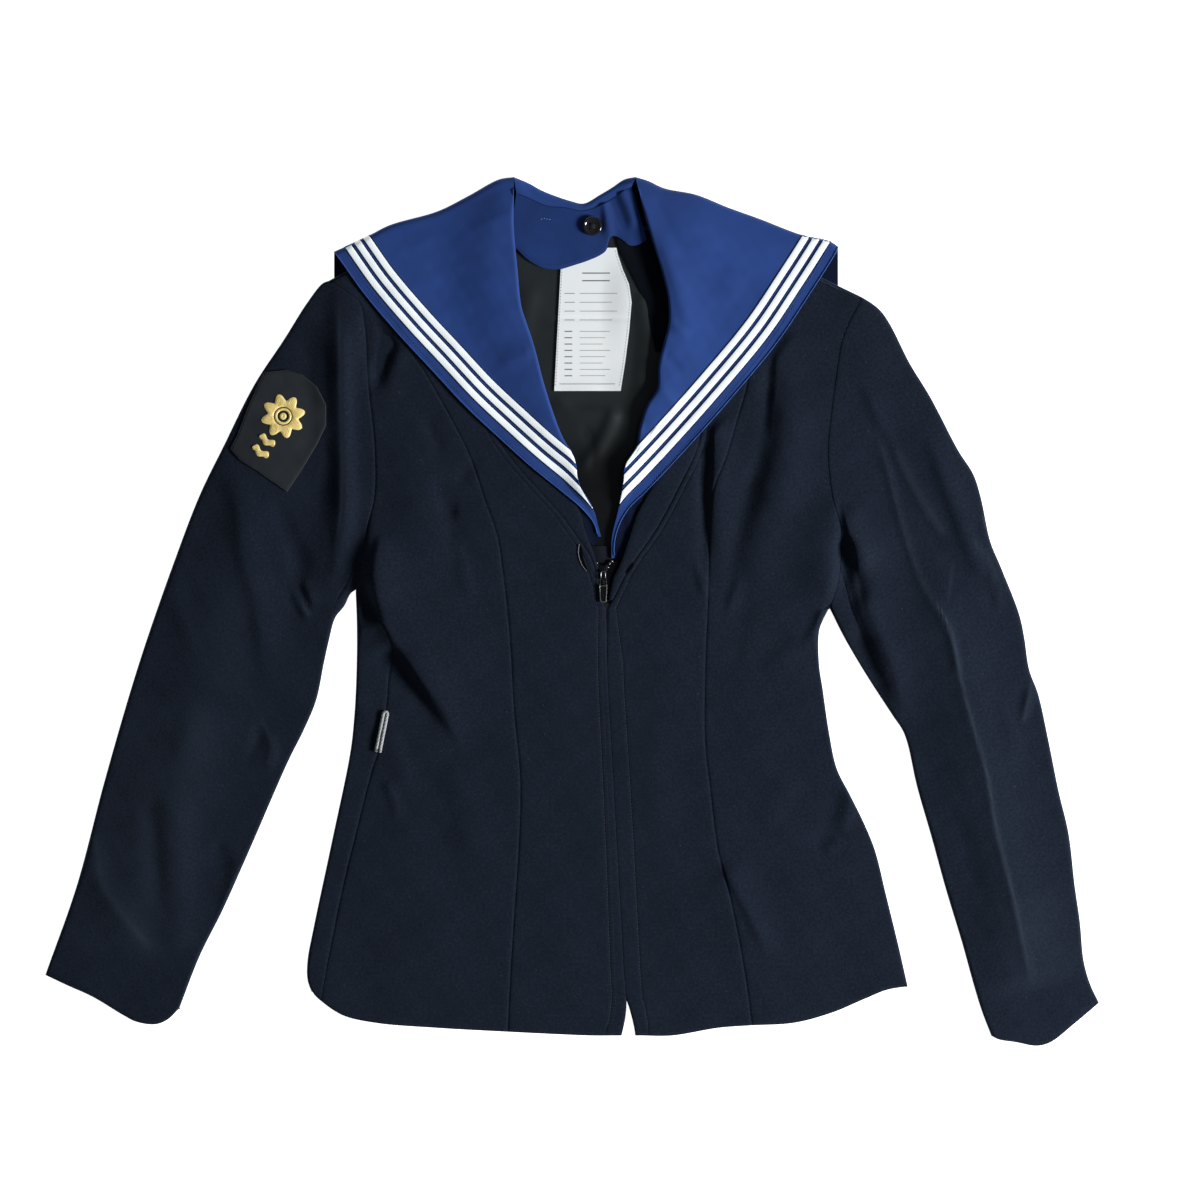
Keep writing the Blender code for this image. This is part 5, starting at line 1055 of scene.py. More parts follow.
def build_back():
    top_line = Line(SHOULDER_R + BACK_NECK[1:-1] + SHOULDER_L)

    @tabled
    def right_limit(y):
        x = LINES["side_l"].x_at(y)
        radius = roll_radius(x - 4, y)
        wrap = radius + (SEAM_WRAP - radius) * np.clip((ARMPIT_L[1] - y) / 40, 0, 1)
        return np.where(y >= ARMPIT_L[1], LINES["arm_l"].x_at(y), x - wrap)

    @tabled
    def left_limit(y):
        x = LINES["side_r"].x_at(y)
        return np.where(y >= ARMPIT_R[1], LINES["arm_r"].x_at(y),
                        x + roll_radius(x + 4, y))

    x, y = body_grid((left_limit, right_limit), (360,), top_line.y_at,
                     LINES["back_hem"].y_at, 2.2 * STEP, 1.8 * STEP)
    z = skin(x, y, -np.ones_like(x))
    grid, face = np.stack([x, y, z], -1), -np.ones_like(x)
    edge_y = y[:, 0]
    edge_x = LINES["side_r"].x_at(edge_y)
    radius = roll_radius(edge_x + 4, edge_y)
    seam_x = LINES["side_seam_r"].x_at(edge_y)
    below = edge_y < ARMPIT_R[1]
    added = []
    steps = [(-1, s, 0) for s in (0.65, 0.35, 0.15, 0.04)]
    steps += [(1, s, 0) for s in (0, 0.04, 0.15, 0.35, 0.65, 1.0)]
    steps += [(1, 1.0, s) for s in (0.15, 0.3, 0.45, 0.6, 0.75, 0.88, 0.95, 1.0)]
    for way, share, beyond in steps:
        gap = np.minimum(share * radius, np.maximum(seam_x - edge_x, 0.0))
        gx = edge_x + gap + np.maximum(seam_x - edge_x - radius, 0) * beyond
        gx = np.where(below, gx, x[:, 0])
        near_gap = np.where(beyond > 0, FAR, gap)
        foot = edge_y[-1]
        drop = (hem_y(gx[-1]) - foot) * ramp(foot + 40, foot, edge_y) * (way > 0)
        gy = edge_y + np.minimum(drop, 0) * share
        dip = groove(gx - seam_x) + hem_dip(gy - gy[-1])
        gz = skin(gx, gy, np.full_like(gx, way), near_gap, dip)
        gz = np.where(below, gz, z[:, 0])
        added.append(np.stack([gx, gy, gz], -1))
        face = np.concatenate([np.full((len(gx), 1), float(way)), face], 1)
    grid = np.concatenate([np.stack(added[::-1], 1), grid], 1)
    shell("back_cloth", grid, WOOL, NAVY, "navy_wool", outward=face, replaces="back")


build_back()


def build_band(name, seam, inner, side):
    levels = np.arange(314, 8, -2.0)
    share = np.array([0, 0.03, 0.1, 0.25, 0.5, 0.75, 0.9, 0.97, 1.0])
    x0, x1 = seam(levels), inner(levels)
    x = x0[:, None] + (x1 - x0)[:, None] * share
    y = np.repeat(levels[:, None], len(share), 1)
    dip = groove(x - x0[:, None], 0.45, 0.8) + groove(x - x1[:, None], 0.5)
    crown = 0.5 * np.sin(np.pi * share) * ramp(30, 90, np.abs(y))
    z = top_at(x, y, dip) + 0.3 * crown
    shell(name + "_cloth", np.stack([x, y, z], -1), WOOL, NAVY, "navy_wool",
          turn=0.7 * side, outward=np.ones_like(x), replaces=name)


build_band("neck_band_right", centre_r, x_line("band_r"), -1)
build_band("neck_band_left", centre_l, x_line("band_l"), 1)


for row, (line, away) in enumerate(((stitch_r, 0.0), (stitch_r, 3.6), (stitch_l, 0.0))):
    levels = np.arange(24, -330, -2.0)
    cloth_x = line(levels) + away
    stitches(f"topstitch_{row + 1}", on_cloth(cloth_x, levels, -0.28 + 0.1 * (away > 0)), 2.6,
             2.1, 0.5, THREAD)


# ================================================================ sleeves
INNER_SEAM = ((0, 32), (0.06, 20), (0.15, 13), (0.3, 8), (1, 6))


class Sleeve:
    """Plan of a sleeve: u runs from the outer edge (0) to the inner one, v to the cuff."""

    def __init__(self, tag):
        self.arm, self.outer = LINES["arm_" + tag], LINES["outer_" + tag]
        self.inner, self.cuff = LINES["inner_" + tag], LINES["cuff_" + tag]

    def plan(self, u, v):
        a, b, c, d = self.arm.at(u), self.cuff.at(u), self.outer.at(v), self.inner.at(v)
        u, v = u[..., None], v[..., None]
        corners = ((1 - u) * (1 - v) * self.arm.at(0) + u * (1 - v) * self.arm.at(1)
                   + (1 - u) * v * self.cuff.at(0) + u * v * self.cuff.at(1))
        return (1 - v) * a + v * b + (1 - u) * c + u * d - corners

    def width(self, v):
        run = np.stack([self.plan(np.full_like(v, u), v) for u in np.linspace(0, 1, 9)])
        return np.linalg.norm(np.diff(run, axis=0), axis=-1).sum(0)


def build_sleeve(tag, side, turn):
    sleeve = Sleeve(tag)
    length = sleeve.outer.length
    v = np.concatenate([np.array(NEAR_SEAM) / length,
                        np.arange(4.5, length - 3.5, STEP) / length,
                        1 - np.array(NEAR_SEAM[::-1]) / length])
    width = sleeve.width(v)
    r0 = roll_radius(*sleeve.plan(4 / width, v).T)
    r1 = roll_radius(*sleeve.plan(1 - 4 / width, v).T)
    seam = table(INNER_SEAM, v)
    wrap = 22 - 8 * v
    rolls = (0.65, 0.35, 0.15, 0.04)
    stop = np.maximum(seam, r1)
    top = [(r0 + (wrap - r0) * s, -1, 0) for s in (1, 0.75, 0.5, 0.25, 0)]
    top += [(s * r0, -1, 0) for s in rolls] + [(0 * r0, 1, 0)]
    top += [(s * r0, 1, 0) for s in rolls[::-1]] + [(r0, 1, 0)]
    count = int(125 / STEP)
    top += [(r0 + (width - r0 - stop) * i / count, 1, 0) for i in range(1, count)]
    top += [(stop + 1.0, 1, 1)] + [(stop + (seam - stop) * s, 1, 1) for s in (0, 0.5, 1)]
    lower_r = np.minimum(r1, seam)
    under = [(seam + (lower_r - seam) * s, 1, 1) for s in (0, 0.12, 0.5, 1)]
    under += [(np.minimum(s * r1, seam), 1, 1) for s in rolls] + [(0 * r1, 1, 1)]
    under += [(s * r1, -1, 1) for s in rolls[::-1]] + [(r1, -1, 1)]
    count = int(110 / (2 * STEP))
    under += [(r1 + (width - wrap - r1) * i / count, -1, 1) for i in range(1, count + 1)]
    for name, columns in (("sleeve_top_", top), ("sleeve_under_", under)):
        x, y, z, face = [], [], [], []
        for gap, way, inner in columns:
            u = 1 - gap / width if inner else gap / width
            p = sleeve.plan(u, v)
            radius = r1 if inner else r0
            own = np.where(gap < radius, gap, FAR)
            from_seam = np.linalg.norm(p - sleeve.plan(u, 0 * v), axis=-1)
            from_cuff = np.linalg.norm(p - sleeve.plan(u, 0 * v + 1), axis=-1)
            dip = groove(from_seam) + hem_dip(from_cuff)
            if inner:
                open_part = 1 - ramp(0.05, 0.16, v)
                dip = dip + open_part * groove(gap - seam, 0.4)
            way_array = np.full_like(gap, float(way))
            clear = np.minimum(own, edge_gap(p[:, 0], p[:, 1]))
            x.append(p[:, 0])
            y.append(p[:, 1])
            z.append(skin(p[:, 0], p[:, 1], way_array, clear, dip))
            face.append(way_array)
        grid = np.stack([np.stack(k, 1) for k in (x, y, z)], -1)
        shell(name + side + "_cloth", grid, WOOL, NAVY, "navy_wool", turn,
              np.stack(face, 1), name + side)


build_sleeve("r", "right", -0.38)
build_sleeve("l", "left", 0.30)


# ================================================================ collar
DROP = {"r": (92, 72), "l": (99, 78)}
FLAP_THICK = 0.3      # room under the flap for its tapes


def bend_share(gaps):
    return np.sqrt(np.maximum(0.0, 1 - (1 - np.minimum(gaps, 1)) ** 2))


class Fall:
    """One front fall of the collar: u from the outer edge to the roll, v to the tip."""

    def __init__(self, tag):
        self.tag = tag
        self.fold = LINES["fold_" + tag]
        self.outer = LINES[f"fall_{tag}_outer"]
        self.inner = LINES[f"fall_{tag}_inner"]

    def plan(self, u, v):
        a, b = self.fold.at(u), self.outer.at(v)
        c = self.inner.at(v)
        u, v = np.asarray(u)[..., None], np.asarray(v)[..., None]
        tip = self.outer.at(1) * (1 - u) + self.inner.at(1) * u
        corners = (1 - v) * ((1 - u) * self.fold.at(0) + u * self.fold.at(1)) + v * tip
        return (1 - v) * a + v * tip + (1 - u) * b + u * c - corners

    def height(self, u, v):
        p = self.plan(u, v)
        x, y = p[..., 0], p[..., 1]
        start, end = DROP[self.tag]
        drop = 1 - ramp(end, start, self.outer.at(v)[..., 1])
        rise = table(ROLL_RISE, v) * ramp(0.35, 0.95, u)
        wave = add_folds(COLLAR_FOLDS, x, y) * ramp(0, 0.06, v)
        wave = wave + 0.7 * ripple(x * 1.3, y * 1.3) * ramp(0, 0.08, v)
        over = plain_top(x, y) + LAY + BLUE + 0.1 + rise + wave
        inside = flap_lift(x, y) + WOOL + 2 * THIN + BLUE + 3 * LAY + 0.3
        top = over + (inside - over) * drop
        gap = v * self.outer.length
        return top / 2 * (1 + bend_share(gap / (top / 2)))


def fold_half(x, fall_side):
    side = (plain_top(x, 300 + 0 * x) + LAY + BLUE + 0.1) / 2
    neck = (YOKE_Z + BLUE) / 2
    if fall_side:
        return side
    inside = np.minimum(x - FOLD_R[-1][0], FOLD_L[-1][0] - x)
    return side + (neck - side) * ramp(0, 14, inside)


FALL_U = np.concatenate([[0, 0.006, 0.015], np.linspace(0.03, 1, 72)])
FALL_ROWS = 130


def flap_rows(x, y, half):
    """Points up the back flap and round to the fold, for columns of x."""
    rows = []
    stop = y - 3 * half
    for share in np.linspace(0, 1, FLAP_ROWS):
        level = FLAP_BOTTOM + (stop - FLAP_BOTTOM) * share
        rows.append(np.stack([x, level, 0 * x + FLAP_THICK], -1))
    for share in (2.0, 1.0, 0.65, 0.35, 0.15, 0.04, 0.0):
        z = half * (1 - bend_share(np.full_like(x, share)))
        rows.append(np.stack([x, y - share * half, np.maximum(z, FLAP_THICK * (share > .5))],
                             -1))
    return rows


def build_fall(tag):
    """Grid of one fall with its part of the flap, its fold and its inner roll."""
    fall = Fall(tag)
    edge = fall.fold.at(FALL_U)
    half = fold_half(edge[:, 0], True)
    rows = flap_rows(edge[:, 0], edge[:, 1], half)
    tails = 7
    grid = [np.concatenate([row, np.repeat(row[-1:], tails, 0)]) for row in rows]
    length = fall.outer.length
    firsts = [s * half[0] / length for s in (0.04, 0.15, 0.35, 0.65, 1.0)]
    v_rows = firsts + list(np.linspace(firsts[-1], 1, FALL_ROWS)[1:])
    for v in v_rows:
        y_outer = fall.outer.at(v)[1]
        rise = ramp(0.03, 0.10, v) * ramp(DROP[tag][0] + 3, DROP[tag][0] + 16, y_outer)
        radius = ROLL_RADIUS * rise
        near_edge = fall.plan(np.array(0.9), np.array(v))
        far = fall.plan(np.array(1.0), np.array(v))
        width = np.linalg.norm(far - near_edge) * 10
        u = FALL_U * (1 - radius / width)
        p = fall.plan(u, np.full_like(u, v))
        z = fall.height(u, np.full_like(u, v))
        row = np.concatenate([p, z[:, None]], 1)
        inward = p[-1] - far
        inward /= max(np.linalg.norm(inward), 1e-6)
        tail = []
        for angle in np.linspace(0, math.pi, tails + 1)[1:]:
            q = far + inward * radius * (1 - math.sin(angle))
            tail.append((q[0], q[1], z[-1] - radius * (1 - math.cos(angle))))
        grid.append(np.concatenate([row, np.array(tail)]))
    return np.stack(grid)


FLAP_ROWS, FOLD_ROWS = 26, 34    # rows of the flap, and of the flap and its fold


def build_collar():
    points, tris, out = [], [], []
    start = 0
    falls = {tag: build_fall(tag) for tag in ("r", "l")}
    neck_s = np.linspace(0, 1, 46)
    edge = LINES["neck_fold"].at(neck_s)
    half = fold_half(edge[:, 0], False)
    rows = flap_rows(edge[:, 0], edge[:, 1], half)
    seam = LINES["yoke_seam"].at(neck_s)
    away = np.linalg.norm(seam - edge, axis=1)
    for share in (0.04, 0.15, 0.35, 0.65, 1.0, 1.3):
        part = np.minimum(share * half / away, 0.9)
        p = edge + (seam - edge) * part[:, None]
        z = half * (1 + bend_share(np.full_like(half, share)))
        rows.append(np.concatenate([p, z[:, None]], 1))
    rows.append(np.concatenate([seam, np.full((len(seam), 1), YOKE_Z + BLUE)], 1))
    for grid in (falls["r"], np.stack(rows), falls["l"][:, ::-1]):
        tris.append(grid_tris(*grid.shape[:2], start))
        points.append(grid.reshape(-1, 3))
        start += len(points[-1])
        flap = np.zeros(grid.shape[:2])
        flap[:FLAP_ROWS] = -1
        flap[FOLD_ROWS:] = 1
        out.append(flap.ravel())
    piece = shell_of("collar_cloth", np.concatenate(points), np.concatenate(tris), BLUE,
                     BLUE_CLOTH, "collar_blue", 0.0, np.concatenate(out), "collar")
    # the low faces of the back flap take the darker blue: painted shade
    piece.data.materials.append(COLLAR_BLUE_PAINTED_SHADE)
    for face in piece.data.polygons:
        face.material_index = int(face.center.z < 0.0026)
    return falls, BVHTree.FromPolygons(np.concatenate(points).tolist(),
                                       np.concatenate(tris).tolist())


falls, collar_top = build_collar()


def build_yoke():
    s = np.linspace(0, 1, 60)
    seam, edge = LINES["yoke_seam"].at(s), LINES["yoke_edge"].at(s)
    share = np.linspace(0, 1, 30)[:, None, None]
    p = seam[None] + (edge - seam)[None] * share
    x, y = p[..., 0], p[..., 1]
    z = np.full_like(x, YOKE_Z + BLUE)
    wrinkles = (
        (((20, 336), (26, 316), (30, 300), (34, 292)), 2.2, 3.5, 5, 0.1, 0.3),
        (((30, 332), (37, 312), (44, 298)), -1.0, 4, 3, 0.1, 0.3),
        (((38, 334), (46, 315), (50, 300)), 1.8, 4, 4, 0.1, 0.3),
        (((22, 330), (23, 312), (22, 296)), -0.8, 2.5, 2.5, 0.1, 0.3))
    z = z + np.maximum(add_folds(wrinkles, x, y), -0.6)
    z = z - groove(np.linalg.norm(p - edge[None], axis=-1), 0.4, 1.2)
    shell("collar_yoke_cloth", np.stack([x, y, z], -1), BLUE, YOKE_BLUE_PAINTED_SHADE, "collar_blue",
          outward=np.ones_like(x), replaces="collar_yoke")


build_yoke()

TAPE_MARGIN, TAPE_WIDTH, TAPE_STEP = 8.6, 5.0, 7.9
TAPE_TRUE_FROM = 0.06       # share of the edge from which the tapes run parallel to it
TAPE_PROFILE = ((0, -0.42), (0.03, -0.1), (0.1, 0.0), (0.5, 0.06), (0.9, 0.0), (0.97, -0.1),
                (1, -0.42))


def collar_height(x, y):
    hit = collar_top.ray_cast(Vector((x, y, 60)), Vector((0, 0, -1)))[0]
    return hit.z if hit else 0.0


class Edge:
    """The outer edge of a fall, carried on straight past its corner at the fold."""

    def __init__(self, tag):
        self.line = LINES[f"fall_{tag}_outer"]
        self.fold, self.inner = LINES["fold_" + tag], LINES[f"fall_{tag}_inner"]
        self.side = 1 if tag == "r" else -1
        self.start = TAPE_TRUE_FROM * self.line.length

    def at(self, s, offset):
        share = np.clip(s / self.line.length, TAPE_TRUE_FROM, 1)
        base = self.line.at(share)
        along = self.line.at(np.minimum(share + 0.012, 1)) - self.line.at(share - 0.012)
        along /= np.linalg.norm(along)
        inward = self.side * np.array([-along[1], along[0]])
        return base + along * min(s - self.start, 0) + inward * offset

    def narrowed(self, s, offset):
        return offset * (1 - 0.42 * float(ramp(0.80, 1.0, s / self.line.length)))

    def limits(self, offset, margin):
        """Where a line parallel to the edge meets the fold, and then the roll."""
        first = self.start
        while first > -60:
            p = self.at(first, offset)
            if p[1] > self.fold.y_at(p[0]) - 0.15:
                break
            first -= 0.3
        last = 0.6 * self.line.length
        while last < 0.985 * self.line.length:
            p = self.at(last, self.narrowed(last, offset))
            if self.side * (self.inner.x_at(p[1]) - p[0]) < margin:
                break
            last += 0.4
        return first, last


def lay_band(name, tag, offset, width, profile, lift, wall, look, replaces=None, slot=""):
    edge = Edge(tag)
    spans = [edge.limits(offset + width * share, 0.5) for share, _ in profile]
    grid = []
    for f in np.linspace(0, 1, 190):
        row = []
        for (share, sag), (first, last) in zip(profile, spans):
            s = first + (last - first) * f
            x, y = edge.at(s, edge.narrowed(s, offset + width * share))
            row.append((x, y, collar_height(x, y) + lift + sag))
        grid.append(row)
    end = [(x, y + 0.35, z - 0.8) for x, y, z in grid[0]]
    grid = np.array([[(x, y + 0.5, z - 1.9) for x, y, z in grid[0]], end] + grid)
    return shell(name, grid, wall, look, slot, turn=0.9 * edge.side,
                 outward=np.ones(grid.shape[:2]), replaces=replaces)


FLAT_BAND = ((0, -0.1), (0.15, 0.0), (0.5, 0.0), (0.85, 0.0), (1, -0.1))
for tag, side in (("r", "right"), ("l", "left")):
    for number in range(3):
        offset = TAPE_MARGIN + TAPE_STEP * number
        node_name = f"tape_{side}_{number + 1}"
        lay_band(node_name + "_cloth", tag, offset, TAPE_WIDTH, TAPE_PROFILE, 0.78, 0.45,
                 GLOWING_WHITE_TAPE, node_name, "white_tape")
        # a darker band under each tape, a millimetre wider on each side: painted shade along
        # the tape's edges
        lay_band(node_name + "_seat", tag, offset - 1.0, TAPE_WIDTH + 2.0, FLAT_BAND, 0.22,
                 0.12, SHADE_BLUE, None, "collar_blue")


def tube(name, run, radius, look, slot, sides=8, body="garment"):
    """A round cord through a run of points."""
    run = np.array(run, float)
    ahead = np.gradient(run, axis=0)
    along, across, up = side_frame(ahead)
    rings = []
    for k in range(sides):
        a = 2 * math.pi * k / sides
        rings.append(run + radius * (math.cos(a) * across + math.sin(a) * up))
    points = np.stack(rings, 1)
    tris = []
    for low in range(0, (len(run) - 1) * sides, sides):
        for k in range(sides):
            a, b = low + k, low + (k + 1) % sides
            tris += [(a, b, b + sides), (a, b + sides, a + sides)]
    for ring, turn in ((0, 1), ((len(run) - 1) * sides, -1)):
        for k in range(1, sides - 1):
            face = (ring, ring + k + 1, ring + k)
            tris.append(face[::turn])
    return mesh_of(name, points.reshape(-1, 3), np.array(tris), look, slot, body=body)


def build_piping(tag, side):
    """The turned edge of a fall shows as a fine lighter line."""
    grid = falls[tag]
    run = grid[FOLD_ROWS:-1, 0].copy()
    run[:, 2] += 0.25
    stitched = grid[FOLD_ROWS + 2:-1, 4].copy()
    stitched[:, 2] += 0.12
    tube(f"collar_edge_{side}", run, 0.42, EDGE_BLUE, "collar_blue", 6)
    stitches(f"collar_edge_stitch_{side}", stitched, 2.4, 1.9, 0.4, BLUE_THREAD,
             "collar_blue")


build_piping("r", "right")
build_piping("l", "left")


# ================================================================ inside the neck
# left and right edges as rows of y, x
LABEL_LEFT = ((288, -8), (271, -9), (177, -14))
LABEL_RIGHT = ((288, 35), (283, 36), (271, 40), (259, 45), (245, 47), (222, 45), (199, 42),
               (173, 38))
FACING_LEFT = ((302, 34), (288, 37), (268, 47), (250, 56), (230, 61), (205, 66))
FACING_RIGHT = ((302, 68), (288, 74), (268, 80), (250, 84), (230, 86), (205, 84))


def strip(name, low_y, high_y, left, right, step, height, wall, look, slot, node, turn=0.0):
    levels = np.linspace(high_y, low_y, int((high_y - low_y) / step) + 2)
    x0, x1 = left(levels), right(levels)
    share = np.linspace(0, 1, int((x1 - x0).max() / step) + 3)
    x = x0[:, None] + (x1 - x0)[:, None] * share
    y = np.repeat(levels[:, None], len(share), 1)
    grid = np.stack([x, y, height(x, y)], -1)
    return shell(name, grid, wall, look, slot, turn, np.ones_like(x), node)


LINING_FOLDS = (
    (((-30, 262), (-38, 230), (-40, 200)), 1.4, 8, 10, 0.2, 0.4),
    (((-20, 175), (-30, 150), (-22, 128), (-6, 112)), -0.8, 6, 8, 0.2, 0.4),
    (((-16, 172), (0, 160), (30, 158), (46, 150)), 1.6, 4, 8, 0.2, 0.3),
    (((36, 166), (24, 138), (10, 118), (2, 106)), 2.0, 7, 5, 0.2, 0.3),
    (((50, 168), (46, 140), (36, 112), (30, 90)), 1.6, 6, 6, 0.2, 0.3),
    (((54, 255), (58, 225), (56, 190), (50, 160)), 1.8, 5, 7, 0.1, 0.3),
    (((8, 150), (16, 130), (14, 108)), -0.8, 4, 5, 0.2, 0.3),
    (((70, 200), (66, 160), (56, 130)), -0.8, 6, 6, 0.2, 0.3),
)


def lining_height(x, y):
    base = flap_lift(x, y) + WOOL + LAY + THIN
    under_label = ramp(-18, -10, x) * (1 - ramp(40, 52, x)) * ramp(170, 178, y)
    waves = np.maximum(add_folds(LINING_FOLDS, x, y), -0.5)
    open_part = ramp(70, 84, y) * (1 - ramp(262, 275, y))
    return base + waves * (1 - under_label) * open_part * 0.8


strip("lining_back_cloth", 51, 305, lambda y: LINES["band_r"].x_at(y) - 8,
      lambda y: LINES["band_l"].x_at(y) + 8, 1.6, lining_height, THIN, SATIN,
      "dark_lining", "lining_back")


def label_height(x, y):
    curl = 2.2 * ramp(22, 46, x) * ramp(290, 262, y) * (0.7 + 0.3 * np.cos((y - 245) / 14))
    foot = 0.8 * ramp(188, 173, y) * (0.5 + 0.5 * np.sin(x / 9))
    crease = -0.35 * np.exp(-((y - 232) / 1.5) ** 2)
    return FACING_Z + THIN + curl + foot + crease


strip("label_cloth", 175, 288, functools.partial(table, LABEL_LEFT),
      functools.partial(table, LABEL_RIGHT), 1.5, label_height, 0.35, GLOWING_LABEL_CLOTH,
      "label_cloth", "label")
strip("neck_facing_cloth", 206, 302, functools.partial(table, FACING_LEFT),
      functools.partial(table, FACING_RIGHT), 2.0,
      lambda x, y: 0 * x + FACING_Z + THIN + 0.3 * np.sin(x / 3 + y / 5), THIN,
      FACING_WOOL_PAINTED_SHADE, "navy_wool", "neck_facing")


# ================================================================ zip
ZIP_CENTRE = ((24.5, 42), (24.5, 30), (24.6, 24), (25.5, 12), (27.4, 4), (28, -47),
              (32, -120), (36, -192), (40, -264), (41, -282))
ZIP_SPLIT = ((30, 0), (36, 2.3), (41, 5.5))
ZIP_TAPE = 11.0
GUARD_LEFT = ((53, 15), (38, 14), (20, 14), (4, 15))
GUARD_RIGHT = ((53, 29), (38, 38), (20, 38), (4, 38))
zip_x = Line(ZIP_CENTRE).x_at


def zip_top(x, y):
    return plain_top(x, y) - WOOL - LAY - 0.1


for side, way in (("right", -1), ("left", 1)):
    inner_edge = (lambda y, w=way: zip_x(y) + w * (table(ZIP_SPLIT, y) + 0.2))
    outer_edge = (lambda y, w=way: inner_edge(y) + w * ZIP_TAPE)
    near_line, far_line = (outer_edge, inner_edge) if way < 0 else (inner_edge, outer_edge)
    strip(f"zip_tape_{side}_cloth", -281, 40.5, near_line, far_line, 2.4, zip_top, 0.8,
          ZIP_BLACK, "zip_tape", f"zip_tape_{side}")


def guard_height(x, y):
    return WOOL + 2 * THIN + 2 * LAY + 0.35 * np.sin(x / 2.5 + y / 9)


strip("zip_guard_cloth", 4.5, 52.5, functools.partial(table, GUARD_LEFT),
      functools.partial(table, GUARD_RIGHT), 1.2, guard_height, THIN, GUARD_CLOTH,
      "navy_wool", "zip_guard")


def patch(name, outline, height, look, slot, wall=0.4, rings=6):
    """A small sheet that fills an outline, in rings down to its middle."""
    line = Line(tuple(outline) + (outline[0],), 6).points[:-1]
    middle = line.mean(0)
    grid = middle + (line[None] - middle) * np.linspace(1, 0, rings)[:, None, None]
    grid = np.concatenate([grid, grid[:, :1]], 1)
    x, y = grid[..., 0], grid[..., 1]
    return shell(name, np.stack([x, y, height(x, y)], -1), wall, look, slot, 0.3,
                 np.ones_like(x))


def end_height(x, y):
    return FACING_Z + 0.4 + 1.0 * ramp(44, 100, y) + 0.25 * np.sin(x / 2.2 + y / 6)


# the lower ends of the collar where they go down behind the fronts, their underside in a
# darker blue that is painted shade
patch("collar_end_right", ((-8, 99), (2, 88), (8, 74), (13, 58), (16.5, 53), (21, 58),
                           (21.4, 66), (20, 75), (14, 86), (4, 97)), end_height,
      COLLAR_BLUE_PAINTED_SHADE, "collar_blue")
patch("collar_end_left", ((50, 98), (57, 94), (50, 76), (45, 58), (41.5, 47), (36, 41.5),
                          (33, 46), (33, 56), (36, 68), (43, 84)), end_height,
      COLLAR_BLUE_PAINTED_SHADE, "collar_blue")


def slit(name, outline, thread_run):
    # a near-black patch over the cloth: painted shade inside the opening
    patch(name, outline, lambda x, y: top_at(x, y) + 0.22, GAP_PAINTED_SHADE, "navy_wool", 0.15, 4)
    if thread_run:
        line = Line(thread_run).at(np.linspace(0, 1, 24))
        stitches(name + "_edge", on_cloth(line[:, 0], line[:, 1], 0.3), 1.0, 1.3, 0.9,
                 CREAM_THREAD)


# ends of the fronts' edges that stand open beside the top of the zip, their dark patches
# painted shade in the openings
slit("opening_right", ((6, 54.5), (8.2, 50), (8.6, 44), (12.6, 32.5), (9.6, 35.5), (6.4, 43),
                       (5.2, 50)), ((5.6, 54), (4.8, 49), (5.6, 43), (8.6, 36), (11.6, 32.4)))
slit("opening_left", ((48.8, 39.6), (47.2, 38.8), (42.4, 31.4), (43.6, 31.0), (48, 36.2)), ())


def boxes(name, low, high, look, slot, body="garment", bevel=0.0):
    """Many small blocks in one mesh; low and high are arrays of corners."""
    low, high = np.atleast_2d(low), np.atleast_2d(high)
    corner = np.array([(0, 0, 0), (1, 0, 0), (1, 1, 0), (0, 1, 0), (0, 0, 1), (1, 0, 1),
                       (1, 1, 1), (0, 1, 1)], float)
    face = np.array([(0, 2, 1), (0, 3, 2), (4, 5, 6), (4, 6, 7), (0, 1, 5), (0, 5, 4),
                     (1, 2, 6), (1, 6, 5), (2, 3, 7), (2, 7, 6), (3, 0, 4), (3, 4, 7)])
    points = low[:, None] + (high - low)[:, None] * corner[None]
    tris = face[None] + 8 * np.arange(len(low))[:, None, None]
    piece = mesh_of(name, points.reshape(-1, 3), tris.reshape(-1, 3), look, slot,
                    body=body, sharp=0.5)
    if bevel:
        change = piece.modifiers.new("edges", "BEVEL")
        change.width = bevel * MM
        change.segments = 2
    return piece


def build_teeth():
    low, high = [], []
    for i, y in enumerate(np.arange(38, -279, -1.5)):
        way = 1 if i % 2 else -1
        apart = float(table(ZIP_SPLIT, y))
        x = float(zip_x(y)) + way * apart
        z = float(zip_top(np.array(x), np.array(y)))
        reach = -1.1 if apart < 0.1 else -0.4
        a, b = sorted((x + way * 2.2, x + way * reach))
        low.append((a, y - 0.55, z - 0.1))
        high.append((b, y + 0.55, z + 0.9))
    boxes("zip_teeth", np.array(low), np.array(high), NYLON, "zip_tape")


build_teeth()


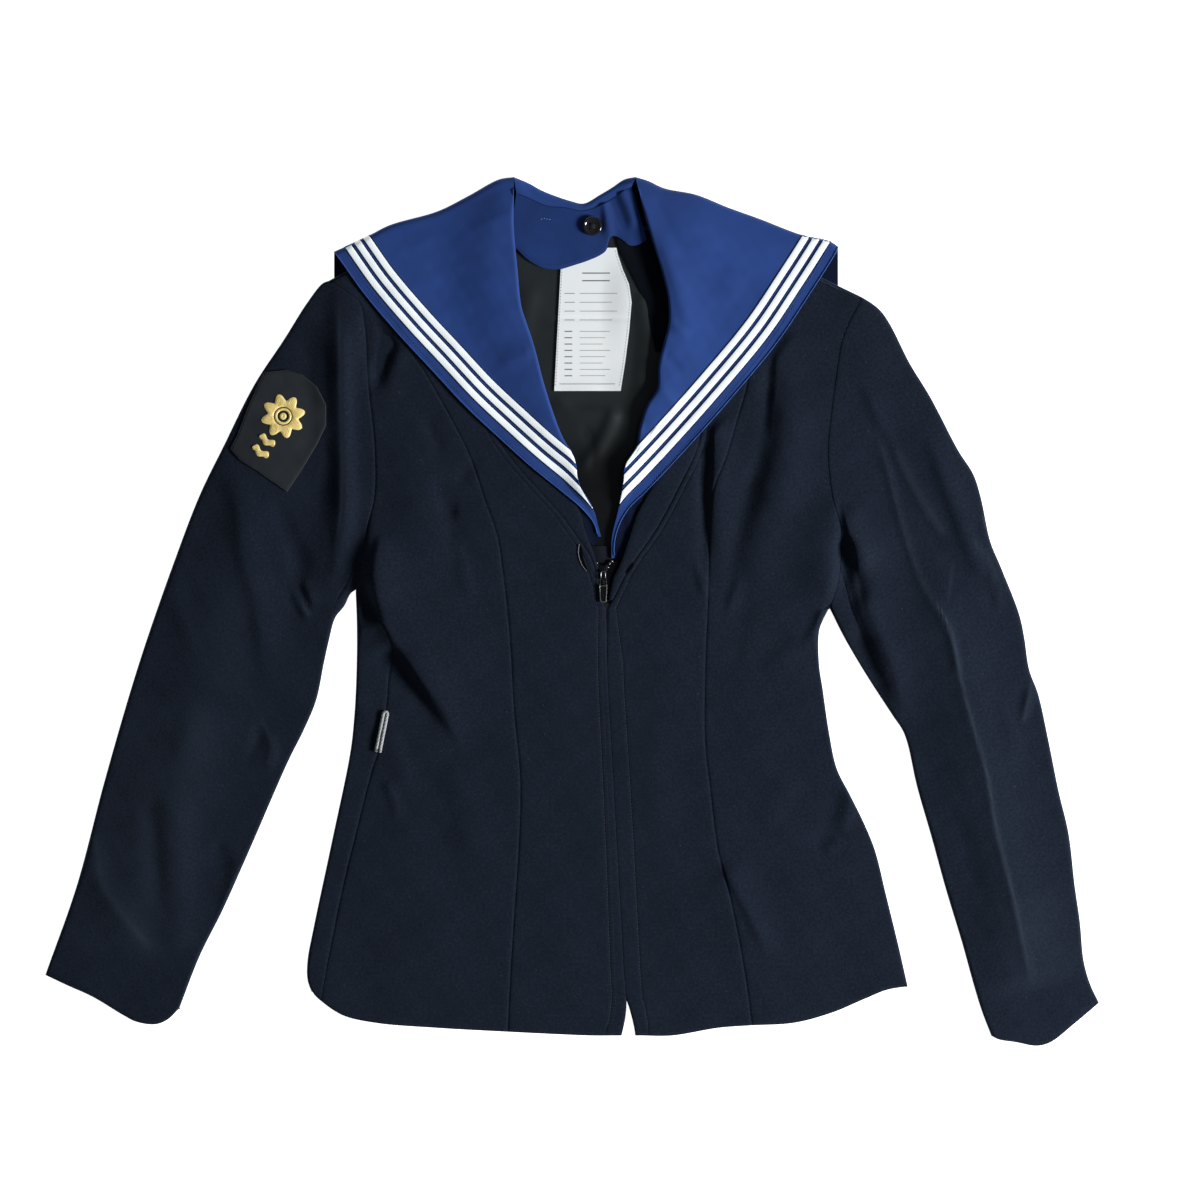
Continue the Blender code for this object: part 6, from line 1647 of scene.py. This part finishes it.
def extrude(name, loops, low, high, look, slot, body="garment", bevel=0.15, replaces=None):
    """A flat plate from an outline and holes, with rounded edges."""
    work = bmesh.new()
    edges = []
    for loop in loops:
        ring = [work.verts.new((x * MM, y * MM, low * MM)) for x, y in loop]
        edges += [work.edges.new((ring[i - 1], ring[i])) for i in range(len(ring))]
    faces = bmesh.ops.triangle_fill(work, edges=edges, use_beauty=True)["geom"]
    faces = [f for f in faces if isinstance(f, bmesh.types.BMFace)]
    raised = bmesh.ops.extrude_face_region(work, geom=faces)["geom"]
    for vert in raised:
        if isinstance(vert, bmesh.types.BMVert):
            vert.co.z = high * MM
    bmesh.ops.recalc_face_normals(work, faces=work.faces)
    mesh = bpy.data.meshes.new(name)
    work.to_mesh(mesh)
    work.free()
    mesh.uv_layers.new(name="cloth")
    if bevel:
        holder = put("holder", mesh)
        change = holder.modifiers.new("edges", "BEVEL")
        change.width, change.segments = bevel * MM, 2
        change.angle_limit = 0.6
        mesh = bpy.data.meshes.new_from_object(
            holder.evaluated_get(bpy.context.evaluated_depsgraph_get()))
        bpy.data.objects.remove(holder)
        mesh.name = name
        mesh.materials.clear()
    smooth(mesh, 0.7)
    return place(name, mesh, look, slot, replaces, body)


def ring_of(points, corner=6):
    return [tuple(p) for p in Line(tuple(points) + (points[0],), corner).points[:-1]]


# slider: body with shoulders, post and a raised bridge; the coil's top stops above it
SLIDER_X = 24.5


def on_slider(*points):
    """Points whose first number is the distance from the slider's middle line."""
    return [(SLIDER_X + across, *rest) for across, *rest in points]


slider_body = ring_of(on_slider(
    (-3.0, 38.6), (-3.4, 36.0), (-2.5, 31.6), (-2.2, 27.0), (0, 26.2), (2.2, 27.0),
    (2.5, 31.6), (3.4, 36.0), (3.0, 38.6), (1.2, 37.4), (0, 36.9), (-1.2, 37.4)), 3)
extrude("slider_body", [slider_body], 4.4, 7.4, STEEL, "dark_metal", bevel=0.35,
        replaces="zip_slider")
bend = [(SLIDER_X + 1.75 * math.cos(a), 30.9 + 1.75 * math.sin(a), 10.05)
        for a in np.linspace(0, math.pi, 11)]
arch = (on_slider((1.75, 26.9, 7.3), (1.75, 27.0, 9.3), (1.75, 27.6, 10.0)) + bend
        + on_slider((-1.75, 27.6, 10.0), (-1.75, 27.0, 9.3), (-1.75, 26.9, 7.3)))
tube("slider_arch", arch, 0.38, BRIGHT, "dark_metal", 8)
tube("slider_post", on_slider((0, 32.6, 10.0), (0, 33.2, 9.2), (0, 33.5, 8.2), (0, 33.5, 7.2)),
     0.5, STEEL, "dark_metal", 8)
# the neck of the pull turns on a bar that goes under the arch
neck = on_slider((-2.3, 22.2, 9.2), (-2.5, 25, 9.1), (-2.5, 27.6, 9.0), (-2.35, 28.2, 9.0),
                 (-1.9, 28.4, 9.0))
neck += [(2 * SLIDER_X - x, y, z) for x, y, z in neck[::-1]]
tube("pull_neck", neck, 0.3, STEEL, "dark_metal", 8, "zip_pull")
stops = np.array(on_slider((-4.9, 39.0, 5.2), (-4.4, 36.4, 5.2), (5.2, 38.8, 5.2),
                           (3.9, 36.0, 5.2), (6.9, 40.6, 5.2)))
boxes("zip_stops", stops - (0.8, 0.9, 0.4), stops + (0.8, 0.9, 1.3), BRIGHT, "dark_metal",
      bevel=0.3)

# pull: a bright frame round a darker plate, an eye at the top and a slot at the foot
outer = ring_of(((21.2, 21.6), (22.0, 9.0), (22.9, 8.1), (24.5, 7.9), (26.1, 8.1),
                 (27.0, 9.0), (27.8, 21.6), (27.3, 22.8), (26.7, 22.6), (26.3, 21.5),
                 (22.7, 21.5), (22.3, 22.6), (21.7, 22.8)), 1)
inset = ring_of(((22.0, 20.7), (22.75, 9.8), (23.3, 9.0), (24.5, 8.9), (25.7, 9.0),
                 (26.25, 9.8), (27.0, 20.7)), 1)
slot_hole = ring_of(((23.8, 14.6), (23.8, 11.8), (24.5, 11.2), (25.2, 11.8), (25.2, 14.6),
                     (24.5, 15.2)), 3)
extrude("pull_frame", [outer, inset], 8.5, 9.9, BRIGHT, "dark_metal", "zip_pull", 0.2,
        replaces="zip_pull")
extrude("pull_plate", [inset, slot_hole], 8.7, 9.2, STEEL, "dark_metal", "zip_pull", 0.0)


# ================================================================ badge, loop, button
BADGE_OUTLINE = ((-243, 190), (-226, 192), (-213, 188), (-201, 178), (-194, 164), (-194, 148),
                 (-201, 133), (-213, 113), (-225, 95), (-238, 104), (-248, 111), (-262, 120),
                 (-270, 129), (-264, 141), (-256, 162), (-249, 178))
BADGE_WALL = 1.2


def badge_height(x, y):
    edge = near(badge_line, x, y)[0]
    gap = edge_gap(x, y)
    return (skin(x, y, np.ones_like(x), np.maximum(gap, 2.0)) + 0.25
            + BADGE_WALL * np.sqrt(np.clip(edge / 1.2, 0.05, 1)))


badge_line = np.concatenate([np.array(BADGE_OUTLINE, float), [BADGE_OUTLINE[0]]])


def build_badge():
    corners = np.array(BADGE_OUTLINE, float)
    ring = []
    for a, b in zip(corners, np.roll(corners, -1, 0)):
        count = max(int(np.linalg.norm(b - a) / 1.5), 1)
        ring += [a + (b - a) * k / count for k in range(count)]
    ring = np.array(ring)
    middle = ring.mean(0)
    shares = [1, 0.99, 0.975, 0.955, 0.92] + list(np.linspace(0.88, 0, 22))
    grid = np.stack([middle + (ring - middle) * f for f in shares])
    grid = np.concatenate([grid, grid[:, :1]], 1)
    x, y = grid[..., 0], grid[..., 1]
    shell("badge_patch_cloth", np.stack([x, y, badge_height(x, y)], -1), 0.9, FELT,
          "badge_felt", -0.4, np.ones_like(x), "badge_patch")
    run = middle + (ring - middle) * 0.985
    run = np.concatenate([run, run[:1]])
    z = badge_height(run[:, 0], run[:, 1]) + 0.1
    stitches("badge_edge", np.concatenate([run, z[:, None]], 1), 1.7, 1.5, 0.6, FELT_EDGE,
             "badge_felt")


build_badge()
ROSETTE_AT, ROSETTE_RADIUS, PETALS = (-228, 155), 17.5, 8


def relief(name, outline, inner, lift, replaces=None, rings=6, crown=0.7):
    """Embroidery: raised in the middle and falling to both of its edges."""
    share = np.linspace(0, 1, rings)[:, None, None]
    grid = outline[None] + (inner - outline)[None] * share
    grid = np.concatenate([grid, grid[:, :1]], 1)
    x, y = grid[..., 0], grid[..., 1]
    rise = crown * np.sin(np.pi * np.linspace(0.02, 0.98, rings))[:, None] ** 0.5
    z = badge_height(x, y) + lift + rise
    return shell(name, np.stack([x, y, z], -1), 0.5, GLOWING_GOLD, "gold_thread", 0.5,
                 np.ones_like(x), replaces)


def build_rosette():
    turn = np.linspace(0, 2 * math.pi, 161)[:-1]
    petal = 0.5 + 0.5 * np.cos(PETALS * turn)
    radius = ROSETTE_RADIUS - 5.2 * (1 - petal ** 0.8)
    ray = np.stack([np.cos(turn + 0.2), np.sin(turn + 0.2)], 1)
    centre = np.array(ROSETTE_AT)
    relief("badge_rosette_cloth", centre + ray * radius[:, None], centre + ray * 7.4, 0.0,
           "badge_rosette", 10, 0.9)
    relief("badge_rosette_ring", centre + ray * 6.6, centre + ray * 4.6, 0.1)
    relief("badge_rosette_heart", centre + ray * 2.7, centre + ray * 0.05, 0.0)
    rows = []
    for k in range(PETALS):
        for way in (-0.16, -0.05, 0.05, 0.16):
            a = 0.2 + 2 * math.pi * k / PETALS + way
            for r in np.arange(8.4, 15.6 - 9 * abs(way), 1.0):
                rows.append((centre[0] + r * math.cos(a), centre[1] + r * math.sin(a), a))
    rows = np.array(rows)
    z = badge_height(rows[:, 0], rows[:, 1]) + 0.92
    at = np.stack([rows[:, 0], rows[:, 1], z], -1)
    ahead = np.stack([np.cos(rows[:, 2]), np.sin(rows[:, 2]), 0 * z], -1)
    grains("badge_rosette_thread", at, ahead, 1.5, 0.42, 0.5, GLOWING_GOLD, "gold_thread")


def build_bar(number, start, end):
    """A short wavy bar of the same thread."""
    start, end = np.array(start, float), np.array(end, float)
    along = (end - start) / np.linalg.norm(end - start)
    across = np.array([-along[1], along[0]])
    length = np.linalg.norm(end - start)
    t = np.linspace(0, 1, 30)
    middle = start + (end - start) * t[:, None] + across * (1.1 * np.sin(t * 9.4))[:, None]
    half = 2.6 * np.sqrt(np.clip(np.minimum(t, 1 - t) * length / 1.6, 0.1, 1))
    profile = np.linspace(-1, 1, 7)
    grid = middle[:, None] + across * (half[:, None] * profile[None])[..., None]
    x, y = grid[..., 0], grid[..., 1]
    z = badge_height(x, y) + 0.8 * np.sqrt(np.clip(1 - profile ** 2, 0.02, 1))[None]
    shell(f"badge_bar_{number}_cloth", np.stack([x, y, z], -1), 0.5, GLOWING_GOLD, "gold_thread",
          0.9, np.ones_like(x), f"badge_bar_{number}")


build_rosette()
build_bar(1, (-252, 131), (-240, 122.5))
build_bar(2, (-246.5, 139.5), (-235, 131.5))
LOOP_LOW, LOOP_HIGH = (-153.4, -110), (-147.4, -80)


def build_loop():
    """A hanger cord folded in two, sewn at its lower end and laid up the side seam."""
    low, high = np.array(LOOP_LOW, float), np.array(LOOP_HIGH, float)
    along = (high - low) / np.linalg.norm(high - low)
    across = np.array([-along[1], along[0]])
    t = np.linspace(0, 1, 26)
    up_side = low + (high - low) * t[:, None] + across * 1.5
    bend = [high + across * 1.5 * math.cos(a) + along * 1.7 * math.sin(a)
            for a in np.linspace(0.3, math.pi - 0.3, 7)]
    down = (low + (high - low) * t[:, None] - across * 1.5)[::-1]
    run = np.concatenate([up_side, bend, down])
    path = on_cloth(run[:, 0], run[:, 1], 1.25)
    cord = tube("side_loop_cord", path, 1.35, CORD, "pale_cord", 12)
    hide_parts("side_loop")
    foot = np.array([low + along * k + across * w for k in (0.6, 2.0) for w in (-2, 0, 2)])
    stitches("loop_sewing", on_cloth(foot[:, 0], foot[:, 1], 2.7), 1.6, 1.8, 0.5, THREAD)


build_loop()
BUTTON_AT, BUTTON_RADIUS, BUTTON_HOLE = (16, 305), 7.7, 0.95
BUTTON_PROFILE = ((0, 0.0), (0.7, 0.0), (0.93, 0.5), (0.995, 1.3), (1, 1.7), (0.97, 2.3),
                  (0.92, 2.7), (0.86, 2.9), (0.79, 2.85), (0.73, 2.55), (0.67, 2.15),
                  (0.58, 1.95))


def build_button():
    base = YOKE_Z + BLUE + LAY
    work = bmesh.new()
    sides = 64
    rings = []
    for r, z in BUTTON_PROFILE[1:]:
        rings.append([work.verts.new((
            (BUTTON_AT[0] + r * BUTTON_RADIUS * math.cos(a)) * MM,
            (BUTTON_AT[1] + r * BUTTON_RADIUS * math.sin(a)) * MM, (base + z) * MM))
            for a in (2 * math.pi * i / sides for i in range(sides))])
    for inner, outer in zip(rings, rings[1:]):
        for i in range(sides):
            j = (i + 1) % sides
            work.faces.new((inner[i], inner[j], outer[j], outer[i]))
    holes = []
    for dx in (-1, 1):
        for dy in (-1, 1):
            top, foot = [], []
            for i in range(16):
                a = 2 * math.pi * i / 16
                x = (BUTTON_AT[0] + 1.75 * dx + BUTTON_HOLE * math.cos(a)) * MM
                y = (BUTTON_AT[1] + 1.75 * dy + BUTTON_HOLE * math.sin(a)) * MM
                top.append(work.verts.new((x, y, (base + 1.9) * MM)))
                foot.append(work.verts.new((x, y, base * MM)))
            holes.append((top, foot))
    for level, outer in ((0, rings[-1]), (1, rings[0])):
        edges = [work.edges.get((outer[i - 1], outer[i])) for i in range(sides)]
        for pair in holes:
            ring = pair[level]
            edges += [work.edges.new((ring[i - 1], ring[i])) for i in range(16)]
        bmesh.ops.triangle_fill(work, edges=edges, use_beauty=True)
    for top, foot in holes:
        for i in range(16):
            work.faces.new((top[i - 1], top[i], foot[i], foot[i - 1]))
    bmesh.ops.recalc_face_normals(work, faces=work.faces)
    mesh = bpy.data.meshes.new("button_turned")
    work.to_mesh(mesh)
    work.free()
    mesh.uv_layers.new(name="cloth")
    smooth(mesh, 0.6)
    place("button_turned", mesh, BUTTON_BLACK, "black_button", "button")
    at, z = BUTTON_AT, base + 2.0
    for number, (sx, sy) in enumerate(((1, 1), (1, -1))):
        run = [(at[0] + sx * k, at[1] + sy * k, z + 0.55 * (1 - abs(k) / 1.75) - 0.3 * (
            abs(k) > 1.6)) for k in (-1.75, -1.5, -0.8, 0, 0.8, 1.5, 1.75)]
        for shift in (-0.3, 0.3):
            tube(f"button_thread_{number}_{int(shift > 0)}",
                 [(x + shift * sy, y - shift * sx, h) for x, y, h in run], 0.28,
                 THREAD, "collar_blue", 6)


build_button()


# ================================================================ label, yoke trim
def build_label_marks():
    """Plain bars, blank ruled lines and a stitched hem."""
    low, high = [], []

    def rule(x0, x1, y, thick=0.35):
        for k in range(int((x1 - x0) / 2)):
            a = x0 + 2 * k
            z = float(label_height(np.array(a + 1.0), np.array(y)))
            low.append((a, y - thick / 2, z - 0.1))
            high.append((a + 2.1, y + thick / 2, z + 0.06))

    for y in (268, 262):
        rule(8, 30, y, 0.9)
    for k, y in enumerate((252, 245, 238, 231)):
        rule(-6, 2, y, 0.5)
        rule(6, 36 - 4 * (k % 2), y, 0.4)
    for k, y in enumerate(range(222, 186, -5)):
        rule(-6, 0, y, 0.8)
        rule(6, 30 - 3 * (k % 3), y, 0.35)
    rule(-10, 34, 180.5, 0.5)
    boxes("label_rules", np.array(low), np.array(high), RULE_GREY, "label_cloth")
    levels = np.linspace(286.5, 177, 90)
    left = np.stack([table(LABEL_LEFT, levels) + 1.2, levels], 1)
    right = np.stack([table(LABEL_RIGHT, levels) - 1.2, levels], 1)
    for number, run in enumerate((left, right)):
        z = label_height(run[:, 0], run[:, 1]) + 0.05
        stitches(f"label_hem_{number + 1}", np.concatenate([run, z[:, None]], 1), 2.4, 1.5,
                 0.45, LABEL_THREAD, "label_cloth")


build_label_marks()


def build_yoke_trim():
    s = np.linspace(0.02, 0.98, 120)
    edge, seam = LINES["yoke_edge"].at(s), LINES["yoke_seam"].at(s)
    inset = edge + (seam - edge) / np.linalg.norm(seam - edge, axis=1)[:, None] * 3.2
    run = np.concatenate([inset, np.full((len(s), 1), YOKE_Z + BLUE + 0.12)], 1)
    stitches("yoke_stitch", run[8:60], 2.4, 1.9, 0.4, BLUE_THREAD, "collar_blue")
    marks = ((-25.3, 310.6), (-22.6, 311.2), (-20.4, 310.8), (-18.4, 310.4), (-16, 310.2))
    stitches("yoke_tack", np.array([(x, y, YOKE_Z + BLUE + 0.15) for x, y in marks]), 2.2,
             1.6, 0.5, PALE_THREAD, "collar_blue")
    line = np.concatenate([seam, np.full((len(s), 1), YOKE_Z + BLUE + 0.05)], 1)
    # the yoke seam drawn as a dark line: the seam itself, with painted shade where the neck
    # roll ends over it
    tube("yoke_seam_line", line, 0.3, SHADE_BLUE, "collar_blue", 6)


build_yoke_trim()


# ================================================================ flat cuts
COLLAR_TRIM = tuple(name for name in MADE if name.startswith(("tape_", "collar_edge")))
# piece, width, length, area of its cut in square metres, how it is held, nodes it rests
# on (none: the floor), pieces that go with it
SHEETS = (
    ("back_cloth", 0.46, 0.63, 0.240, "laid", (), ()),
    ("front_side_right_cloth", 0.16, 0.625, 0.062, "laid", ("back",), ()),
    ("front_side_left_cloth", 0.15, 0.615, 0.065, "laid", ("back",), ()),
    ("front_centre_right_cloth", 0.127, 0.665, 0.045, "laid", ("back",),
     ("opening_right", "opening_right_edge")),
    ("front_centre_left_cloth", 0.123, 0.655, 0.043, "laid", ("back",), ("opening_left",)),
    ("neck_band_right_cloth", 0.016, 0.32, 0.0046, "folded", ("back",), ()),
    ("neck_band_left_cloth", 0.0175, 0.31, 0.0051, "folded", ("back",), ()),
    ("sleeve_top_right_cloth", 0.165, 0.61, 0.083, "laid", ("sleeve_under_right",), ()),
    ("sleeve_top_left_cloth", 0.145, 0.61, 0.069, "laid", ("sleeve_under_left",), ()),
    ("sleeve_under_right_cloth", 0.12, 0.60, 0.060, "laid", (), ()),
    ("sleeve_under_left_cloth", 0.125, 0.595, 0.054, "laid", (), ()),
    ("collar_cloth", 0.40, 0.42, 0.134, "folded", ("front_centre_right", "front_side_right",
     "front_centre_left", "front_side_left"), COLLAR_TRIM),
    ("collar_yoke_cloth", 0.063, 0.109, 0.0046, "laid", ("neck_facing",),
     ("yoke_stitch", "yoke_tack", "yoke_seam_line")),
    ("collar_end_right", 0.015, 0.053, 0.00054, "laid", ("zip_guard",), ()),
    ("collar_end_left", 0.013, 0.058, 0.0006, "laid", ("zip_guard",), ()),
    ("lining_back_cloth", 0.163, 0.255, 0.033, "laid", ("back",), ()),
    ("neck_facing_cloth", 0.036, 0.107, 0.0029, "laid", ("lining_back",), ()),
    ("label_cloth", 0.059, 0.115, 0.0061, "laid", ("lining_back",),
     ("label_rules", "label_hem_1", "label_hem_2")),
    ("zip_tape_right_cloth", 0.012, 0.323, 0.0038, "laid", ("back",), ()),
    ("zip_tape_left_cloth", 0.012, 0.323, 0.0038, "laid", ("back",), ()),
    ("zip_guard_cloth", 0.0245, 0.0485, 0.00115, "laid", ("back",), ()),
    ("badge_patch_cloth", 0.063, 0.089, 0.0048, "laid", ("sleeve_top_right",),
     ("badge_edge", "badge_rosette_cloth", "badge_rosette_ring", "badge_rosette_heart",
      "badge_rosette_thread", "badge_bar_1_cloth", "badge_bar_2_cloth")),
)
for name, width, length, area, held, below, on_it in SHEETS:
    list(below)
    [MADE[other] for other in on_it]


# ================================================================ floor, light, camera
floor_mesh = bpy.data.meshes.new("floor")
floor_mesh.from_pydata([(-4, -4, 0), (4, -4, 0), (4, 4, 0), (-4, 4, 0)], [], [(0, 1, 2, 3)])
floor = put("floor", floor_mesh)
floor.location.z = -0.0004
floor_mesh.materials.append(new_material(
    "white_paper", (0.9, 0.9, 0.9), 0.9, Emission_Color=(1, 1, 1, 1),
    Emission_Strength=1.0)[0])

world = bpy.data.worlds.new("studio")
bpy.context.scene.world = world
world.use_nodes = True
world.node_tree.nodes["Background"].inputs["Color"].default_value = (0.9, 0.96, 1.0, 1)
world.node_tree.nodes["Background"].inputs["Strength"].default_value = 0.12
KEY_AT, KEY_AIM = Vector((2.70, -0.55, 1.30)), Vector((0.02, 0, 0))
key_data = bpy.data.lights.new("key", "AREA")
key_data.shape = "RECTANGLE"
key_data.size, key_data.size_y = 0.9, 0.7
key_data.energy = 150
key = put("key", key_data)
key.location = KEY_AT
key.rotation_euler = (KEY_AIM - KEY_AT).to_track_quat("-Z", "Y").to_euler()

CAMERA_HEIGHT, PICTURE_WIDTH, SENSOR = 6.0, 0.948, 36
camera_data = bpy.data.cameras.new("camera")
camera = put("camera", camera_data)
camera.location = (0.022, 0.010, CAMERA_HEIGHT)
camera_data.sensor_width = SENSOR
camera_data.lens = SENSOR * CAMERA_HEIGHT / PICTURE_WIDTH
camera_data.clip_end = 20
bpy.context.scene.camera = camera
bpy.context.scene.view_settings.view_transform = "Standard"
